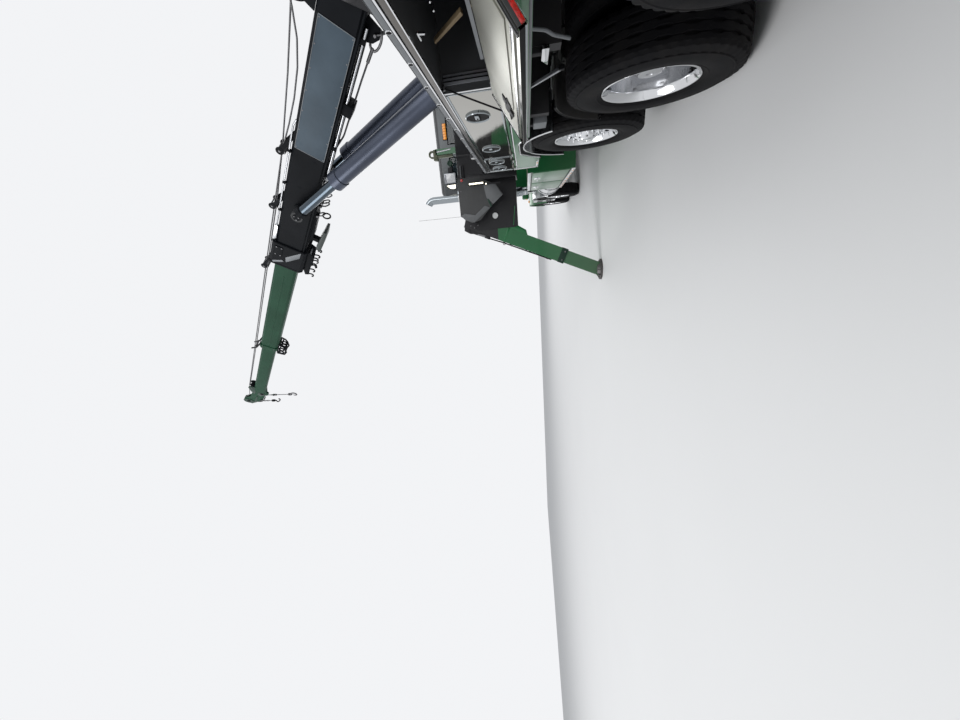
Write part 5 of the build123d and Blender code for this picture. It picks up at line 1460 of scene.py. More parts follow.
    def signs(self, layout: Layout) -> None:
        """Add a blank sign plate in a thin frame on each side.

        Args:
            layout: The truck's places.
        """
        start, end, half = self.sign
        face = self.base_half[0]
        shape = Shape()
        for y in (-1, 1):
            shape.block((start, y * face, -half), (end, y * (face + 0.006), half), Finish.PALE_PLATE, 0.002)
            for x0, x1, z0, z1 in (
                (start, end, half - 0.008, half), (start, end, -half, -half + 0.008),
                (start, start + 0.008, -half, half), (end - 0.008, end, -half, half),
            ):
                shape.block((x0, y * (face + 0.006), z0), (x1, y * (face + 0.009), z1), Finish.STRIP, 0.001)
            for i in range(7):
                for z in (-half + 0.02, half - 0.02):
                    x = start + 0.03 + i * (end - start - 0.06) / 6
                    spot = facing((x, y * (face + 0.006), z), y)
                    shape.turned(((0.009, 0.0), (0.008, 0.004), (0.0, 0.005)), Finish.RAW_STEEL, spot, 12)
        shape.done("boom_sign_plates", "boom_base", layout.boom, "trim")

    def rope_guide(self, shape: Shape, foot: tuple[float, float], head: tuple[float, float]) -> None:
        """Add a rope guide: two leaning arms, a roller under the ropes and a keeper over them.

        Args:
            shape: The shape it joins.
            foot: The arms' foot on the section's top.
            head: The round heads' middle.
        """
        (fx, fz), (hx, hz) = foot, head
        for y in (-1, 1):
            arm = [
                (fx - 0.05, fz - 0.004), (fx + 0.05, fz - 0.004), (hx + 0.03, hz - 0.03),
                (hx - 0.045, hz + 0.02),
            ]
            shape.web(arm, y * 0.108, y * 0.118, Finish.BOOM_BLACK)
            disc = ((0.0, 0.0), (0.056, 0.0), (0.06, 0.004), (0.06, 0.014), (0.056, 0.018), (0.0, 0.018))
            shape.turned(disc, Finish.BOOM_BLACK, facing((hx, y * 0.104, hz), y), 28)
            shape.bolt(facing((hx, y * 0.122, hz), y), 0.034, Finish.RAW_STEEL)
        shape.rod((hx, -0.11, hz - 0.058), (hx, 0.11, hz - 0.058), 0.024, Finish.RAW_STEEL, 20)
        shape.rod((hx, -0.11, hz + 0.03), (hx, 0.11, hz + 0.03), 0.012, Finish.RAW_STEEL, 14)
        shape.block((fx - 0.07, -0.13, fz - 0.003), (fx + 0.07, 0.13, fz + 0.01), Finish.BOOM_BLACK)

    def guides(self, layout: Layout) -> None:
        """Add the rope guides along the boom, and the horns at the middle section's end.

        Args:
            layout: The truck's places.
        """
        base = Shape()
        for foot, head in self.guide_spots:
            self.rope_guide(base, foot, head)
        base.done("rope_guides_base", "boom_base", layout.boom, "black_paint")
        middle = Shape()
        end = self.middle_end
        for y in (-0.12, 0.12):
            horn = (
                (end - 0.12, y, 0.222), (end + 0.02, y, 0.262), (end + 0.2, y * 0.92, 0.30),
                (end + 0.34, y * 0.9, 0.42),
            )
            middle.pipe(horn, 0.02, Finish.BOOM_BLACK, 0.12, 12)
            middle.block((end - 0.16, y - 0.04, 0.222), (end - 0.04, y + 0.04, 0.242), Finish.BOOM_BLACK)
        middle.rod((end + 0.2, -0.12, 0.325), (end + 0.2, 0.12, 0.325), 0.024, Finish.RAW_STEEL, 18)
        middle.done("rope_guide_middle", "boom_middle", layout.boom, "black_paint")

    def ropes(self, layout: Layout) -> None:
        """Run the two hoist ropes from the winches, over the guides, to the head.

        The front winch's rope is taut. The rear one's hangs slack between the winches and the first guide.

        Args:
            layout: The truck's places.
        """
        r, y = self.rope_radius, self.rope_side
        end = self.middle_end + 0.2
        over = 0.325 + 0.024 + r
        taut = (
            (0.40, -y, 0.635), (0.578, -y, 0.570), (1.409, -y, 0.498), (2.47, -y, 0.435), (3.60, -y, 0.395),
            (5.28, -y, 0.386),
        )
        slack = (
            (-0.23, y, 0.678), (0.05, y, 0.728), (0.30, y, 0.71), (0.56, y, 0.53), (0.88, y, 0.418),
            (1.2, y, 0.365), (1.6, y, 0.348), (2.0, y, 0.362), (2.47, y, 0.399), (3.60, y, 0.394),
            (5.28, y, 0.386),
        )
        base = Shape()
        base.pipe(taut, r, Finish.ROPE, 0.25, 12)
        base.pipe(slack, r, Finish.ROPE, 0.3, 12)
        base.done("hoist_ropes_base", "boom_base", layout.boom, "hook_steel")
        middle = Shape()
        for side in (-y, y):
            middle.pipe(((5.28, side, 0.3862), (end, side, over)), r, Finish.ROPE, 0.0, 12)
        middle.done("hoist_ropes_middle", "boom_middle", layout.boom, "hook_steel")
        tip = Shape()
        bump, (nx, nz, nr) = self.guide_sheave, self.nose_sheave
        lift = nr - 0.004
        for side in (-y, y):
            tip.pipe(((end, side, over), (bump[0], side * 0.6, bump[1] + bump[2])), r, Finish.ROPE, 0.0, 12)
        tip.pipe(
            ((bump[0], y * 0.6, bump[1] + bump[2]), (nx - 0.45, 0.0, nz + 0.02), (nx - 0.1, 0.0, nz + lift)),
            r, Finish.ROPE, 0.2, 12)
        arc = [
            (nx + lift * math.sin(a), 0.0, nz + lift * math.cos(a))
            for a in [i * 0.16 - 0.4 for i in range(17)]
        ]
        tip.pipe(arc, r, Finish.ROPE, 0.0, 12)
        tip.done("hoist_ropes_tip", "boom_tip", layout.boom, "hook_steel")

    def head(self, layout: Layout) -> None:
        """Dress the head: its sheaves' covers and pins, the guide sheave, keepers and shackles.

        Args:
            layout: The truck's places.
        """
        shape = Shape()
        for x, z, radius in (self.sheave, self.nose_sheave):
            for y in (-1, 1):
                rim = (
                    (radius - 0.045, 0.0), (radius + 0.010, -0.008), (radius + 0.012, -0.001),
                    (radius - 0.04, 0.0005),
                )
                shape.turned(rim, Finish.BOOM_BLACK, facing((x, y * 0.0295, z), y), 48, True)
                cap = facing((x, y * 0.06, z), y)
                shape.turned(
                    (
                        (0.055, 0.0), (0.055, 0.022), (0.048, 0.028), (0.018, 0.028), (0.016, 0.022),
                        (0.0, 0.022),
                    ),
                    Finish.BOOM_BLACK, cap, 32)
                shape.ring_of(4, 0.042, cap @ Matrix.Translation((0, 0, 0.0275)),
                              lambda at: shape.bolt(at, 0.014, Finish.RAW_STEEL))
        nx, nz, nr = self.nose_sheave
        bx, bz, br = self.guide_sheave
        groove = (
            (0.02, 0.0), (br, 0.0), (br, 0.012), (br - 0.035, 0.04), (br - 0.035, 0.07), (br, 0.098),
            (br, 0.11), (0.02, 0.11),
        )
        for y in (-1, 1):
            # the nose's round cover, with its rolled rim
            cover = (
                (0.06, 0.0), (nr + 0.004, 0.0), (nr + 0.008, 0.004), (nr + 0.008, 0.014),
                (nr - 0.004, 0.016), (nr - 0.012, 0.010), (0.06, 0.010),
            )
            shape.turned(cover, Finish.HEAD_PAINT, facing((nx, y * 0.0605, nz), y), 56, True)
            shape.turned(groove, Finish.BOOM_BLACK, facing((bx, 0.0, bz), y), 40, True)
            ear = [
                (bx - 0.13, 0.16), (bx + 0.42, 0.16), (bx + 0.30, 0.25), (bx + 0.11, 0.32),
                (bx + 0.05, bz + 0.105), (bx, bz + 0.12), (bx - 0.06, bz + 0.105), (bx - 0.11, bz + 0.05),
            ]
            shape.web(ear, y * 0.115, y * 0.131, Finish.HEAD_PAINT)
            shape.block((bx - 0.10, y * 0.06, 0.12), (bx + 0.43, y * 0.13, 0.178), Finish.HEAD_PAINT)
            shape.bolt(facing((bx, y * 0.131, bz), y), 0.05, Finish.RAW_STEEL)
            side = [(12.30, -0.17), (12.52, -0.185), (12.62, -0.06), (12.52, 0.05), (12.32, 0.03)]
            shape.web(side, y * 0.06, y * 0.07, Finish.HEAD_PAINT)
            stiffener = [(12.70, 0.02), (13.30, 0.02), (13.42, 0.10), (13.30, 0.10), (12.72, 0.06)]
            shape.web(stiffener, y * 0.0605, y * 0.075, Finish.HEAD_PAINT)
            self.shackle(shape, Vector((12.98 - 0.05 * y, y * 0.05, -0.10)), 0.055, self.plumb(layout))
        for x, z in self.head_pins:
            shape.rod((x, -0.066, z), (x, 0.066, z), 0.014, Finish.RAW_STEEL, 16)
        for y in (-0.06, 0.06):
            shape.web(
                [(12.86, -0.16), (13.12, -0.02), (13.05, -0.14), (12.98, -0.185)], y - 0.012, y + 0.012,
                Finish.HEAD_PAINT)
        self.pendant(shape, layout)
        shape.done("boom_head", "boom_tip", layout.boom, "black_paint")

    def plumb(self, layout: Layout) -> Vector:
        """Return straight down at rest, in the boom's place."""
        return (layout.boom.to_3x3().inverted() @ Vector((0, 0, -1))).normalized()

    def pendant(self, shape: Shape, layout: Layout) -> None:
        """Hang the nose line's sleeve, chain, swivel and hook straight down from the nose sheave.

        Args:
            shape: The shape it joins.
            layout: The truck's places.
        """
        down = self.plumb(layout)
        across = Vector((0, 1, 0))
        level = across.cross(down)
        nx, nz, nr = self.nose_sheave
        top = Vector((nx, 0, nz)) - level * (nr + self.rope_radius) * (1 if level.x < 0 else -1)
        shape.rod(top, top + down * 0.12, self.rope_radius, Finish.ROPE, 12, 0.001)
        sleeve = (
            (0.0, 0.10), (0.022, 0.11), (0.036, 0.16), (0.042, 0.34), (0.034, 0.40), (0.018, 0.44),
            (0.0, 0.45),
        )
        shape.turned(sleeve, Finish.BOOM_BLACK, frame_of(top, across, down), 20)
        for i in range(5):
            self.link(
                shape, top + down * (0.47 + 0.062 * i), -down, across if i % 2 else level, 0.044, 0.027,
                0.009)
        eye = top + down * 0.80
        shape.turned(
            ((0.0, 0.0), (0.03, 0.01), (0.046, 0.05), (0.046, 0.12), (0.03, 0.16), (0.0, 0.17)),
            Finish.BOOM_BLACK, frame_of(eye, across, down), 20)
        bow = [
            (0.0, 0.15), (0.0, 0.20), (0.055, 0.26), (0.045, 0.33), (-0.02, 0.355), (-0.06, 0.31),
            (-0.062, 0.27),
        ]
        shape.pipe([eye + across * a + down * d for a, d in bow], 0.019, Finish.BOOM_BLACK, 0.05, 10)

    @staticmethod
    def link(
        shape: Shape, middle: Vector, up: Vector, across: Vector, half_l: float, half_w: float, wire: float,
    ) -> None:
        """Add one chain link.

        Args:
            shape: The shape it joins.
            middle: Its middle.
            up: Its long direction.
            across: Its wide direction.
            half_l: Half its length.
            half_w: Half its width.
            wire: Its bar's radius.
        """
        across = across.normalized()
        bend = half_w - wire
        corners = [
            middle + up * (u * (half_l - wire)) + across * (v * bend)
            for u, v in ((1, 1), (1, -1), (-1, -1), (-1, 1))
        ]
        shape.pipe(corners, wire, Finish.RAW_STEEL, bend * 0.98, 8, closed=True)

    def underside(self, layout: Layout) -> None:
        """Add what hangs below the base, from pipes to stowed hooks.

        Args:
            layout: The truck's places.
        """
        shape = Shape()
        low = -self.base_half[1]
        down = self.plumb(layout)
        for y in (-0.09, -0.04, 0.05):
            shape.pipe(
                ((0.32, y, low - 0.036), (2.6, y, low - 0.036), (2.72, y, low + 0.01)), 0.013,
                Finish.SATIN_BLACK, 0.08, 10)
        shape.pipe(((0.3, 0.13, low - 0.034), (2.55, 0.13, low - 0.034)), 0.021, Finish.ALUMINIUM, 0.0, 14)
        for x in (0.45, 1.95, 2.45):
            shape.block((x - 0.03, -0.12, low - 0.06), (x + 0.03, 0.16, low + 0.002), Finish.BOOM_BLACK)
        shape.block((1.24, -0.11, low - 0.135), (1.40, 0.165, low + 0.002), Finish.BOOM_BLACK, 0.006)
        self.rear_lug(shape, down)
        self.rack(shape, down)
        self.stowed_gear(shape, down)
        shape.done("boom_underside", "boom_base", layout.boom, "black_paint")

    def rear_lug(self, shape: Shape, down: Vector) -> None:
        """Add the rear lug with its shackle, and the rope that ends in a thimble on it.

        Args:
            shape: The shape it joins.
            down: Straight down at rest.
        """
        low = -self.base_half[1]
        shape.web(
            [(0.22, low), (0.50, low), (0.45, low - 0.13), (0.37, low - 0.19), (0.27, low - 0.17)], -0.025,
            0.025, Finish.BOOM_BLACK, 0.006)
        self.shackle(shape, Vector((0.35, 0.0, low - 0.13)), 0.05, down)
        thimble = [
            (0.40 + 0.13 * math.cos(a), 0.0, low - 0.15 + 0.062 * math.sin(a))
            for a in [i * math.pi / 8 for i in range(16)]
        ]
        shape.pipe(thimble, 0.016, Finish.RAW_STEEL, 0.0, 8, closed=True)
        shape.rod((0.50, 0.0, low - 0.142), (0.68, 0.01, low - 0.132), 0.021, Finish.RAW_STEEL, 14)
        shape.pipe(
            (
                (0.66, 0.01, low - 0.133), (0.91, 0.02, low - 0.122), (1.75, 0.03, low - 0.10),
                (2.1, 0.03, low - 0.02),
            ),
            0.012, Finish.ROPE, 0.3, 8)

    def rack(self, shape: Shape, down: Vector) -> None:
        """Add the rack under the collar, with hooks hung along its lower edge.

        Args:
            shape: The shape it joins.
            down: Straight down at rest.
        """
        depth = -self.collar_half[1]
        rack = [
            (4.35, depth), (4.88, depth), (5.02, depth - 0.06), (4.98, depth - 0.13), (4.40, depth - 0.11),
        ]
        for y in (-0.13, 0.13):
            shape.web(rack, y - 0.008, y + 0.008, Finish.BOOM_BLACK)
            for x in self.rack_hooks:
                foot = Vector((x, y, depth - 0.115))
                curl = ((0.0, 0.0), (0.02, 0.06), (0.055, 0.085), (0.09, 0.06), (0.09, 0.03))
                shape.pipe(
                    [foot + down * d + Vector((0.76, 0, -0.64)) * a for a, d in curl], 0.014,
                    Finish.BOOM_BLACK, 0.02, 8)
        shape.rod((4.98, -0.14, depth - 0.09), (4.98, 0.14, depth - 0.09), 0.022, Finish.BOOM_BLACK, 14)
        shape.block((4.42, -0.10, depth - 0.055), (4.78, 0.12, depth - 0.03), Finish.STRIP, 0.006)

    def stowed_gear(self, shape: Shape, down: Vector) -> None:
        """Add the flat wing on its post, and the stowed shackles.

        Args:
            shape: The shape it joins.
            down: Straight down at rest.
        """
        low = -self.base_half[1]
        shape.block((3.05, -0.16, low - 0.02), (self.collar[0], 0.16, low + 0.001), Finish.BOOM_BLACK)
        shape.web(
            [(3.30, low - 0.015), (4.15, low - 0.015), (3.95, low - 0.075), (3.45, low - 0.06)], -0.12,
            0.12, Finish.BOOM_BLACK, 0.006)
        shape.web(self.wing, -0.15, 0.15, Finish.WING, 0.006)
        shape.block((3.98, -0.05, -0.45), (4.06, 0.05, low), Finish.BOOM_BLACK)
        for x, y, drop, size in self.stowed:
            shape.web(
                [
                    (x - 0.05, low), (x + 0.05, low), (x + 0.03, low - drop - 0.02),
                    (x - 0.03, low - drop - 0.02),
                ],
                y - 0.014, y + 0.014, Finish.BOOM_BLACK)
            self.shackle(shape, Vector((x, y, low - drop)), size, down)
        ring = [
            (3.30 + 0.06 * math.cos(a), 0.08 + 0.02 * math.sin(a), low - 0.19 + 0.06 * math.sin(a))
            for a in [i * math.pi / 8 for i in range(16)]
        ]
        shape.pipe(ring, 0.014, Finish.BOOM_BLACK, 0.0, 8, closed=True)

    def middle_bracket(self, layout: Layout) -> None:
        """Hang the bracket below the middle section's end.

        Args:
            layout: The truck's places.
        """
        down = self.plumb(layout)
        front = Shape()
        drop, end = -self.middle_half[1] - 0.012, self.middle_end
        frame = [
            (end - 0.34, drop), (end, drop), (end + 0.16, drop - 0.02), (end + 0.13, drop - 0.20),
            (end - 0.02, drop - 0.23), (end - 0.20, drop - 0.17), (end - 0.30, drop - 0.10),
        ]
        hollow = ((end - 0.10, drop - 0.095, 0.052), (end + 0.055, drop - 0.11, 0.045))
        for y in (-0.12, 0.12):
            for (x0, z0), (x1, z1) in zip(frame, frame[1:] + frame[:1]):
                front.rod((x0, y, z0), (x1, y, z1), 0.022, Finish.BOOM_BLACK, 10)
            for x, z, radius in hollow:
                front.turned(
                    ((radius, -0.014), (radius + 0.026, -0.014), (radius + 0.026, 0.014), (radius, 0.014)),
                    Finish.BOOM_BLACK, facing((x, y, z), 1), 28, True)
        for x, z in (
            (end - 0.26, drop - 0.06), (end + 0.12, drop - 0.04), (end + 0.10, drop - 0.20),
            (end - 0.16, drop - 0.18),
        ):
            front.rod((x, -0.125, z), (x, 0.125, z), 0.02, Finish.BOOM_BLACK, 14)
        tail = Vector((end - 0.18, 0.12, drop - 0.16))
        front.pipe(
            (tail, tail + down * 0.06, tail + down * 0.10 - Vector((0.10, 0, -0.02))), 0.016,
            Finish.BOOM_BLACK, 0.03, 8)
        front.done("boom_middle_bracket", "boom_middle", layout.boom, "black_paint")

    def shackle(self, shape: Shape, at: Vector, size: float, down: Vector) -> None:
        """Add a bow shackle that hangs from a pin.

        Args:
            shape: The shape it joins.
            at: The pin's middle.
            size: Half its bow's width.
            down: The way it hangs.
        """
        across = Vector((0, 1, 0))
        half = ((-0.7, -0.1), (-0.8, 0.9), (-1.0, 1.7), (-0.6, 2.5))
        bow = [*half, (0.0, 2.8), *((-a, d) for a, d in reversed(half))]
        shape.pipe(
            [at + across * (a * size) + down * (d * size) for a, d in bow], size * 0.22, Finish.RAW_STEEL,
            0.4 * size, 10)
        shape.rod(at - across * (1.15 * size), at + across * size, size * 0.25, Finish.RAW_STEEL, 14)
        shape.rod(at + across * size, at + across * (1.3 * size), size * 0.42, Finish.RAW_STEEL, 6)

    def hoists(self, layout: Layout) -> None:
        """Make the two winches: wound drums, flanges, motors and side frames, in place of the plain solids.

        Args:
            layout: The truck's places.
        """
        shape = Shape()
        r = self.rope_radius
        for x, z in self.winches:
            turns = int(2 * self.drum_half / (2 * r))
            profile = [(self.drum_radius - 0.012, -self.drum_half)]
            for i in range(turns):
                for k in range(5):
                    angle = math.pi * k / 4
                    edge = -self.drum_half + 2 * r * i + r - r * math.cos(angle)
                    profile.append((self.drum_radius - 0.012 + r * math.sin(angle), edge))
            spot = facing((x, 0, z), 1)
            shape.turned(profile, Finish.ROPE, spot, 48)
            for side in (-1, 1):
                face = facing((x, side * 0.155, z), side)
                shape.turned(
                    ((0.0, 0.0), (0.205, 0.0), (0.215, 0.004), (0.215, 0.011), (0.205, 0.015), (0.0, 0.015)),
                    Finish.BOOM_BLACK, face, 56)
                plate = [(x - 0.18, 0.262), (x + 0.18, 0.262), (x + 0.09, z + 0.09), (x - 0.09, z + 0.09)]
                shape.plate(plate, 0.024, Finish.BOOM_BLACK, facing((0, side * 0.178 + 0.012, 0), -1), 0.004)
                shape.turned(((0.075, 0.0), (0.075, 0.05), (0.06, 0.06), (0.0, 0.06)), Finish.SATIN_BLACK,
                             face @ Matrix.Translation((0, 0, 0.036)), 32)
                shape.ring_of(8, 0.062, face @ Matrix.Translation((0, 0, 0.09)),
                              lambda at: shape.bolt(at, 0.015, Finish.RAW_STEEL))
            motor = facing((x, -0.245, z), -1)
            shape.turned(
                ((0.05, 0.0), (0.05, 0.12), (0.044, 0.13), (0.0, 0.13)), Finish.SATIN_BLACK, motor, 24)
            for y in (-0.1, 0.1):
                shape.rod(
                    (x + 0.13, y - 0.04, z - 0.19), (x + 0.13, y + 0.04, z - 0.19), 0.02, Finish.RAW_STEEL,
                    12)
        piece = shape.done("winches_dressed", "boom_base", layout.boom, "black_paint")
        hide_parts("winches")

    def hook(self, layout: Layout) -> None:
        """Make the hoist hook: shackle, line, swivel and latched hook, in place of the plain solid.

        Args:
            layout: The truck's places.
        """
        eye = layout.at("hook_swing")
        level = layout.boom.to_3x3() @ Vector((1, 0, 0))
        place = frame_of(eye, (level.x, level.y, 0), (0, 0, 1))
        shape = Shape()
        shape.rod((0, -0.033, 0), (0, 0.030, 0), 0.011, Finish.RAW_STEEL, 18)
        shape.rod((0, 0.026, 0), (0, 0.04, 0), 0.02, Finish.RAW_STEEL, 6)
        for y in (-0.022, 0.022):
            shape.rod((0, y - 0.008, 0), (0, y + 0.008, 0), 0.03, Finish.RAW_STEEL, 28)
            shape.block((-0.024, y - 0.007, -0.11), (0.024, y + 0.007, -0.005), Finish.RAW_STEEL, 0.004)
        shape.turned(
            ((0.0, -0.12), (0.03, -0.118), (0.034, -0.11), (0.034, -0.075), (0.026, -0.062), (0.0, -0.06)),
            Finish.RAW_STEEL)
        shape.rod((0, 0, -0.11), (0, 0, -0.585), 0.0125, Finish.ROPE, 14, 0.001)
        shape.turned(
            (
                (0.0, -0.583), (0.018, -0.58), (0.04, -0.60), (0.045, -0.625), (0.045, -0.70),
                (0.036, -0.722), (0.0, -0.724),
            ),
            Finish.RAW_STEEL, None, 28)
        shape.turned(
            ((0.046, -0.655), (0.048, -0.652), (0.048, -0.672), (0.046, -0.675)), Finish.BOOM_BLACK, None,
            28, True)
        bend = circle((0.0, -0.82), 0.085, 118.0, 9.4, 31)
        outline = [(x, z, 0.025 - 0.011 * (i / 30) ** 3) for i, (x, z) in enumerate(bend)]
        self.swept(shape, [(0.0, -0.715, 0.022)] + outline)
        shape.pipe(
            ((-0.02, -0.0, -0.735), (0.03, 0.0, -0.76), (0.088, 0.0, -0.80)), 0.006, Finish.RAW_STEEL, 0.02,
            8)
        piece = shape.done("hoist_hook_dressed", "hook", place, "hook_steel")
        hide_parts("hoist_hook")
        line = Shape()
        line.rod((0, 0, 0.026), (0, 0, 0.30), 0.0135, Finish.ROPE, 14, 0.001)
        line.turned(((0.014, 0.03), (0.022, 0.034), (0.022, 0.10), (0.014, 0.12)), Finish.RAW_STEEL)
        line.done("hook_line", "boom_tip", place, "hook_steel")

    @staticmethod
    def swept(shape: Shape, path: Sequence[tuple[float, float, float]]) -> None:
        """Add a bar of changing thickness along a path in the XZ plane.

        Args:
            shape: The shape it joins.
            path: X, Z and radius of each point.
        """

        def build(bm: bmesh.types.BMesh) -> None:
            rings = []
            for i, (x, z, radius) in enumerate(path):
                before, after = path[max(i - 1, 0)], path[min(i + 1, len(path) - 1)]
                ahead = Vector((after[0] - before[0], 0, after[1] - before[1])).normalized()
                across = ahead.cross(Vector((0, 1, 0)))
                turns = [2 * math.pi * k / 12 for k in range(12)]
                rings.append(
                    [
                        bm.verts.new(
                            Vector((x, 0, z)) + across * (radius * 1.15 * math.cos(a)) + Vector(
                                (0, radius * 0.9 * math.sin(a), 0)))
                        for a in turns
                    ])
            for first, second in zip(rings, rings[1:]):
                for k in range(12):
                    j = (k + 1) % 12
                    bm.faces.new((first[k], first[j], second[j], second[k]))
            bm.faces.new(list(reversed(rings[0])))
            bm.faces.new(rings[-1])

        shape.add(build, Finish.RAW_STEEL)

    def build(self, layout: Layout) -> None:
        """Dress the whole boom.

        Args:
            layout: The truck's places.
        """
        self.section_trim(layout)
        self.signs(layout)
        self.guides(layout)
        self.ropes(layout)
        self.head(layout)
        self.underside(layout)
        self.middle_bracket(layout)
        self.hoists(layout)
        self.hook(layout)


@dataclass
class LiftCylinders:
    """The two lift cylinders' glands, pipes, clamps and eyes."""

    offset: float = 0.385
    barrel_radius: float = 0.13
    barrel_length: float = 2.4
    rod_radius: float = 0.08
    rod_pin: tuple[float, float] = (3.3, -0.04)
    pipes: tuple[tuple[float, float], ...] = ((-0.125, 0.075), (-0.085, 0.118))
    clamps: tuple[float, float] = (0.9, 1.65)
    clamp_turn: float = 133.0

    def build(self, layout: Layout) -> None:
        """Dress both cylinders.

        Args:
            layout: The truck's places.
        """
        foot = layout.at("barrel_tilt")
        along = Vector(layout.joints["rod_out"]["axis"]).normalized()
        left = layout.turret.to_3x3() @ Vector((0, 1, 0))
        place = frame_of(foot, left.cross(along) * -1, along)
        shape = Shape()
        for side in (-1, 1):
            y = side * self.offset
            at = Matrix.Translation((0, y, 0))
            big, length = self.barrel_radius, self.barrel_length
            shape.turned(
                (
                    (big, length - 0.17), (big + 0.014, length - 0.165), (big + 0.014, length - 0.008),
                    (big + 0.008, length), (self.rod_radius + 0.012, length),
                    (self.rod_radius + 0.006, length - 0.01), (self.rod_radius + 0.006, length - 0.03),
                ),
                Finish.BARREL, at, 56)
            shape.ring_of(10, big - 0.018, at @ Matrix.Translation((0, 0, length)),
                          lambda spot: shape.bolt(spot, 0.02, Finish.RAW_STEEL))
            for x, out in self.pipes:
                shape.pipe(
                    (
                        (x * 0.8, y - side * out * 0.8, 0.3), (x, y - side * out, 0.34),
                        (x, y - side * out, length - 0.2), (x * 0.8, y - side * out * 0.8, length - 0.1),
                    ),
                    0.011, Finish.SATIN_BLACK, 0.04, 8)
            for z in self.clamps:
                clamp = at @ Matrix.Rotation(-side * math.radians(self.clamp_turn), 4, "Z")
                shape.block(
                    (self.barrel_radius - 0.004, -0.05, z), (self.barrel_radius + 0.032, 0.05, z + 0.04),
                    Finish.SATIN_BLACK, 0.004, clamp)
            shape.turned(
                (
                    (0.0455, -0.064), (0.082, -0.064), (0.088, -0.058), (0.088, 0.058), (0.082, 0.064),
                    (0.0455, 0.064),
                ),
                Finish.SILVER, at @ Matrix.Rotation(math.pi / 2, 4, "X"), 32, True)
        shape.done("lift_cylinder_fittings", "lift_barrels", place, "silver_paint")
        eyes = Shape()
        reach = (layout.boom @ Vector((self.rod_pin[0], 0, self.rod_pin[1])) - foot).length
        for side in (-1, 1):
            eyes.turned(
                (
                    (self.rod_radius - 0.002, reach - 0.19), (self.rod_radius + 0.02, reach - 0.17),
                    (self.rod_radius + 0.02, reach - 0.08), (self.rod_radius - 0.01, reach - 0.06),
                ),
                Finish.BOOM_BLACK, Matrix.Translation((0, side * self.offset, 0)), 40)
            cap = Matrix.Translation(
                (0, side * self.offset, reach),
            ) @ Matrix.Rotation(-side * math.pi / 2, 4, "X")
            eyes.turned(
                ((0.062, 0.05), (0.062, 0.064), (0.054, 0.072), (0.0, 0.072)), Finish.BOOM_BLACK, cap, 32)
            eyes.ring_of(
                3, 0.04, cap @ Matrix.Translation((0, 0, 0.071)),
                lambda spot: eyes.bolt(spot, 0.02, Finish.RAW_STEEL))
        eyes.done("lift_rod_eyes", "lift_rods", place, "silver_paint")


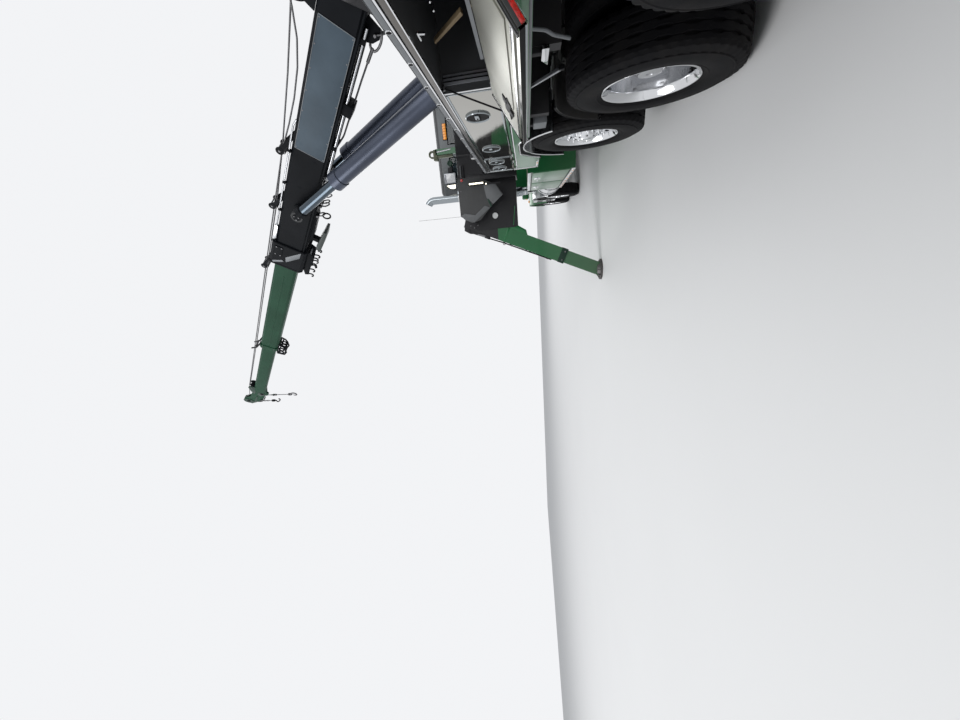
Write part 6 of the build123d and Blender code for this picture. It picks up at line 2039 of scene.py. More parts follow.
@dataclass
class Turret:
    """The turntable's bolts, edge ring, motors, valve bank, hoses and work lamps."""

    plate_radius: float = 0.78
    plate_low: float = 1.96
    plate_top: float = 2.02
    cheek_face: float = 0.277
    motor_out: float = 0.645
    bolt_circle: float = 0.72
    valves: int = 6
    pivot: tuple[float, float] = (-1.0, 3.16)

    def build(self, layout: Layout) -> None:
        """Dress the turret and its pedestal.

        Args:
            layout: The truck's places.
        """
        shape = Shape()
        shape.ring_of(
            36, self.bolt_circle, Matrix.Translation((0, 0, self.plate_top)),
            lambda spot: shape.bolt(spot, 0.032, Finish.RAW_STEEL))
        shape.turned(
            (
                (self.plate_radius, self.plate_low), (self.plate_radius + 0.012, self.plate_low + 0.01),
                (self.plate_radius + 0.012, self.plate_top - 0.01), (self.plate_radius, self.plate_top),
            ),
            Finish.BLACK, None, 72)
        self.cheeks(shape)
        self.motors(shape)
        self.valve_bank(shape)
        # control box and lamps on the plate's edge
        shape.block((0.16, -0.668, 2.02), (0.39, -0.53, 2.36), Finish.GREY_COVER, 0.012)
        shape.block((0.18, -0.673, 2.08), (0.37, -0.666, 2.33), Finish.SATIN_BLACK, 0.002)
        for y in (-0.2, 0.2):
            self.lamp(shape, Matrix.Translation((-1.16, y * 1.4, 2.62)) @ Matrix.Rotation(math.pi, 4, "Z"))
        shape.done("turret_fittings", "turret", layout.turret, "black_paint")
        self.pedestal(layout)

    def cheeks(self, shape: Shape) -> None:
        """Add the cheeks' pin caps, ribs, rolled edges and holes.

        Args:
            shape: The shape it joins.
        """
        px, pz = self.pivot
        outer = self.cheek_face
        for y in (-1, 1):
            cap = facing((px, y * outer, pz), y)
            shape.turned(
                ((0.155, 0.0), (0.155, 0.006), (0.10, 0.012), (0.10, 0.03), (0.092, 0.038), (0.0, 0.038)),
                Finish.BLACK, cap, 48)
            shape.ring_of(
                8, 0.074, cap @ Matrix.Translation((0, 0, 0.037)),
                lambda spot: shape.bolt(spot, 0.026, Finish.RAW_STEEL))
            rib = [
                (-1.05, self.plate_top), (-0.24, self.plate_top), (-0.24, self.plate_top + 0.05),
                (-1.06, self.plate_top + 0.05),
            ]
            shape.plate(rib, 0.02, Finish.BLACK, facing((0, y * outer + (0.02 if y > 0 else 0.0), 0), -1))
            edge = ((-0.24, 2.44), (-0.74, 3.0), (-0.885, 3.27), (-1.14, 3.25), (-1.18, 3.0), (-1.05, 2.06))
            for (x0, z0), (x1, z1) in zip(edge, edge[1:]):
                shape.rod((x0, y * (outer - 0.02), z0), (x1, y * (outer - 0.02), z1), 0.012, Finish.BLACK, 10)
            # the holes are dark dished discs: painted shade in place of open holes
            for x in (-0.62, -0.86):
                hole = facing((x, y * (outer + 0.001), 2.55 - x * 0.12), y)
                shape.turned(
                    ((0.07, 0.0), (0.07, 0.01), (0.058, 0.01), (0.054, 0.004), (0.0, 0.002)),
                    Finish.SATIN_BLACK, hole, 32)

    def motors(self, shape: Shape) -> None:
        """Add the slewing motors, one on each side of the plate.

        Args:
            shape: The shape it joins.
        """
        for y in (-1, 1):
            at = Matrix.Translation((0.0, y * self.motor_out, self.plate_top))
            shape.turned(
                (
                    (0.12, 0.0), (0.12, 0.05), (0.095, 0.06), (0.095, 0.22), (0.075, 0.25), (0.075, 0.36),
                    (0.06, 0.38), (0.0, 0.38),
                ),
                Finish.SATIN_BLACK, at, 36)
            shape.ring_of(
                8, 0.107, at @ Matrix.Translation((0, 0, 0.05)),
                lambda spot: shape.bolt(spot, 0.02, Finish.RAW_STEEL))

    def valve_bank(self, shape: Shape) -> None:
        """Add the valve bank between the cheeks, with hoses to a rail behind it.

        Args:
            shape: The shape it joins.
        """
        shape.block((-0.82, -0.17, 2.02), (-0.42, 0.17, 2.28), Finish.SATIN_BLACK, 0.01)
        for i in range(self.valves):
            y = -0.14 + i * 0.056
            shape.rod((-0.42, y, 2.2), (-0.36, y, 2.2), 0.017, Finish.RAW_STEEL, 12)
            shape.rod((-0.62, y, 2.28), (-0.62, y, 2.33), 0.014, Finish.RAW_STEEL, 12)
            shape.pipe(
                ((-0.62, y, 2.32), (-0.62, y, 2.44), (-0.80, y, 2.58), (-1.02, y, 2.58)), 0.013,
                Finish.SEAL, 0.1, 10)
        shape.block((-1.06, -0.20, 2.545), (-1.01, 0.20, 2.615), Finish.BLACK, 0.004)

    def pedestal(self, layout: Layout) -> None:
        """Dress the pedestal: its rings, ribs and bolts.

        Args:
            layout: The truck's places.
        """
        base = Shape()
        ring = Matrix.Translation((0, 0, 1.86))
        base.turned(((0.54, 1.53), (0.60, 1.53), (0.60, 1.545), (0.545, 1.56)), Finish.BLACK, None, 64)
        base.turned(((0.54, 1.80), (0.556, 1.81), (0.556, 1.885), (0.54, 1.897)), Finish.RAW_STEEL, None, 96)
        for i in range(12):
            turn = Matrix.Rotation(i * math.pi / 6, 4, "Z")
            base.plate([(0.535, 1.53), (0.66, 1.53), (0.66, 1.56), (0.545, 1.79)], 0.016, Finish.BLACK,
                       turn @ facing((0, 0.008, 0), -1))
        base.ring_of(
            32, 0.545, ring,
            lambda spot: base.bolt(
                spot @ Matrix.Rotation(math.pi / 2, 4, "Y") @ Matrix.Translation((0, 0, 0.01)), 0.024,
                Finish.RAW_STEEL))
        base.done("pedestal_fittings", "chassis", layout.turret, "black_paint")

    @staticmethod
    def lamp(shape: Shape, place: Matrix, lit: bool = False) -> None:
        """Add a square work lamp that faces along its place's X.

        Args:
            shape: The shape it joins.
            place: The lamp's place.
            lit: Whether it is on.
        """
        shape.block((-0.05, -0.055, -0.055), (0.0, 0.055, 0.055), Finish.SATIN_BLACK, 0.012, place)
        shape.block(
            (-0.002, -0.046, -0.046), (0.006, 0.046, 0.046), Finish.WORK_LIGHT if lit else Finish.CLEAR,
            0.003, place)
        shape.block((-0.035, -0.012, -0.09), (-0.015, 0.012, -0.05), Finish.SATIN_BLACK, 0.003, place)


@dataclass
class Cushion:
    """One seat pad: crowned, with its sides pulled in between its corners and a piped seam."""

    name: str
    width: float
    length: float
    thick: float
    place: Matrix
    crown: float = 0.028
    steps: int = 20
    channels: int = 4

    def skin(self, u: float, v: float) -> float:
        """Return how full the pad is at a point of its face.

        Args:
            u: Across, from -1 to 1.
            v: Along, from -1 to 1.

        Returns:
            From 0 at the edge to 1 over most of the face, lower along the sewn channels.
        """
        full = ((1 - u**4) * (1 - v**4)) ** 0.35
        sewn = 1 - 0.30 * math.exp(
            -((math.sin(self.channels * math.pi * (v + 1) / 2) / 0.16) ** 2),
        ) * (abs(u) < 0.72)
        return full * sewn

    def build(self) -> None:
        """Make the pad and its seam."""
        bm = bmesh.new()
        n = self.steps
        faces: list[list[list[bmesh.types.BMVert]]] = []
        for top in (1, -1):
            rows = []
            for j in range(n + 1):
                row = []
                for i in range(n + 1):
                    u, v = 2 * i / n - 1, 2 * j / n - 1
                    waist = 1 - 0.03 * (1 - v * v) * abs(u) ** 3
                    waist_v = 1 - 0.03 * (1 - u * u) * abs(v) ** 3
                    edge = 1 - self.skin(u, v)
                    height = top * (
                        self.thick / 2 * (1 - 0.45 * edge) + (self.crown if top > 0 else 0.004) * (1 - edge)
                    )
                    row.append(
                        bm.verts.new((u * self.width / 2 * waist, v * self.length / 2 * waist_v, height)))
                rows.append(row)
            faces.append(rows)
            for j in range(n):
                for i in range(n):
                    ring = (rows[j][i], rows[j][i + 1], rows[j + 1][i + 1], rows[j + 1][i])
                    bm.faces.new(ring if top > 0 else tuple(reversed(ring)))
        top_rows, low_rows = faces
        border = [(0, i) for i in range(n)] + [(j, n) for j in range(n)]
        border += [(n, n - i) for i in range(n)] + [(n - j, 0) for j in range(n)]
        for (a, b), (c, d) in zip(border, border[1:] + border[:1]):
            bm.faces.new((top_rows[a][b], low_rows[a][b], low_rows[c][d], top_rows[c][d]))
        bmesh.ops.recalc_face_normals(bm, faces=bm.faces[:])
        seam = [top_rows[a][b].co.lerp(low_rows[a][b].co, 0.12) * 1.004 for a, b in border]
        bm.transform(self.place)
        mesh = bpy.data.meshes.new(self.name)
        bm.to_mesh(mesh)
        bm.free()
        mesh.materials.append(SHOP.get(Finish.SEAT))
        mesh.shade_smooth()
        piece = add_piece(self.name, mesh, "chassis")
        smooth = piece.modifiers.new("smooth", "SUBSURF")
        smooth.levels = smooth.render_levels = 1
        piping = Shape()
        piping.pipe(seam, 0.0045, Finish.TRIM, 0.0, 6, closed=True)
        piping.done(f"{self.name}_piping", "chassis", self.place, "trim")


@dataclass
class Cab:
    """The cab's dressing: roof lamps, horns, visor, mirrors, handles, wipers, aerial, seats and dash."""

    half: float = 1.01
    rear: float = 3.54
    cowl: tuple[float, float] = (5.18, 2.3)
    screen_top: tuple[float, float] = (4.90, 3.24)
    roof: float = 3.50
    door: tuple[float, float] = (4.16, 5.08)
    seat_x: float = 3.9
    seat_y: float = 0.48
    floor: float = 1.235
    mirror_x: float = 5.13
    mirror_out: float = 1.36
    mirror_arms: tuple[float, float] = (2.36, 3.02)
    aerial_out: float = 1.45
    grab_bar_x: float = 4.08
    grab_bar_out: float = 1.06
    roof_lamp_x: float = 4.66
    roof_lamps: tuple[float, ...] = (-0.76, -0.38, 0.0, 0.38, 0.76)
    horn_out: float = 0.44
    gauges: tuple[float, ...] = (0.32, 0.44, 0.56, 0.66)
    steering_radius: float = 0.212
    steering_spokes: tuple[float, ...] = (0.0, 2.3, 3.98)
    dash_width: float = 1.92
    visor_width: float = 1.86
    # the windscreen's half width, low edge and high edge, in its own place
    screen: tuple[float, float, float] = (0.905, 0.042, 0.936)

    def roof_pieces(self, layout: Layout) -> None:
        """Add the roof's marker lamps, horns and visor.

        Args:
            layout: The truck's places.
        """
        shape = Shape()
        for y in self.roof_lamps:
            spot = Matrix.Translation((self.roof_lamp_x, y, self.roof)) @ Matrix.Diagonal((1.7, 0.8, 1, 1))
            shape.turned(((0.05, 0.0), (0.05, 0.008), (0.0, 0.009)), Finish.CHROME, spot, 24)
            shape.turned(((0.041, 0.006), (0.04, 0.02), (0.03, 0.036), (0.0, 0.044)), Finish.AMBER, spot, 24)
        for y in (-self.horn_out, self.horn_out):
            bell = facing_x((4.62, y, self.roof + 0.085), 1)
            shape.turned(
                (
                    (0.075, 0.0), (0.056, -0.02), (0.034, -0.07), (0.02, -0.18), (0.016, -0.40),
                    (0.024, -0.42), (0.03, -0.46), (0.0, -0.47), (0.0, -0.47),
                ),
                Finish.CHROME, bell, 32)
            shape.turned(
                ((0.075, 0.0), (0.05, -0.022), (0.028, -0.075), (0.0, -0.1)), Finish.SATIN_BLACK, bell, 32)
            for x in (4.22, 4.5):
                shape.block(
                    (x, y - 0.012, self.roof - 0.003), (x + 0.03, y + 0.012, self.roof + 0.075),
                    Finish.CHROME)
        self.visor(shape)
        # drip rails, sill strips and the rear windows' seals
        for y in (-1, 1):
            shape.block(
                (3.66, y * (self.half - 0.004), 3.165), (4.86, y * (self.half + 0.006), 3.178),
                Finish.CHROME, 0.002)
            shape.block(
                (3.60, y * (self.half - 0.002), 1.235), (5.16, y * (self.half + 0.004), 1.262),
                Finish.STAINLESS, 0.002)
            for low, high in (((0.14, 2.65), (0.72, 2.66)), ((0.14, 3.18), (0.72, 3.19))):
                shape.block(
                    (self.rear - 0.008, y * low[0], low[1]),
                    (self.rear + 0.004, y * high[0], high[1] + 0.012), Finish.SEAL, 0.003)
            for inner in (0.135, 0.705):
                shape.block(
                    (self.rear - 0.008, y * inner, 2.65), (self.rear + 0.004, y * (inner + 0.02), 3.2),
                    Finish.SEAL, 0.003)
        self.rear_lamps(shape)
        shape.done("cab_roof_pieces", "chassis", layout.truck, "bright")

    def visor(self, shape: Shape) -> None:
        """Add the sun visor, bent, over the windscreen.

        Args:
            shape: The shape it joins.
        """
        top_x, top_z = self.screen_top
        profile = [
            (top_x - 0.02, top_z + 0.025), (top_x + 0.05, top_z + 0.03), (top_x + 0.22, top_z - 0.07),
            (top_x + 0.24, top_z - 0.13),
        ]
        lower = [(x - 0.004, z - 0.005) for x, z in reversed(profile)]
        shape.plate(
            profile + lower, self.visor_width, Finish.STAINLESS, facing((0, self.visor_width / 2, 0), -1),
            0.0015)
        for y in (-0.7, 0.0, 0.7):
            shape.pipe(
                ((top_x + 0.03, y, top_z - 0.06), (top_x + 0.16, y, top_z - 0.045)), 0.008, Finish.CHROME,
                0, 10)

    def rear_lamps(self, shape: Shape) -> None:
        """Add the lamps and the amber bar on the rear wall.

        Args:
            shape: The shape it joins.
        """
        # the lamps on the rear wall, left of the middle
        tall = [(0.875, 3.12), (0.858, 3.24), (0.77, 3.34), (0.76, 3.07), (0.86, 3.08)]
        shape.wall(tall, self.rear - 0.05, self.rear - 0.004, Finish.SILVER, 0.006)
        shape.wall(
            [(0.82 + (a - 0.82) * 0.8, 3.19 + (b - 3.19) * 0.8) for a, b in tall], self.rear - 0.054,
            self.rear - 0.048, Finish.WORK_LIGHT, 0.002)
        shape.block((self.rear - 0.06, 0.50, 3.07), (self.rear - 0.004, 0.735, 3.36), Finish.SILVER, 0.012)
        shape.block((self.rear - 0.064, 0.53, 3.325), (self.rear - 0.058, 0.69, 3.335), Finish.SEAL, 0.001)
        shape.block((self.rear - 0.064, 0.52, 3.09), (self.rear - 0.058, 0.715, 3.30), Finish.CLEAR, 0.002)
        shape.block(
            (self.rear - 0.05, 0.37, 3.14), (self.rear - 0.004, 0.48, 3.25), Finish.SATIN_BLACK, 0.008)
        shape.turned(
            ((0.066, 0.0), (0.066, 0.02), (0.05, 0.026), (0.045, 0.01), (0.0, 0.008)), Finish.HEAD_PAINT,
            facing_x((self.rear - 0.004, 0.275, 3.19), -1), 32)
        # the amber bar on the rear wall, right of the middle
        shape.block(
            (self.rear - 0.012, -0.60, 3.195), (self.rear + 0.004, -0.24, 3.295), Finish.SATIN_BLACK, 0.004,
        )
        for i in range(6):
            y0 = -0.59 + i * 0.057
            shape.block(
                (self.rear - 0.026, y0, 3.205), (self.rear - 0.010, y0 + 0.052, 3.285), Finish.AMBER, 0.006,
            )

    def screen_place(self, layout: Layout) -> Matrix:
        """Return the windscreen's place: X to the left, Y up the slant, Z out."""
        up = Vector((self.screen_top[0] - self.cowl[0], 0, self.screen_top[1] - self.cowl[1]))
        return layout.truck @ frame_of(
            (self.cowl[0], 0, self.cowl[1]), (0, 1, 0), Vector((0, 1, 0)).cross(up))

    def screen_pieces(self, layout: Layout) -> None:
        """Add the windscreen's seal, centre bar and wipers.

        Args:
            layout: The truck's places.
        """
        shape = Shape()
        w, low, high = self.screen
        for x0, x1, y0, y1 in (
            (-w, w, low - 0.02, low + 0.012), (-w, w, high - 0.012, high + 0.02),
            (-w - 0.012, -w + 0.015, low, high), (w - 0.015, w + 0.012, low, high),
            (-0.014, 0.014, low, high),
        ):
            shape.block((x0, y0, -0.012), (x1, y1, 0.007), Finish.SEAL, 0.004)
        for x in (-0.12, 0.66):
            shape.rod((x, 0.0, -0.01), (x, 0.0, 0.03), 0.018, Finish.SATIN_BLACK, 16)
            shape.pipe(
                ((x, 0.0, 0.025), (x - 0.16, 0.12, 0.03), (x - 0.42, 0.20, 0.022)), 0.007,
                Finish.SATIN_BLACK, 0.05, 8)
            shape.block((x - 0.72, 0.188, 0.006), (x - 0.05, 0.206, 0.02), Finish.SEAL, 0.003)
        shape.done("windscreen_pieces", "chassis", self.screen_place(layout), "trim")

    def mirrors(self, layout: Layout) -> None:
        """Hang the mirrors and the aerial beside the windscreen pillars.

        Args:
            layout: The truck's places.
        """
        for side in Side:
            shape = Shape()
            x, out = self.mirror_x, self.mirror_out
            for z in self.mirror_arms:
                shape.pipe(
                    (
                        (x - 0.03, self.half - 0.01, z), (x - 0.03, 1.12, z),
                        (x, out - 0.04, z + (0.04 if z < 2.7 else -0.04)),
                        (x, out, z + (0.12 if z < 2.7 else -0.12)),
                    ),
                    0.012, Finish.CHROME, 0.06, 12)
                shape.block(
                    (x - 0.07, self.half - 0.006, z - 0.04), (x + 0.01, self.half + 0.012, z + 0.04),
                    Finish.CHROME, 0.006)
            shape.rod((x, out, 2.44), (x, out, 2.94), 0.012, Finish.CHROME, 14)
            rear = [
                (1.20, 2.56), (1.215, 2.54), (1.445, 2.54), (1.46, 2.56), (1.46, 2.92), (1.43, 2.95),
                (1.23, 2.95), (1.20, 2.92),
            ]
            shape.plate(rear, 0.05, Finish.CHROME, facing_x((x - 0.02, 0, 0), 1), 0.016)
            face = [(1.33 + (y - 1.33) * 0.9, 2.745 + (z - 2.745) * 0.93) for y, z in rear]
            shape.plate(face, 0.004, Finish.STAINLESS, facing_x((x - 0.0225, 0, 0), 1), 0.001)
            spot = facing_x((x - 0.01, 1.33, 2.47), -1)
            shape.turned(
                ((0.085, 0.0), (0.085, 0.012), (0.06, 0.02), (0.0, 0.024)), Finish.STAINLESS, spot, 36)
            shape.turned(((0.085, 0.0), (0.06, -0.03), (0.0, -0.04)), Finish.CHROME, spot, 36)
            whip = self.aerial_out
            shape.rod((x - 0.02, whip, 2.90), (x - 0.02, whip, 2.99), 0.014, Finish.CHROME, 12)
            shape.pipe(
                ((x - 0.02, whip, 2.98), (x - 0.03, whip, 3.8), (x - 0.10, whip, 4.6)), 0.0035, Finish.TRIM,
                0.6, 8)
            shape.turned(((0.0, 3.05), (0.012, 3.055), (0.012, 3.12), (0.0, 3.13)), Finish.TRIM,
                         Matrix.Translation((x - 0.021, whip, 0)), 14)
            # a grab bar behind the door
            x, out = self.grab_bar_x, self.grab_bar_out
            shape.pipe(
                ((x, self.half, 1.55), (x, out, 1.58), (x, out, 2.92), (x, self.half, 2.95)), 0.013,
                Finish.CHROME, 0.03, 12)
            shape.done(f"mirror_and_grab_bar_{side.word}", "chassis", layout.side(side), "bright")

    def doors(self, layout: Layout) -> None:
        """Add each door's handle, window seal, lower trim and vent bar.

        Args:
            layout: The truck's places.
        """
        rear, front = self.door
        for side in Side:
            shape = Shape()
            y = self.half
            shape.block(
                (rear + 0.07, y - 0.002, 2.03), (rear + 0.27, y + 0.004, 2.12), Finish.SATIN_BLACK, 0.004)
            shape.pipe(
                (
                    (rear + 0.09, y, 2.075), (rear + 0.10, y + 0.035, 2.075),
                    (rear + 0.24, y + 0.035, 2.075), (rear + 0.25, y, 2.075),
                ),
                0.010, Finish.CHROME, 0.02, 12)
            shape.turned(((0.0, 0.0), (0.014, 0.001), (0.014, 0.008), (0.0, 0.01)), Finish.CHROME,
                         facing((rear + 0.14, y, 1.975), 1), 20)
            shape.block(
                (rear + 0.04, y - 0.002, 1.44), (front - 0.04, y + 0.005, 1.50), Finish.STAINLESS, 0.003)
            shape.block(
                (rear + 0.04, y - 0.002, 2.262), (front - 0.03, y + 0.006, 2.278), Finish.CHROME, 0.003)
            shape.block((rear + 0.012, y - 0.03, 2.322), (front - 0.11, y + 0.003, 2.345), Finish.SEAL, 0.003)
            for x in (rear + 0.02, rear + 0.09):
                shape.block((x, y - 0.018, 2.34), (x + 0.012, y + 0.003, 3.06), Finish.SEAL, 0.003)
            shape.block((4.70, y - 0.012, 2.35), (4.72, y + 0.002, 3.04), Finish.SATIN_BLACK, 0.003)
            shape.done(f"cab_door_trim_{side.word}", f"cab_door_{side.word}", layout.side(side), "bright")

    def inside(self, layout: Layout) -> None:
        """Make the dash, wheel and seats, in place of the plain solid.

        Args:
            layout: The truck's places.
        """
        shape = Shape()
        dash = [
            (5.13, 1.74), (5.13, 2.235), (5.10, 2.262), (5.04, 2.272), (4.86, 2.205), (4.812, 2.15),
            (4.812, 1.90), (4.86, 1.84), (5.01, 1.74),
        ]
        shape.plate(dash, self.dash_width, Finish.TRIM, facing((0, self.dash_width / 2, 0), -1), 0.012)
        shape.plate(
            [(0.22, 1.93), (0.74, 1.93), (0.76, 2.14), (0.66, 2.17), (0.30, 2.17), (0.20, 2.14)], 0.02,
            Finish.SATIN_BLACK, facing_x((4.795, 0, 0), 1), 0.006)
        for y in self.gauges:
            gauge = facing_x((4.797, y, 2.07), -1)
            shape.turned(
                ((0.045, 0.0), (0.045, 0.008), (0.038, 0.008), (0.036, 0.002), (0.0, 0.002)), Finish.CHROME,
                gauge, 28)
        hub = Vector((4.615, self.seat_y, 2.17))
        tilt = frame_of(hub, (0, 1, 0), (-0.862, 0, 0.507))
        rim = [(u, v, 0.0) for u, v in circle((0.0, 0.0), self.steering_radius, 0.0, 7.5, 48)]
        steering = Shape()
        steering.pipe(rim, 0.0155, Finish.TRIM, 0.0, 10, closed=True)
        for a in self.steering_spokes:
            steering.pipe(
                (
                    (0.03 * math.cos(a), 0.03 * math.sin(a), 0.0),
                    (0.205 * math.cos(a), 0.205 * math.sin(a), 0.0),
                ),
                0.009, Finish.CHROME, 0.0, 8)
        steering.turned(
            ((0.0, -0.03), (0.045, -0.028), (0.055, 0.0), (0.045, 0.012), (0.0, 0.016)), Finish.TRIM, None,
            28)
        steering.done("steering_wheel", "chassis", layout.truck @ tilt, "trim")
        shape.rod((4.64, self.seat_y, 2.15), (4.85, self.seat_y, 2.03), 0.032, Finish.TRIM, 20)
        for side in (-1, 1):
            y = side * self.seat_y
            shape.block(
                (self.seat_x + 0.07, y - 0.17, self.floor),
                (self.seat_x + 0.40, y + 0.17, self.floor + 0.05), Finish.SATIN_BLACK)
            shape.block(
                (self.seat_x + 0.12, y - 0.15, self.floor + 0.05),
                (self.seat_x + 0.36, y + 0.15, self.floor + 0.27), Finish.SEAL, 0.02)
            shape.block(
                (self.seat_x + 0.02, y - 0.21, self.floor + 0.27),
                (self.seat_x + 0.42, y + 0.21, self.floor + 0.34), Finish.SATIN_BLACK, 0.01)
            word = "left" if side > 0 else "right"
            base = layout.truck @ Matrix.Translation(
                (self.seat_x + 0.26, y, self.floor + 0.405),
            ) @ Matrix.Rotation(math.pi / 2, 4, "Z")
            Cushion(f"seat_cushion_{word}", 0.50, 0.50, 0.12, base).build()
            lean = math.atan2(0.13, 0.8)
            back = layout.truck @ Matrix.Translation(
                (self.seat_x + 0.02, y, self.floor + 0.86),
            ) @ Matrix.Rotation(-lean, 4, "Y")
            back = back @ facing_x((0, 0, 0), 1)
            Cushion(f"seat_back_{word}", 0.48, 0.76, 0.11, back, channels=5).build()
        piece = shape.done("dash_and_seat_frames", "chassis", layout.truck, "trim")
        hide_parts("cab_interior")

    def build(self, layout: Layout) -> None:
        """Dress the cab.

        Args:
            layout: The truck's places.
        """
        self.roof_pieces(layout)
        self.screen_pieces(layout)
        self.mirrors(layout)
        self.doors(layout)
        self.inside(layout)


@dataclass
class FrontEnd:
    """The hood's lamps, vents and latches, the radiator and the bumper's lamps."""

    axle_x: float = 6.3
    tyre_z: float = 0.53
    fender_radius: float = 0.712
    fender_out: float = 1.27
    hood_rear: tuple[float, float] = (5.19, 0.88)
    hood_front: tuple[float, float] = (7.12, 0.56)
    pod_lamps: tuple[float, float] = (0.72, 0.90)
    pod_z: float = 1.355
    hood_latches: tuple[float, float] = (5.27, 6.62)
    louvres: int = 7
    grille_bars: int = 21
    radiator_fins: int = 28

    def hood_side(self, layout: Layout, side: Side) -> None:
        """Dress one side of the hood: lamp pod, fender lip, louvres and latches.

        Args:
            layout: The truck's places.
            side: The side it is on.
        """
        shape = Shape()
        # the lamp pod between fender and hood
        shape.block((6.80, 0.60, 1.24), (7.06, 1.02, 1.47), Finish.GREEN, 0.05)
        shape.block((7.045, 0.63, 1.265), (7.075, 0.99, 1.445), Finish.CHROME, 0.02)
        for y in self.pod_lamps:
            spot = facing_x((7.072, y, self.pod_z), 1)
            shape.turned(
                ((0.082, 0.0), (0.082, 0.01), (0.074, 0.014), (0.07, 0.006), (0.07, 0.0)), Finish.CHROME,
                spot, 36)
            shape.turned(
                ((0.072, 0.002), (0.066, 0.014), (0.04, 0.022), (0.0, 0.025)), Finish.CLEAR, spot, 36)
        shape.block((6.86, 1.018, 1.30), (7.02, 1.032, 1.36), Finish.AMBER, 0.006)
        # a rolled lip round the fender's edge
        edge = circle((self.axle_x, self.tyre_z), self.fender_radius - 0.006, 16.5, 6.125, 25)
        shape.pipe([(x, self.fender_out, z) for x, z in edge], 0.011, Finish.GREEN, 0.0, 10)
        lamp = Matrix.Translation((self.axle_x, self.fender_out - 0.12, self.tyre_z + self.fender_radius))
        shape.turned(((0.04, -0.004), (0.04, 0.012), (0.03, 0.03), (0.0, 0.036)), Finish.AMBER, lamp, 24)
        # louvres on the hood's side, latches and bright strips
        rear, out = self.hood_rear
        slope = (out - self.hood_front[1]) / (self.hood_front[0] - rear)
        run = Vector((1, -slope, 0)).normalized()
        for i in range(self.louvres):
            z = 1.70 + i * 0.035
            base = Vector((rear + 0.23, out - slope * 0.23 + 0.001, z))
            place = frame_of(base, run, (0, 0, 1))
            shape.block((0, -0.004, -0.006), (0.46, 0.012, 0.012), Finish.SATIN_BLACK, 0.004, place)
        strip = frame_of((rear + 0.02, out - slope * 0.02 + 0.0005, 1.40), run, (0, 0, 1))
        shape.block((0, -0.002, 0.0), (0.55, 0.005, 0.022), Finish.STAINLESS, 0.002, strip)
        for x in self.hood_latches:
            spot = frame_of((x, out - slope * (x - rear) + 0.004, 1.27), run, (0, 0, 1))
            shape.block((-0.03, -0.004, -0.05), (0.03, 0.018, 0.05), Finish.SEAL, 0.01, spot)
            shape.rod((-0.04, 0.018, 0.03), (0.04, 0.018, 0.03), 0.008, Finish.CHROME, 12)
        shape.done(f"hood_dressing_{side.word}", "hood", layout.side(side), "green_paint")

    def bumper(self, layout: Layout, side: Side) -> None:
        """Dress one side of the bumper: lamps, tread and bolts.

        Args:
            layout: The truck's places.
            side: The side it is on.
        """
        lamp_shape = Shape()
        for share in (0.32, 0.70):
            spot = Vector((7.42, 0.9, 0.66)).lerp(Vector((7.24, 1.24, 0.66)), share)
            face = frame_of(spot, (0, 0, 1), Vector((0.34, 0.18, 0)))
            lamp_shape.turned(
                ((0.062, -0.004), (0.062, 0.008), (0.055, 0.012), (0.052, 0.004), (0.052, -0.004)),
                Finish.CHROME, face, 32)
            lamp_shape.turned(
                ((0.053, 0.0), (0.048, 0.008), (0.03, 0.012), (0.0, 0.013)), Finish.CLEAR, face, 32)
        lamp_shape.block((7.24, 0.1, 0.898), (7.40, 0.86, 0.905), Finish.TREADPLATE, 0.002)
        for y in (0.16, 0.80):
            lamp_shape.turned(
                ((0.02, 0.0), (0.02, 0.012), (0.0, 0.016)), Finish.RAW_STEEL,
                Matrix.Translation((7.3, y, 0.904)), 20)
        lamp_shape.done(f"bumper_dressing_{side.word}", "chassis", layout.side(side), "bright")

    def grille(self, layout: Layout) -> None:
        """Add the hood's ridge and the grille's frame and bars.

        Args:
            layout: The truck's places.
        """
        trim = Shape()
        for y in (-0.19, 0.19):
            trim.block((5.25, y, 2.30), (5.28, y + 0.01, 2.305), Finish.CHROME)
        trim.plate([(5.6, 2.262), (6.9, 2.112), (6.9, 2.13), (5.6, 2.28)], 0.03, Finish.CHROME,
                   facing((0, 0.015, 0), -1), 0.005)
        trim.block((7.165, -0.52, 2.0), (7.19, 0.52, 2.04), Finish.CHROME, 0.006)
        trim.block((7.165, -0.52, 1.24), (7.19, 0.52, 1.27), Finish.CHROME, 0.006)
        for i in range(self.grille_bars):
            y = -0.48 + i * 0.048
            trim.block((7.135, y - 0.004, 1.26), (7.163, y + 0.004, 2.02), Finish.CHROME, 0.002)
        trim.done("grille_dressing", "hood", layout.truck, "bright")

    def radiator(self, layout: Layout) -> None:
        """Stand the radiator behind the grille, with its hose.

        Args:
            layout: The truck's places.
        """
        core = Shape()
        core.block((6.90, -0.47, 1.22), (7.0, 0.47, 1.98), Finish.SATIN_BLACK, 0.006)
        for i in range(self.radiator_fins):
            z = 1.25 + i * 0.026
            core.block((6.998, -0.45, z), (7.006, 0.45, z + 0.006), Finish.RAW_STEEL, 0.001)
        core.pipe(((6.85, 0.3, 1.9), (6.7, 0.3, 1.93), (6.6, 0.2, 1.91)), 0.03, Finish.SEAL, 0.05, 14)
        core.done("radiator", "chassis", layout.truck, "black_paint")

    def build(self, layout: Layout) -> None:
        """Dress the hood, grille and bumper.

        Args:
            layout: The truck's places.
        """
        for side in Side:
            self.hood_side(layout, side)
            self.bumper(layout, side)
        self.grille(layout)
        self.radiator(layout)
        EngineDress().build(layout)


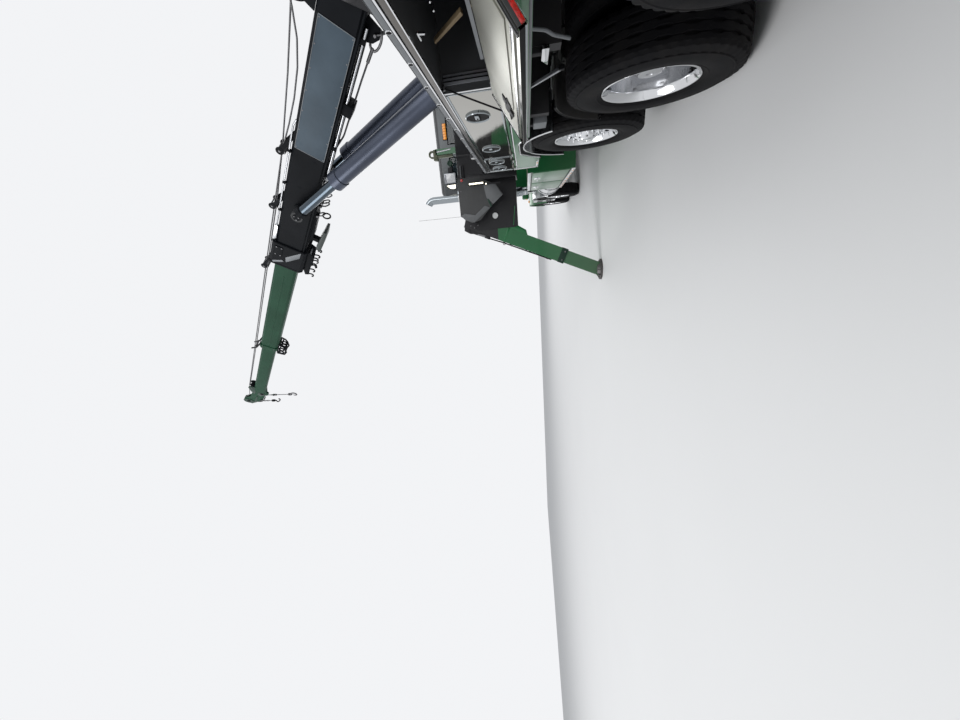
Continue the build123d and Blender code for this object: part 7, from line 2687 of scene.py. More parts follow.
@dataclass
class EngineDress:
    """What stands on the engine's block under the hood."""

    rear: float = 5.35
    front: float = 6.75
    half: float = 0.32
    top: float = 1.9
    cylinders: int = 6
    fan_blades: int = 8
    # each pulley's place across and up, and its radius
    pulleys: tuple[tuple[float, float, float], ...] = (
        (0.0, 1.15, 0.14), (0.16, 1.45, 0.08), (-0.16, 1.5, 0.09), (0.0, 1.72, 0.11),
    )

    def build(self, layout: Layout) -> None:
        """Add the rocker cover, intake, turbocharger, pulleys, fan, filter and hoses.

        Args:
            layout: The truck's places.
        """
        shape = Shape()
        shape.block(
            (self.rear + 0.1, -0.16, self.top - 0.01), (self.front - 0.15, 0.16, self.top + 0.09),
            Finish.SILVER, 0.03)
        for i in range(self.cylinders):
            x = self.rear + 0.2 + i * 0.19
            shape.turned(((0.03, 0.0), (0.03, 0.01), (0.02, 0.016), (0.0, 0.016)), Finish.RAW_STEEL,
                         Matrix.Translation((x, 0.11, self.top + 0.088)), 20)
            shape.pipe(
                ((x, self.half - 0.01, 1.62), (x, self.half + 0.07, 1.62), (x, self.half + 0.07, 1.54)),
                0.032, Finish.RAW_STEEL, 0.05, 12)
            shape.rod((x, -self.half + 0.01, 1.66), (x, -self.half - 0.05, 1.66), 0.026, Finish.ALUMINIUM, 16)
        shape.rod(
            (self.rear + 0.12, self.half + 0.07, 1.52), (self.front - 0.35, self.half + 0.07, 1.52), 0.045,
            Finish.RAW_STEEL, 20, 0.015)
        shape.block(
            (self.rear + 0.1, -self.half - 0.12, 1.60), (self.front - 0.3, -self.half - 0.03, 1.73),
            Finish.ALUMINIUM, 0.03)
        turbo = facing((5.95, self.half + 0.12, 1.40), 1)
        shape.turned(
            (
                (0.03, -0.06), (0.11, -0.05), (0.13, 0.0), (0.12, 0.05), (0.07, 0.07), (0.06, 0.10),
                (0.0, 0.10),
            ),
            Finish.RAW_STEEL, turbo, 36)
        for y, z, radius in self.pulleys:
            pulley = facing_x((self.front + 0.01, y, z), 1)
            shape.turned(
                (
                    (0.0, 0.0), (radius, 0.0), (radius, 0.008), (radius - 0.012, 0.02), (radius, 0.032),
                    (radius, 0.04), (0.03, 0.04), (0.025, 0.05), (0.0, 0.05),
                ),
                Finish.SATIN_BLACK, pulley, 32)
        fan = facing_x((self.front + 0.062, 0.0, 1.72), 1)
        for i in range(self.fan_blades):
            blade = fan @ Matrix.Rotation(
                2 * math.pi * i / self.fan_blades, 4, "Z",
            ) @ Matrix.Rotation(0.5, 4, "X")
            shape.block((0.03, -0.035, -0.002), (0.24, 0.035, 0.002), Finish.TRIM, 0.001, blade)
        shape.rod((5.45, -0.55, 1.75), (5.85, -0.55, 1.75), 0.13, Finish.SATIN_BLACK, 32, 0.02)
        shape.pipe(((5.85, -0.55, 1.75), (6.0, -0.55, 1.75), (6.05, -0.42, 1.62)), 0.06, Finish.SEAL, 0.1, 16)
        shape.pipe(
            ((5.5, 0.1, self.top + 0.08), (5.42, 0.1, self.top + 0.14), (5.40, 0.5, 1.9), (5.38, 0.52, 1.3)),
            0.018, Finish.SEAL, 0.08, 10)
        shape.done("engine_dressing", "chassis", layout.truck, "black_paint")


@dataclass
class SideGear:
    """What hangs along the frame: tanks, tool boxes, steps, stacks and wheel guards."""

    tank: tuple[float, float, float] = (0.31, 0.96, 0.81)
    tank_x: tuple[float, float] = (1.85, 3.18)
    box_x: tuple[float, float] = (-0.62, 1.68)
    box_z: tuple[float, float] = (0.64, 1.31)
    box_out: float = 1.28
    step_x: tuple[float, float] = (4.83, 5.5)
    stack: tuple[float, float, float] = (3.33, 1.11, 0.09)
    stack_top: float = 3.83
    shield_z: tuple[float, float] = (1.42, 2.43)
    clamp_z: tuple[float, ...] = (1.36, 2.305, 2.5, 3.005)
    box_lamps: int = 8
    treads: tuple[float, ...] = (0.6, 0.85, 1.12)
    # each guard's middle along and up, radius, first angle and sweep
    guard_arcs: tuple[tuple[float, float, float, float, float], ...] = (
        (-2.26, 0.75, 0.6, 15, 130), (-3.5, 0.53, 0.595, 20, 60), (-4.872, 0.53, 0.595, 100, 60),
        (4.03, 0.53, 0.64, 25, 130),
    )
    guard_edges: tuple[float, float] = (0.963, 1.272)

    def tanks(self, shape: Shape) -> None:
        """Add the tank's straps, end rings, cap and step.

        Args:
            shape: The side's shape.
        """
        r, y, z = self.tank
        rear, front = self.tank_x
        axis = frame_of((rear, y, z), (0, 0, 1), (1, 0, 0))
        length = front - rear
        for x in (0.24, length - 0.30):
            shape.turned(
                ((r, x), (r + 0.005, x), (r + 0.006, x + 0.07), (r, x + 0.07)), Finish.STAINLESS, axis, 72,
                True)
            shape.turned(
                (
                    (r + 0.004, x + 0.008), (r + 0.0075, x + 0.01), (r + 0.0075, x + 0.06),
                    (r + 0.004, x + 0.062),
                ),
                Finish.SEAL, axis, 72, True)
            shape.block(
                (rear + x - 0.01, y + 0.02, z + r + 0.002), (rear + x + 0.08, y + 0.10, z + r + 0.03),
                Finish.RAW_STEEL)
        for x, way in ((0.0, -1), (length, 1)):
            shape.turned(
                (
                    (r - 0.02, x), (r + 0.002, x), (r + 0.002, x + way * 0.004),
                    (r - 0.012, x + way * 0.010), (r - 0.03, x + way * 0.004),
                ),
                Finish.ALUMINIUM, axis, 72, True)
        cap = frame_of(
            (rear + 0.62, y + 0.12, z + math.sqrt(r * r - 0.0144) - 0.004), (1, 0, 0), (0, 0.38, 0.92))
        shape.turned(
            ((0.06, 0.0), (0.06, 0.012), (0.052, 0.016), (0.052, 0.04), (0.045, 0.048), (0.0, 0.05)),
            Finish.CHROME, cap, 32)
        shape.block(
            (rear + 0.02, y - 0.1, z + r + 0.012), (front - 0.02, y + 0.13, z + r + 0.035),
            Finish.TREADPLATE, 0.004)
        for x in (rear + 0.28, front - 0.30):
            shape.block((x, y - 0.08, z + r - 0.02), (x + 0.05, y - 0.02, z + r + 0.014), Finish.RAW_STEEL)

    def boxes(self, shape: Shape) -> None:
        """Add the tool boxes' doors, bright strips, handles and lower lamps.

        Args:
            shape: The side's shape.
        """
        rear, front = self.box_x
        low, high = self.box_z
        y = self.box_out
        half = (front - rear) / 2
        for i in range(2):
            x0, x1 = rear + i * half + 0.03, rear + (i + 1) * half - 0.03
            shape.block((x0, y - 0.003, low + 0.075), (x1, y + 0.010, high - 0.07), Finish.GREEN, 0.006)
            for z0, z1 in ((high - 0.064, high - 0.052), (low + 0.058, low + 0.070)):
                shape.block((x0, y - 0.002, z0), (x1, y + 0.004, z1), Finish.SEAL, 0.002)
            mid = (x0 + x1) / 2
            shape.block(
                (mid - 0.085, y + 0.009, high - 0.19), (mid + 0.085, y + 0.016, high - 0.10), Finish.CHROME,
                0.012)
            shape.pipe(
                (
                    (mid - 0.06, y + 0.014, high - 0.145), (mid - 0.05, y + 0.035, high - 0.145),
                    (mid + 0.05, y + 0.035, high - 0.145), (mid + 0.06, y + 0.014, high - 0.145),
                ),
                0.008, Finish.CHROME, 0.015, 10)
        shape.block(
            (rear, y - 0.004, high - 0.045), (front, y + 0.008, high + 0.004), Finish.STAINLESS, 0.004)
        shape.block((rear, y - 0.002, high - 0.012), (front, y + 0.013, high - 0.002), Finish.CHROME, 0.003)
        shape.block((rear, y - 0.004, low - 0.003), (front, y + 0.007, low + 0.05), Finish.STAINLESS, 0.004)
        shape.block(
            (rear + 0.02, 0.60, high), (front - 0.02, y - 0.01, high + 0.006), Finish.REST_STEEL, 0.002)
        for i in range(self.box_lamps):
            x = rear + 0.14 + i * (front - rear - 0.28) / (self.box_lamps - 1)
            spot = facing((x, y + 0.006, low + 0.024), 1)
            shape.turned(((0.017, 0.0), (0.017, 0.004), (0.012, 0.009), (0.0, 0.011)), Finish.AMBER, spot, 20)
            shape.turned(
                ((0.017, 0.0), (0.022, 0.0), (0.021, 0.006), (0.017, 0.006)), Finish.CHROME, spot, 24)

    def steps(self, shape: Shape) -> None:
        """Add treads and a bright strip to the step box.

        Args:
            shape: The side's shape.
        """
        rear, front = self.step_x
        for z in self.treads:
            depth = 1.09 if z < 1.1 else 0.86
            shape.block(
                (rear + 0.05, depth, z - 0.002), (front - 0.05, 1.256, z + 0.012), Finish.TREADPLATE, 0.004,
            )
            for i in range(8):
                x = rear + 0.09 + i * 0.066
                shape.block(
                    (x, depth + 0.03, z + 0.011), (x + 0.03, 1.235, z + 0.017), Finish.RAW_STEEL, 0.002)
        shape.block((rear + 0.01, 1.249, 0.525), (front - 0.01, 1.256, 0.59), Finish.CHROME, 0.004)

    def stacks(self, shape: Shape) -> None:
        """Add the stack's heat shield, clamps and tip.

        Args:
            shape: The side's shape.
        """
        x, y, r = self.stack
        base = Matrix.Translation((x, y, 0))
        low, high = self.shield_z
        shield = (
            (0.018, low), (0.022, low + 0.01), (0.022, high - 0.01), (0.018, high), (0.012, high - 0.01),
            (0.012, low + 0.01),
        )
        shape.turned([(r + out, z) for out, z in shield], Finish.STACK, base, 48, True)
        for row in range(13):
            z = 1.50 + row * 0.07
            for k in range(9):
                spot = base @ Matrix.Rotation(math.pi * (0.25 + k * 0.19), 4, "Z") @ Matrix.Translation(
                    (r + 0.0215, 0, z + (0.035 if k % 2 else 0)))
                shape.block((-0.001, -0.007, -0.02), (0.0015, 0.007, 0.02), Finish.SATIN_BLACK, 0.0005, spot)
        for z in self.clamp_z:
            shape.turned(
                ((r, z - 0.012), (r + 0.006, z - 0.012), (r + 0.006, z + 0.012), (r, z + 0.012)),
                Finish.STAINLESS, base, 40, True)
            shape.rod((x - 0.03, y + r + 0.008, z), (x + 0.03, y + r + 0.008, z), 0.006, Finish.RAW_STEEL, 10)
        tip = Matrix.Translation(
            (x, y + 0.085, self.stack_top - 0.023),
        ) @ Matrix.Rotation(math.radians(-60), 4, "X")
        shape.turned(
            (
                (r - 0.012, -0.05), (r - 0.012, 0.0), (r + 0.001, 0.002), (r + 0.003, -0.004),
                (r + 0.002, -0.012),
            ),
            Finish.STACK, tip, 40, True)
        shape.turned(((r - 0.012, -0.03), (0.0, -0.031)), Finish.SATIN_BLACK, tip, 40)

    def guards(self, shape: Shape) -> None:
        """Add rolled edges and fixings to the wheel guards.

        Args:
            shape: The side's shape.
        """
        for x, z, radius, start, sweep in self.guard_arcs:
            radius += 0.012
            points = circle((x, z), radius, start, sweep / 18, 19)
            for y in self.guard_edges:
                shape.pipe(
                    [(u, y, v) for u, v in points], 0.008, Finish.SEAL if x < -3 else Finish.STAINLESS, 0.0,
                    8)
            for share in (0.3, 0.34):
                angle = math.radians(start + sweep * share)
                out = Vector((math.cos(angle), 0, math.sin(angle)))
                for y in (1.0, 1.06):
                    shape.bolt(
                        frame_of(Vector((x, y, z)) + out * radius, (0, 1, 0), out), 0.018, Finish.STAINLESS,
                    )

    def build(self, layout: Layout) -> None:
        """Dress both sides.

        Args:
            layout: The truck's places.
        """
        for side in Side:
            for name, make, slot in (
                ("tank_fittings", self.tanks, "polished_aluminium"),
                ("toolbox_fittings", self.boxes, "green_paint"),
                ("step_treads", self.steps, "polished_aluminium"), ("stack_shields", self.stacks, "bright"),
                ("guard_edges", self.guards, "stainless"),
            ):
                shape = Shape()
                make(shape)
                shape.done(f"{name}_{side.word}", "chassis", layout.side(side), slot)


@dataclass
class Body:
    """The recovery body's rails, strips, latches, lamps, open bay and doors."""

    front: float = -1.07
    rear: float = -6.86
    out: float = 1.28
    top: float = 1.88
    low: float = 1.18
    door_low: float = 1.488
    door_high: float = 1.804
    bays: tuple[tuple[str, float, float], ...] = (
        ("1", -1.93, -1.10), ("2", -3.94, -1.95), ("3", -5.245, -3.96), ("4", -6.80, -5.265),
    )
    open_bay: int = 2
    door_thick: float = 0.028
    latch_shares: tuple[float, float] = (0.24, 0.76)
    latch_z: float = 1.668
    latch_radius: float = 0.112
    ring_x: tuple[float, ...] = (-6.4, -4.6, -3.0, -1.4)
    # each layer's low edge, high edge, depth and finish
    rail: tuple[tuple[float, float, float, Finish], ...] = (
        (1.850, 1.856, 0.006, Finish.SEAL), (1.842, 1.851, 0.010, Finish.CHROME),
        (1.837, 1.842, 0.003, Finish.SEAL), (1.811, 1.838, 0.004, Finish.RAIL_BAND),
        # the rail's band: stainless, its colour a painted reflection of the ground
        (1.805, 1.811, 0.007, Finish.CHROME),
    )
    rail_bolts: int = 20
    # the bright band's low and high edge, and the step from one marker to the next
    band: tuple[float, float] = (1.186, 1.212)
    marker_step: float = 0.42
    bay_floor: float = 1.482
    bay_out: float = 1.239
    bottles: tuple[Finish, ...] = (Finish.SATIN_BLACK, Finish.RED, Finish.GREY_COVER, Finish.SATIN_BLACK)
    open_angle: float = 121.0
    arch: tuple[float, float, float] = (-5.572, -2.70, 1.30)
    lift_arch: tuple[float, float, float] = (-2.26, 0.75, 0.69)

    def shell(self, shape: Shape) -> None:
        """Add the rails, strips, markers, lamps and corner trim.

        Args:
            shape: The side's shape.
        """
        y = self.out
        for near in ((self.rear, y - 0.004, 1.853), (self.rear, y - 0.10, self.top - 0.002)):
            shape.block(near, (self.front, y + 0.005, self.top + 0.006), Finish.STRIP, 0.003)
        shape.block(
            (self.rear, y - 0.075, self.top + 0.005), (self.front, y - 0.03, self.top + 0.022),
            Finish.SATIN_BLACK, 0.006)
        for z0, z1, out, finish in self.rail:
            shape.block((self.rear, y - 0.002, z0), (self.front, y + out, z1), finish, 0.0015)
        # holes along the rail: each a stainless ring round a dark rubber disc, the disc painted shade in
        # place of the open hole
        for i in range(self.rail_bolts):
            x = self.rear + 0.14 + i * (self.front - self.rear - 0.28) / (self.rail_bolts - 1)
            spot = facing((x, y + 0.005, 1.870), 1)
            shape.turned(
                ((0.012, 0.0), (0.015, 0.0), (0.014, 0.003), (0.012, 0.003)), Finish.STAINLESS, spot, 20)
            shape.turned(((0.012, 0.0), (0.012, 0.0015), (0.0, 0.0016)), Finish.SEAL, spot, 16)
        # strips along the green band, broken at the raised wheel's arch and over the drive wheels
        low, high = self.band
        for x0, x1 in ((self.rear, self.arch[0]), (-1.60, self.front)):
            shape.block((x0, y - 0.002, low), (x1, y + 0.006, high), Finish.STAINLESS, 0.003)
            for i in range(int((x1 - x0) / self.marker_step)):
                x = x0 + 0.2 + i * self.marker_step
                shape.block(
                    (x, y + 0.005, low + 0.006), (x + 0.05, y + 0.009, high - 0.006),
                    Finish.RED if x < -5.0 else Finish.AMBER, 0.002)
        shape.block((self.rear, y - 0.002, 1.445), (self.front, y + 0.004, 1.462), Finish.CHROME, 0.003)
        shape.block(
            (self.arch[0], y - 0.002, self.arch[2] + 0.002),
            (self.arch[1], y + 0.004, self.arch[2] + 0.014), Finish.STRIP, 0.003)
        # corner trim at the rear, with a red reflector strip
        shape.block(
            (self.rear - 0.004, y - 0.05, self.low), (self.rear + 0.045, y + 0.006, self.top),
            Finish.STAINLESS, 0.005)
        shape.block((self.rear + 0.06, y + 0.0, 1.27), (self.rear + 0.20, y + 0.008, 1.33), Finish.RED, 0.003)
        shape.block(
            (self.front - 0.045, y - 0.05, self.low), (self.front + 0.004, y + 0.006, self.top),
            Finish.STAINLESS, 0.005)
        # the arch's edge
        cx, cz, r = self.lift_arch
        rounds = circle((cx, cz), r, 39.0, 7.75, 5)
        rounds += [(2 * cx - x, z) for x, z in reversed(rounds) if z > self.arch[2]]
        shape.pipe([(x, y + 0.001, z) for x, z in rounds], 0.009, Finish.STAINLESS, 0.0, 8)
        self.low_trim(shape)
        self.top_trim(shape)

    def low_trim(self, shape: Shape) -> None:
        """Add the stays, plates and brackets between the wheels.

        Args:
            shape: The shape it joins.
        """
        flat = [(-3.778, 1.301), (-3.80, 1.301), (-4.000, 1.140), (-3.978, 1.133)]
        shape.web(flat, 1.245, 1.262, Finish.SILVER, 0.002)
        shape.web(
            [(-3.99, 1.150), (-4.006, 1.150), (-4.012, 1.118), (-3.976, 1.118)], 1.243, 1.264, Finish.SEAL,
            0.002)
        shape.pipe(
            ((-4.45, 1.253, 1.302), (-4.42, 1.253, 1.24), (-4.364, 1.253, 1.2), (-4.308, 1.253, 1.123)),
            0.008, Finish.STRIP, 0.05, 8)
        shape.web(
            [(-4.063, 1.213), (-4.247, 1.213), (-4.247, 1.248), (-4.12, 1.248)], 1.235, 1.255,
            Finish.STAINLESS, 0.002)
        shape.block((-4.19, 1.20, 1.24), (-4.15, 1.245, 1.302), Finish.SATIN_BLACK)
        shape.block((-2.98, 1.18, 1.16), (-2.80, 1.255, 1.27), Finish.STRIP, 0.01)
        shape.block((-2.92, 1.19, 1.26), (-2.86, 1.245, 1.302), Finish.SATIN_BLACK)

    def top_trim(self, shape: Shape) -> None:
        """Add tread on the top, tie rings, and a work lamp at each end.

        Args:
            shape: The shape it joins.
        """
        y = self.out
        shape.block(
            (self.rear + 0.01, 0.60, self.top), (self.front - 0.01, y - 0.085, self.top + 0.004),
            Finish.TREADPLATE, 0.001)
        for x in self.ring_x:
            shape.block(
                (x - 0.05, 1.06, self.top + 0.003), (x + 0.05, 1.12, self.top + 0.012), Finish.RAW_STEEL)
            ring = facing((x, 1.09, self.top + 0.03), 1)
            loop = [ring @ Vector((u, v, 0)) for u, v in circle((0.0, 0.0), 0.028)]
            shape.pipe(loop, 0.006, Finish.RAW_STEEL, 0.0, 8, closed=True)
        for x in (self.rear + 0.15, self.front - 0.15):
            Turret.lamp(
                shape,
                Matrix.Translation((x, y - 0.16, self.top + 0.10)) @ Matrix.Rotation(math.pi / 2, 4, "Z"))

    def bay(self, shape: Shape) -> None:
        """Fill the open bay: sill, shelf, jamb, seal, board, catch, studs, bottles and gear.

        Args:
            shape: The side's shape.
        """
        _, rear, front = self.bays[self.open_bay]
        sill, out = self.bay_floor, self.bay_out
        # the open bay's floor and shelf in satin black: painted shade inside the bay
        shape.block((rear + 0.002, 0.641, sill), (front - 0.002, 1.235, 1.486), Finish.SATIN_BLACK, 0.001)
        shape.block((rear + 0.002, 0.66, 1.66), (front - 0.30, 1.0, 1.668), Finish.SATIN_BLACK, 0.002)
        # the sill's lip, the front jamb with its rounded foot, and the black seal along the hinge
        shape.block((rear + 0.002, 1.222, sill), (-4.205, out, 1.555), Finish.STRIP, 0.004)
        shape.block((front - 0.006, 1.19, sill), (front - 0.001, 1.243, 1.80), Finish.SILVER, 0.001)
        for y in (1.203, 1.222):
            shape.block((front - 0.009, y, 1.50), (front - 0.005, y + 0.006, 1.80), Finish.SEAL, 0.001)
        foot = [(1.193, 1.484)] + circle((1.113, 1.564), 0.08, 0.0, -11.25, 9)
        shape.wall(foot + [(1.113, 1.484)], front - 0.008, front - 0.001, Finish.STRIP, 0.001)
        shape.pipe(
            (
                (front - 0.004, 1.237, 1.52), (front - 0.01, out, 1.49), (front - 0.12, out, 1.50),
                (rear + 0.01, out, 1.497),
            ),
            0.006, Finish.SEAL, 0.03, 8)
        # a slanted tan board, a bright T catch under the opening's top, studs, and gear on the shelf
        shape.web(
            [(-4.219, 1.775), (-4.245, 1.775), (-4.452, 1.605), (-4.425, 1.598)], 1.13, 1.15, Finish.BOARD,
            0.002)
        shape.rod((-4.478, 1.235, 1.79), (-4.543, 1.235, 1.79), 0.006, Finish.STAINLESS, 10)
        shape.rod((-4.533, 1.235, 1.79), (-4.525, 1.235, 1.758), 0.006, Finish.STAINLESS, 10)
        for x in (-4.49, -4.553):
            shape.rod((x, 1.14, 1.717), (x, 1.15, 1.717), 0.006, Finish.STAINLESS, 10)
            shape.rod((x, 0.66, 1.717), (x, 1.14, 1.717), 0.004, Finish.SATIN_BLACK, 8)
        for i, finish in enumerate(self.bottles):
            x = rear + 0.56 + i * 0.15
            shape.turned(
                (
                    (0.0, 1.486), (0.055, 1.488), (0.055, 1.60), (0.04, 1.625), (0.018, 1.632),
                    (0.018, 1.646), (0.0, 1.647),
                ),
                finish, Matrix.Translation((x, 0.80, 0)), 24)
        for i in range(5):
            x = rear + 0.2 + i * 0.16
            shape.block(
                (x, 0.69, 1.669), (x + 0.11, 0.93, 1.72 + 0.012 * (i % 3)),
                Finish.GREY_COVER if i % 2 else Finish.SATIN_BLACK, 0.008)

    def door(self, shape: Shape, rear: float, front: float, plain_inside: bool) -> None:
        """Add a door's latches, edge beads and inner skin, as it stands closed.

        Args:
            shape: The door's shape.
            rear: The bay's rear end.
            front: The bay's front end.
            plain_inside: Whether the inner face is out of sight.
        """
        y = self.out
        r, z = self.latch_radius, self.latch_z
        for share in self.latch_shares:
            x = rear + (front - rear) * share
            place = facing((x, y, z), 1) @ Matrix.Diagonal((1.0, 0.8, 1, 1))
            shape.turned(
                ((r, -0.002), (r, 0.007), (r - 0.005, 0.012), (r - 0.01, 0.009), (r - 0.012, 0.004)),
                Finish.STACK, place, 44)
            # the latch's dish is dark rubber: painted shade in its hollow
            shape.turned(((r - 0.011, 0.004), (0.07, 0.0025), (0.0, 0.002)), Finish.SEAL, place, 40)
            shape.block(
                (x - 0.058, y + 0.003, z - 0.012), (x + 0.058, y + 0.016, z + 0.02), Finish.STACK, 0.008)
            shape.turned(
                ((0.0075, 0.018), (0.0075, 0.021), (0.0, 0.0215)), Finish.RAW_STEEL,
                facing((x, y, z + 0.003), 1), 14)
        low, high = self.door_low + 0.003, self.door_high - 0.003
        for z0, z1 in ((low, low + 0.012), (high - 0.012, high)):
            shape.block((rear + 0.008, y - 0.002, z0), (front - 0.008, y + 0.003, z1), Finish.STACK, 0.0015)
        for x in (rear + 0.008, front - 0.020):
            shape.block((x, y - 0.002, low), (x + 0.012, y + 0.003, high), Finish.STACK, 0.0015)
        inner = y - self.door_thick
        shape.block(
            (rear + 0.03, inner - 0.004, low + 0.02), (front - 0.03, inner + 0.001, high - 0.02),
            Finish.INNER_SKIN, 0.0015)
        if not plain_inside:
            # the raised inner panel with its hems, the latch's clump, the rear end and the outer edge
            shape.block(
                (rear + 0.05, inner - 0.009, low + 0.03), (front - 0.46, inner - 0.003, high - 0.06),
                Finish.INNER_SKIN, 0.003)
            shape.block(
                (rear + 0.03, inner - 0.006, high - 0.035), (front - 0.03, inner - 0.003, high - 0.020),
                Finish.STAINLESS, 0.001)
            shape.block(
                (front - 0.07, inner - 0.006, low + 0.02), (front - 0.055, inner - 0.003, high - 0.02),
                Finish.STAINLESS, 0.001)
            for dx, dz, size in (
                (-0.42, 0.175, 0.035), (-0.38, 0.20, 0.045), (-0.33, 0.19, 0.03), (-0.45, 0.215, 0.03),
                (-0.36, 0.23, 0.028),
            ):
                shape.block(
                    (front + dx - size, inner - 0.014, low + dz - size / 2),
                    (front + dx + size, inner - 0.003, low + dz + size / 2), Finish.SATIN_BLACK, 0.005)
            shape.rod(
                (front - 0.50, inner - 0.009, low + 0.20), (front - 0.24, inner - 0.009, low + 0.22), 0.005,
                Finish.SATIN_BLACK, 10)
            shape.block(
                (rear - 0.0015, inner + 0.012, low + 0.01), (rear + 0.004, y - 0.003, high - 0.004),
                Finish.RED, 0.0005)
            shape.block(
                (rear - 0.001, inner + 0.001, low + 0.01), (rear + 0.004, inner + 0.013, high - 0.004),
                Finish.COVER, 0.0005)
            shape.block(
                (rear + 0.006, inner + 0.002, high - 0.004), (front - 0.006, y - 0.002, high + 0.0045),
                Finish.SEAL, 0.001)
            shape.block(
                (rear + 0.006, y - 0.009, high), (front - 0.006, y - 0.002, high + 0.0055), Finish.STACK,
                0.001)
            shape.block((rear + 0.008, inner - 0.004, low), (rear + 0.045, inner, high), Finish.COVER, 0.001)
        for x in (rear + 0.012, front - 0.024):
            shape.block((x, inner - 0.006, low), (x + 0.012, inner + 0.001, high), Finish.SEAL, 0.002)

    def build(self, layout: Layout) -> None:
        """Dress the body, its open bay and all its doors.

        Args:
            layout: The truck's places.
        """
        for side in Side:
            shape = Shape()
            self.shell(shape)
            if side is Side.LEFT:
                self.bay(shape)
            shape.done(f"body_fittings_{side.word}", "chassis", layout.side(side), "stainless")
            for name, rear, front in self.bays:
                opened = name == self.bays[self.open_bay][0] and side is Side.LEFT
                door = Shape()
                self.door(door, rear, front, not opened)
                node = f"body_door_{name}_{side.word}"
                door.done(
                    f"{node}_fittings", node, layout.door(side, self.open_angle if opened else 0.0),
                    "stainless")
        stays = Shape()
        _, rear, front = self.bays[self.open_bay]
        for x in (rear + 0.03, front - 0.025):
            stays.pipe(((x, 1.262, 1.795), (x, 1.325, 1.66), (x, 1.413, 1.466)), 0.005, Finish.SEAL, 0.3, 8)
            stays.rod((x, 1.25, 1.797), (x, 1.274, 1.797), 0.009, Finish.RAW_STEEL, 12)
        stays.done("drop_door_stays", "chassis", layout.side(Side.LEFT), "trim")


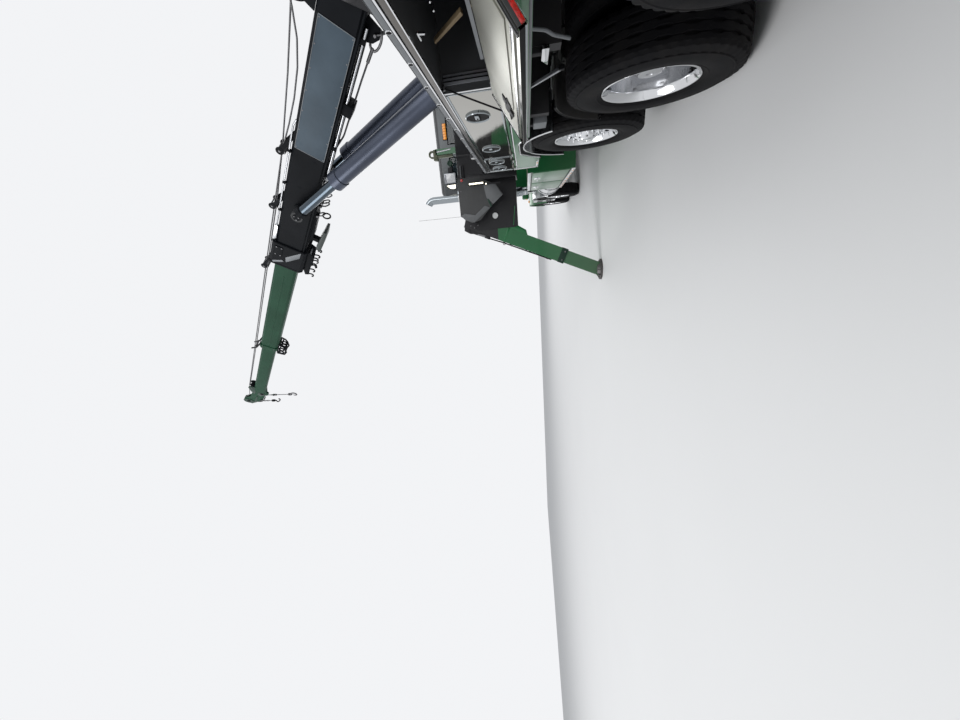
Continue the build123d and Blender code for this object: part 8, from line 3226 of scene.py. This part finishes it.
@dataclass
class Outriggers:
    """The outriggers' cover plates, pins, hoses, collars, lamps and foot plates, and the boom's rest."""

    pin: tuple[float, float] = (1.83, 2.33)
    arm_x: tuple[float, float] = (0.84, 0.56)
    arm_half: float = 0.115
    leg_half: tuple[float, float] = (0.0907, 0.13)
    sleeve_end: float = 1.83
    foot_y: float = 2.8606
    housing: tuple[float, float] = (0.42, 0.98)
    hub: tuple[float, float] = (1.732, 1.927)
    hub_radius: float = 0.052
    wedge: tuple[tuple[float, float], ...] = (
        (1.828, 2.284), (1.775, 2.44), (1.70, 2.512), (1.663, 2.44), (1.708, 2.257), (1.568, 2.072),
        (1.61, 1.985),
    )
    rhombus: tuple[tuple[float, float], ...] = (
        (1.553, 1.916), (1.443, 2.033), (1.224, 2.07), (1.245, 1.864), (1.424, 1.752),
    )
    cover_bolts: tuple[tuple[float, float], ...] = (
        (1.78, 2.29), (1.70, 2.47), (1.30, 2.47), (1.30, 2.02), (1.42, 1.82), (1.50, 1.93),
    )
    foot_gussets: int = 8
    leg_clips: tuple[float, ...] = (0.75, 1.15, 1.5)
    # the rest's hoop: its middle, across and up, and its two radii
    hoop: tuple[float, float, float, float] = (0.625, 2.972, 0.062, 0.034)
    cover: tuple[tuple[float, float], ...] = (
        (1.834, 2.328), (1.71, 2.518), (1.112, 2.518), (1.112, 2.157), (1.245, 1.853), (1.416, 1.74),
        (1.558, 1.929), (1.796, 2.167),
    )

    def arm(self, shape: Shape, x: float) -> None:
        """Add the arm's pin caps, hoses, stiffeners and bolts.

        Args:
            shape: The arm's shape.
            x: The arm's middle, along the truck.
        """
        py, pz = self.pin
        for way in (-1, 1):
            cap = facing_x((x + way * self.arm_half, py, pz), way)
            shape.turned(
                ((0.095, 0.0), (0.095, 0.008), (0.062, 0.010), (0.062, 0.024), (0.055, 0.030), (0.0, 0.030)),
                Finish.BLACK, cap, 40)
            shape.ring_of(
                6, 0.078, cap @ Matrix.Translation((0, 0, 0.008)),
                lambda spot: shape.bolt(spot, 0.02, Finish.RAW_STEEL))
            for y0, z0, y1, z1 in ((1.60, 1.56, 1.93, 1.60), (1.60, 2.40, 1.68, 2.40)):
                shape.rod(
                    (x + way * self.arm_half, y0, z0), (x + way * self.arm_half, y1, z1), 0.008,
                    Finish.GREEN, 10)
            hub, r = facing_x((x + way * self.arm_half, *self.hub), way), self.hub_radius
            shape.turned(((r, 0.0), (r, 0.004), (0.0, 0.006)), Finish.WHITE, hub, 36)
            shape.turned(
                ((r, 0.0), (r + 0.009, 0.0), (r + 0.008, 0.006), (r, 0.006)), Finish.SATIN_BLACK, hub, 36)
        for k in range(3):
            off = x - 0.05 + k * 0.05
            shape.pipe(
                (
                    (off, 1.58, 2.30), (off, 1.66, 2.46), (off, 1.86, 2.52), (off, 1.98, 2.40),
                    (off, 2.03, 2.30),
                ),
                0.012, Finish.SEAL, 0.08, 10)

    def leg(self, shape: Shape) -> None:
        """Add the leg's end collar, edge strips, lugs and hoses.

        Args:
            shape: The leg's shape.
        """
        half_x, half_y = self.leg_half
        end = self.sleeve_end
        for z0, z1, grow, finish in (
            (end - 0.12, end - 0.002, 0.007, Finish.HEAD_PAINT), (0.62, 0.66, 0.004, Finish.GREEN),
        ):
            for way in (-1, 1):
                shape.block(
                    (way * half_x, -half_y - grow, z0), (way * (half_x + grow), half_y + grow, z1), finish)
                shape.block(
                    (-half_x - grow, way * half_y, z0), (half_x + grow, way * (half_y + grow), z1), finish)
        for way in (-1, 1):
            for y in (-0.08, 0.08):
                spot = facing_x((way * (half_x + 0.012), y, end - 0.05), way)
                shape.bolt(spot, 0.026, Finish.RAW_STEEL)
        # the black lugs over the pin, and the lamp bracket
        for x in (-0.055, 0.055):
            ear = [(0.13, -0.16), (0.19, -0.14), (0.205, -0.02), (0.17, 0.10), (0.13, 0.16)]
            shape.plate(ear, 0.018, Finish.BLACK, facing_x((x - 0.009, 0, 0), 1), 0.004)
        shape.rod((-0.085, 0.165, -0.05), (0.085, 0.165, -0.05), 0.026, Finish.BLACK, 24)
        shape.rod((0, 0.165, -0.05), (0, 0.148, 0.28), 0.03, Finish.RAW_STEEL, 20)
        shape.block((-0.04, 0.13, 0.26), (0.04, 0.185, 0.36), Finish.BLACK, 0.006)
        for x in (-0.03, 0.03):
            shape.pipe(((x, 0.17, 0.30), (x, 0.152, 0.6), (x, 0.142, 1.6)), 0.010, Finish.SEAL, 0.1, 8)
        for z in self.leg_clips:
            shape.block((-0.05, 0.129, z), (0.05, 0.158, z + 0.03), Finish.SATIN_BLACK, 0.004)
        for way in (-1, 1):
            shape.rod(
                (way * 0.04, half_y, 0.79), (way * 0.04, half_y + 0.035, 0.80), 0.012, Finish.RAW_STEEL, 12,
            )
        # the bracket on the truck's side of the sleeve, and a ring on its outer side
        gusset = [
            (-half_y + 0.01, 0.51), (-0.24, 0.535), (-0.235, 0.757), (-0.205, 0.955),
            (-half_y + 0.01, 1.02),
        ]
        shape.wall(gusset, -half_x + 0.004, half_x - 0.004, Finish.GREEN, 0.008)
        loop = [(0.0, u, v) for u, v in circle((half_y + 0.03, 0.65), 0.022)]
        shape.pipe(loop, 0.006, Finish.RAW_STEEL, 0.0, 8, closed=True)

    def foot(self, shape: Shape, x: float) -> None:
        """Add the foot plate's gussets, ball socket and rim.

        Args:
            shape: The foot's shape.
            x: The foot's middle, along the truck.
        """
        base = Matrix.Translation((x, self.foot_y, 0))
        shape.turned(
            ((0.188, 0.028), (0.188, 0.034), (0.17, 0.036), (0.165, 0.031)), Finish.RAW_STEEL, base, 64)
        shape.turned(((0.125, 0.029), (0.118, 0.05), (0.10, 0.085), (0.0, 0.12)), Finish.RAW_STEEL, base, 48)
        for i in range(self.foot_gussets):
            turn = base @ Matrix.Rotation(2 * math.pi * i / self.foot_gussets, 4, "Z")
            shape.plate(
                [(0.10, 0.029), (0.175, 0.029), (0.168, 0.04), (0.10, 0.085)], 0.012, Finish.RAW_STEEL,
                turn @ facing((0, 0.006, 0), -1))

    def covers(self, shape: Shape) -> None:
        """Add the housing's cover plates, work lamps, ribs and bolts on one side.

        Args:
            shape: The side's shape.
        """
        rear, front = self.housing
        plate = facing_x((rear - 0.014, 0, 0), 1)
        shape.plate(self.cover, 0.012, Finish.COVER, plate, 0.003)
        for facet in (self.wedge, self.rhombus):
            shape.wall(facet, rear - 0.020, rear - 0.012, Finish.GREY_COVER, 0.002)
        shape.wall(
            ((1.60, 1.965), (1.585, 1.945), (1.466, 1.993), (1.476, 2.022)), rear - 0.022, rear - 0.012,
            Finish.HEAD_PAINT, 0.002)
        for y, z in self.cover_bolts:
            shape.bolt(facing_x((rear - 0.018, y, z), -1), 0.02, Finish.RAW_STEEL)
        shape.block((rear - 0.004, 1.06, 1.80), (rear + 0.05, 1.153, 2.52), Finish.BLACK, 0.006)
        # the narrow work lamp beside the cover, lit, with a bright dot and a dark bar below it
        shape.block((rear - 0.060, 1.188, 2.05), (rear - 0.018, 1.228, 2.325), Finish.SATIN_BLACK, 0.008)
        for i in range(5):
            z = 2.066 + i * 0.050
            shape.block((rear - 0.066, 1.196, z), (rear - 0.058, 1.220, z + 0.044), Finish.WORK_LIGHT, 0.003)
        shape.block((rear - 0.034, 1.216, 1.78), (rear - 0.014, 1.240, 2.06), Finish.SATIN_BLACK, 0.004)
        shape.turned(
            ((0.012, 0.0), (0.010, 0.006), (0.0, 0.008)), Finish.WORK_LIGHT,
            facing_x((rear - 0.034, 1.226, 2.021), -1), 20)
        shape.turned(((0.024, 0.0), (0.024, 0.012), (0.016, 0.020), (0.0, 0.022)), Finish.RED,
                     facing_x((rear - 0.001, 1.13, 2.442), -1), 24)
        for z, finish in ((2.442, Finish.GREY_COVER), (2.40, Finish.SATIN_BLACK)):
            shape.rod((rear - 0.03, 0.90, z), (rear - 0.03, 1.09, z), 0.010, finish, 12)
            for y in (0.92, 1.07):
                shape.rod((rear - 0.03, y, z), (rear, y, z), 0.006, Finish.SATIN_BLACK, 8)
        # ribs round the housing's mouth and along its faces
        for x0, x1 in ((rear - 0.010, rear), (front, front + 0.010)):
            shape.block((x0, 1.08, 1.50), (x1, 1.15, 2.50), Finish.BLACK)
            for y in (0.2, 0.75):
                shape.block((x0, y - 0.015, 1.52), (x1, y + 0.015, 2.48), Finish.BLACK)
        for z0, z1 in ((1.4985, 1.502), (2.498, 2.512)):
            shape.block((rear - 0.008, 1.08, z0), (front + 0.008, 1.152, z1), Finish.BLACK)
        shape.block((rear + 0.02, 0.72, 2.50), (front - 0.02, 1.04, 2.506), Finish.TREADPLATE, 0.002)
        for k in range(4):
            z = 1.62 + k * 0.05
            shape.pipe(
                (
                    (rear - 0.03, 0.10, z), (rear - 0.03, 0.60, z), (rear - 0.03, 0.95, z + 0.2),
                    (rear - 0.03, 1.05, z + 0.3),
                ),
                0.011, Finish.SEAL, 0.15, 8)
        shape.block((rear - 0.05, 0.30, 1.60), (rear, 0.36, 1.80), Finish.SATIN_BLACK)

    def rest(self, layout: Layout) -> None:
        """Top the boom's rest post with a rounded cradle.

        Args:
            layout: The truck's places.
        """
        shape = Shape()
        shape.wall(
            [(0.545, 2.868), (0.735, 2.868), (0.725, 2.945), (0.56, 2.945)], 0.655, 0.745,
            Finish.REST_STEEL, 0.008)
        y, z, outer, inner = self.hoop
        ring = circle((y, z), outer, -25.0, 14.375, 17) + circle((y, z), inner, 205.0, -14.375, 17)
        shape.wall(ring, 0.675, 0.725, Finish.REST_STEEL, 0.006)
        shape.block((0.665, 0.648, 2.60), (0.735, 0.692, 2.872), Finish.REST_STEEL, 0.008)
        shape.rod((0.652, 0.602, 2.875), (0.652, 0.578, 2.62), 0.012, Finish.ALUMINIUM, 12)
        shape.block((0.60, 0.50, 2.498), (0.80, 0.70, 2.515), Finish.GREEN, 0.004)
        shape.done("boom_rest", "chassis", layout.truck, "green_paint")

    def build(self, layout: Layout) -> None:
        """Dress both outriggers, their housing and the boom's rest.

        Args:
            layout: The truck's places.
        """
        for side, x in zip((Side.LEFT, Side.RIGHT), self.arm_x):
            word, place = side.word, layout.side(side)
            arm, leg, foot, cover = Shape(), Shape(), Shape(), Shape()
            self.arm(arm, x)
            arm.done(f"outrigger_arm_fittings_{word}", f"outrigger_arm_{word}", place, "green_paint")
            self.leg(leg)
            leg.done(
                f"outrigger_leg_fittings_{word}", f"outrigger_leg_{word}", layout.leg(side), "green_paint")
            self.foot(foot, x)
            foot.done(f"outrigger_foot_fittings_{word}", f"outrigger_foot_{word}", place, "black_paint")
            self.covers(cover)
            cover.done(f"outrigger_covers_{word}", "chassis", place, "black_paint")
        self.rest(layout)


@dataclass
class Tail:
    """The rear end: lamps, jack guides, lugs' collars, chain racks and the underlift's fittings."""

    face: float = -7.08
    half: float = 1.2
    jack: tuple[float, float] = (-6.98, 1.02)
    top: float = 1.5
    low: float = 0.7
    lift_x: float = -7.18
    bar_z: tuple[float, float] = (1.57, 1.70)
    lamp_z: float = 1.33
    lamp_row: tuple[tuple[float, Finish], ...] = (
        (0.68, Finish.CLEAR), (0.82, Finish.AMBER), (0.96, Finish.RED), (1.09, Finish.RED),
    )

    def lamps(self, shape: Shape) -> None:
        """Add one side's lamp cluster, reflectors, steps and jack guide.

        Args:
            shape: The side's shape.
        """
        x = self.face
        z = self.lamp_z
        shape.block((x - 0.014, 0.60, z - 0.09), (x + 0.002, 1.17, z + 0.09), Finish.STAINLESS, 0.006)
        for y, finish in self.lamp_row:
            spot = facing_x((x - 0.013, y, z), -1)
            shape.turned(
                ((0.058, 0.0), (0.058, 0.008), (0.05, 0.012), (0.05, 0.0)), Finish.CHROME, spot, 32, True)
            shape.turned(((0.051, 0.0), (0.048, 0.010), (0.03, 0.016), (0.0, 0.018)), finish, spot, 32)
        shape.block((x - 0.006, 0.30, 0.74), (x + 0.002, 1.16, 0.79), Finish.RED, 0.003)
        shape.block((x - 0.010, 0.20, 1.44), (x + 0.002, self.half, 1.495), Finish.STAINLESS, 0.004)
        shape.block(
            (x + 0.004, 0.05, self.top), (self.jack[0] + 0.09, self.half - 0.01, self.top + 0.006),
            Finish.TREADPLATE, 0.002)
        jx, jy = self.jack
        for way in (-1, 1):
            shape.block(
                (jx - 0.09, jy + way * 0.0765, self.low - 0.012),
                (jx + 0.09, jy + way * 0.10, self.low + 0.002), Finish.BLACK)
            shape.block(
                (jx + way * 0.0765, jy - 0.10, self.low - 0.012),
                (jx + way * 0.10, jy + 0.10, self.low + 0.002), Finish.BLACK)
        for z in (1.0, 1.1):
            for y in (0.35, 0.48):
                spot = facing_x((x, y, z), -1)
                shape.turned(
                    ((0.024, 0.0), (0.024, 0.018), (0.016, 0.022), (0.016, 0.04), (0.0, 0.042)),
                    Finish.RAW_STEEL, spot, 20)
        for way in (-1, 1):
            lug = facing((x - 0.09, 0.76 + way * 0.021, 0.82), way)
            shape.turned(
                ((0.0265, -0.002), (0.044, -0.002), (0.04, 0.004), (0.029, 0.004)), Finish.RAW_STEEL, lug,
                32, True)
        shape.block((x - 0.03, 0.93, 0.85), (x, 1.12, 1.15), Finish.BLACK, 0.008)
        for i in range(4):
            y = 0.955 + i * 0.044
            shape.rod((x - 0.028, y, 1.12), (x - 0.07, y, 1.135), 0.008, Finish.RAW_STEEL, 10)

    def jacks(self, layout: Layout) -> None:
        """Add the jacks' foot plates and pins.

        Args:
            layout: The truck's places.
        """
        x, y = self.jack
        for side in Side:
            shape = Shape()
            shape.block((x - 0.092, y - 0.127, 0.182), (x + 0.092, y + 0.127, 0.19), Finish.RAW_STEEL)
            for way in (-1, 1):
                for k in (-0.05, 0.05):
                    turn = Matrix.Rotation(0.0 if way > 0 else math.pi, 4, "Z")
                    gusset = Matrix.Translation((x + k, y, 0)) @ turn @ facing_x((-0.006, 0, 0), 1)
                    shape.plate([(0.074, 0.208), (0.12, 0.208), (0.074, 0.30)], 0.012, Finish.BLACK, gusset)
                for z in (0.38, 0.50, 0.62):
                    spot = facing((x, y + way * 0.075, z), way)
                    shape.turned(
                        ((0.018, 0.0005), (0.022, 0.0005), (0.022, 0.0025), (0.018, 0.0025)),
                        Finish.RAW_STEEL, spot, 20, True)
            shape.done(
                f"rear_jack_fittings_{side.word}", f"rear_jack_{side.word}", layout.side(side),
                "black_paint")

    def underlift(self, layout: Layout) -> None:
        """Add the folded underlift's pins, plates, cylinder, forks' sockets and pads.

        Args:
            layout: The truck's places.
        """
        shape = Shape()
        x, low, high = self.lift_x, *self.bar_z
        for z in (0.86, 1.16, 1.44):
            shape.block((x - 0.068, -0.118, z - 0.02), (x + 0.068, 0.118, z + 0.02), Finish.BLACK, 0.004)
        for y in (-1, 1):
            spot = facing((x, y * 0.11, 1.30), y)
            shape.turned(
                ((0.05, -0.002), (0.05, 0.008), (0.028, 0.01), (0.028, 0.02), (0.0, 0.02)),
                Finish.RAW_STEEL, spot, 28)
            end = frame_of((x - 0.09, y * 0.62, (low + high) / 2), (0, 0, 1), (0, y, 0))
            shape.turned(
                ((0.05, -0.004), (0.05, 0.003), (0.02, 0.004), (0.0, 0.004)), Finish.RAW_STEEL, end, 28)
            for z in (1.40, 1.50):
                shape.rod((-7.30, y * 0.62, z), (-7.30, y * 0.645, z), 0.02, Finish.RAW_STEEL, 20)
            shape.block((-7.415, y * 0.505, 1.372), (-7.305, y * 0.615, 1.38), Finish.RAW_STEEL)
            shape.block(
                (x - 0.235, y * 0.16, high - 0.002), (x + 0.04, y * 0.46, high + 0.006), Finish.TREADPLATE,
                0.002)
        shape.rod((x - 0.085, 0, 0.80), (x - 0.085, 0, 1.22), 0.045, Finish.BLACK, 28)
        shape.rod((x - 0.085, 0, 1.20), (x - 0.085, 0, 1.42), 0.026, Finish.CHROME, 24)
        for z in (0.80, 1.42):
            shape.block((x - 0.12, -0.05, z - 0.03), (x - 0.055, 0.05, z + 0.03), Finish.BLACK, 0.006)
        for y in (-0.075, 0.075):
            shape.pipe(
                ((x - 0.07, y, 0.76), (x - 0.09, y, 0.95), (x - 0.09, y, 1.35), (x - 0.07, y, 1.5)), 0.010,
                Finish.SEAL, 0.08, 8)
        shape.done("underlift_fittings", "underlift", layout.truck, "black_paint")

    def build(self, layout: Layout) -> None:
        """Dress the rear end.

        Args:
            layout: The truck's places.
        """
        for side in Side:
            shape = Shape()
            self.lamps(shape)
            shape.done(f"tail_fittings_{side.word}", "chassis", layout.side(side), "stainless")
        self.jacks(layout)
        self.underlift(layout)


@dataclass
class Running:
    """Under the frame: drive line, air tanks, brake chambers, mud flaps and frame bolts."""

    rail: float = 0.43
    frame_bolts: int = 54
    bolt_step: float = 0.255
    flap_x: float = -5.62
    # the braked axles but the first, along and up
    axles: tuple[tuple[float, float], ...] = ((-3.5, 0.53), (-4.872, 0.53), (-2.26, 0.75), (4.03, 0.53))
    air_tank_y: float = 0.22
    air_tank_z: float = 0.93

    def build(self, layout: Layout) -> None:
        """Add everything under the frame.

        Args:
            layout: The truck's places.
        """
        shape = Shape()
        for start, end in (((5.3, 0, 0.92), (1.2, 0, 0.86)), ((1.1, 0, 0.86), (-2.9, 0, 0.68))):
            shape.rod(start, end, 0.055, Finish.SATIN_BLACK, 28, 0.01)
            for at in (start, end):
                shape.turned(
                    ((0.0, -0.07), (0.075, -0.06), (0.085, 0.0), (0.075, 0.06), (0.0, 0.07)),
                    Finish.RAW_STEEL, facing_x(at, 1), 24)
        for y in (-self.air_tank_y, self.air_tank_y):
            tank = frame_of((-0.7, y, self.air_tank_z), (0, 0, 1), (1, 0, 0))
            shape.turned(
                (
                    (0.0, 0.0), (0.09, 0.012), (0.125, 0.05), (0.13, 0.09), (0.13, 0.81), (0.125, 0.85),
                    (0.09, 0.888), (0.0, 0.9),
                ),
                Finish.SATIN_BLACK, tank, 40)
            for x in (-0.5, 0.0):
                shape.turned(((0.131, 0.0), (0.134, 0.0), (0.134, 0.035), (0.131, 0.035)), Finish.RAW_STEEL,
                             frame_of((x, y, self.air_tank_z), (0, 0, 1), (1, 0, 0)), 40, True)
        for side in (-1, 1):
            y = side * (self.rail + 0.001)
            for i in range(self.frame_bolts):
                x = -6.6 + i * self.bolt_step
                for z in (0.90, 1.10):
                    spot = facing((x, y, z), side)
                    shape.bolt(spot, 0.026, Finish.SATIN_BLACK)
            for x, z in self.axles:
                pot = facing_x((x - 0.20, side * 0.60, z + 0.16), -1)
                shape.turned(
                    (
                        (0.0, -0.04), (0.03, -0.04), (0.05, 0.0), (0.085, 0.01), (0.085, 0.05),
                        (0.09, 0.055), (0.09, 0.07), (0.085, 0.075), (0.08, 0.15), (0.05, 0.17),
                        (0.0, 0.172),
                    ),
                    Finish.SATIN_BLACK, pot, 32)
                shape.pipe(
                    (
                        (x - 0.30, side * 0.60, z + 0.20), (x - 0.30, side * 0.52, z + 0.40),
                        (x - 0.30, side * 0.46, 0.95),
                    ),
                    0.010, Finish.SEAL, 0.1, 8)
            # the mud flap behind the drive wheels, with its bright top and foot
            x = self.flap_x
            shape.block((x, side * 0.70, 0.27), (x + 0.008, side * 1.27, 1.185), Finish.SEAL, 0.003)
            shape.block(
                (x - 0.012, side * 0.70, 1.13), (x + 0.016, side * 1.27, 1.185), Finish.STAINLESS, 0.003)
            shape.block(
                (x - 0.004, side * 0.70, 0.27), (x + 0.012, side * 1.27, 0.33), Finish.STAINLESS, 0.002)
            for k, finish in enumerate((Finish.SEAL, Finish.SATIN_BLACK, Finish.RAW_STEEL)):
                z = 0.93 + k * 0.05
                shape.pipe(
                    (
                        (-6.5, side * 0.455, z), (-1.2, side * 0.455, z), (0.2, side * 0.455, z + 0.02),
                        (3.2, side * 0.455, z + 0.02),
                    ),
                    0.009, finish, 0.1, 6)
        shape.done("running_gear", "chassis", layout.truck, "black_paint")


NODE_FINISHES = {
    "chassis_frame": Finish.SATIN_BLACK, "axles": Finish.SATIN_BLACK, "knuckle": Finish.SATIN_BLACK,
    "front_bumper": Finish.CHROME, "hood": Finish.GREEN, "grille": Finish.CHROME,
    "engine": Finish.SATIN_BLACK, "cab": Finish.CAB_SHELL, "cab_glass": Finish.GLASS,
    "cab_door": Finish.CAB_SHELL, "side_boxes": Finish.BOX_PAIR, "fuel_tanks": Finish.ALUMINIUM,
    "exhaust_stacks": Finish.STACK, "quarter_fenders": Finish.FENDERS, "body_left": Finish.BODY_SHELL,
    "body_right": Finish.BODY_SHELL, "body_door": Finish.MIRROR, "deck": Finish.DECK,
    "outrigger_housing": Finish.HOUSING, "outrigger_arm": Finish.BLACK, "outrigger_leg": Finish.LEG,
    "outrigger_foot": Finish.FOOT, "tail_housing": Finish.GREEN, "rear_jack": Finish.BLACK,
    "underlift": Finish.BLACK, "turret": Finish.BLACK, "boom_base": Finish.BOOM_BLACK,
    "boom_middle": Finish.BOOM_GREEN, "boom_tip": Finish.BOOM_GREEN, "lift_barrels": Finish.BARREL,
    "lift_rods": Finish.ROD, "wheel": Finish.TYRE, "winches": Finish.BOOM_BLACK,
    "hoist_hook": Finish.RAW_STEEL, "cab_interior": Finish.TRIM,
}


def dress_nodes(nodes: dict[str, bpy.types.Object]) -> None:
    """Give every solid of the frame its finish.

    Args:
        nodes: The frame's solids, by name.
    """
    for name, solid in nodes.items():
        key = max((k for k in NODE_FINISHES if name.startswith(k)), key=len)
        material = SHOP.get(NODE_FINISHES[key])
        if not solid.material_slots:
            solid.data.materials.append(material)
        for slot in solid.material_slots:
            slot.material = material


def main() -> None:
    """Build the truck's looks round its frame."""
    logging.basicConfig(level=logging.INFO, format="%(name)s: %(message)s")
    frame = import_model()
    Studio().build()
    layout = Layout(frame["joints"])
    dress_nodes(frame["nodes"])
    for name, twin in (
        ("steer_1", False), ("steer_2", False), ("lift", False), ("drive_1", True), ("drive_2", True),
    ):
        Wheel(name, twin).build(layout)
    for assembly in (
        Boom(), LiftCylinders(), Turret(), Cab(), FrontEnd(), SideGear(), Body(), Outriggers(), Tail(),
        Running(),
    ):
        LOG.info("building %s", type(assembly).__name__)
        assembly.build(layout)


if __name__ == "__main__":
    main()
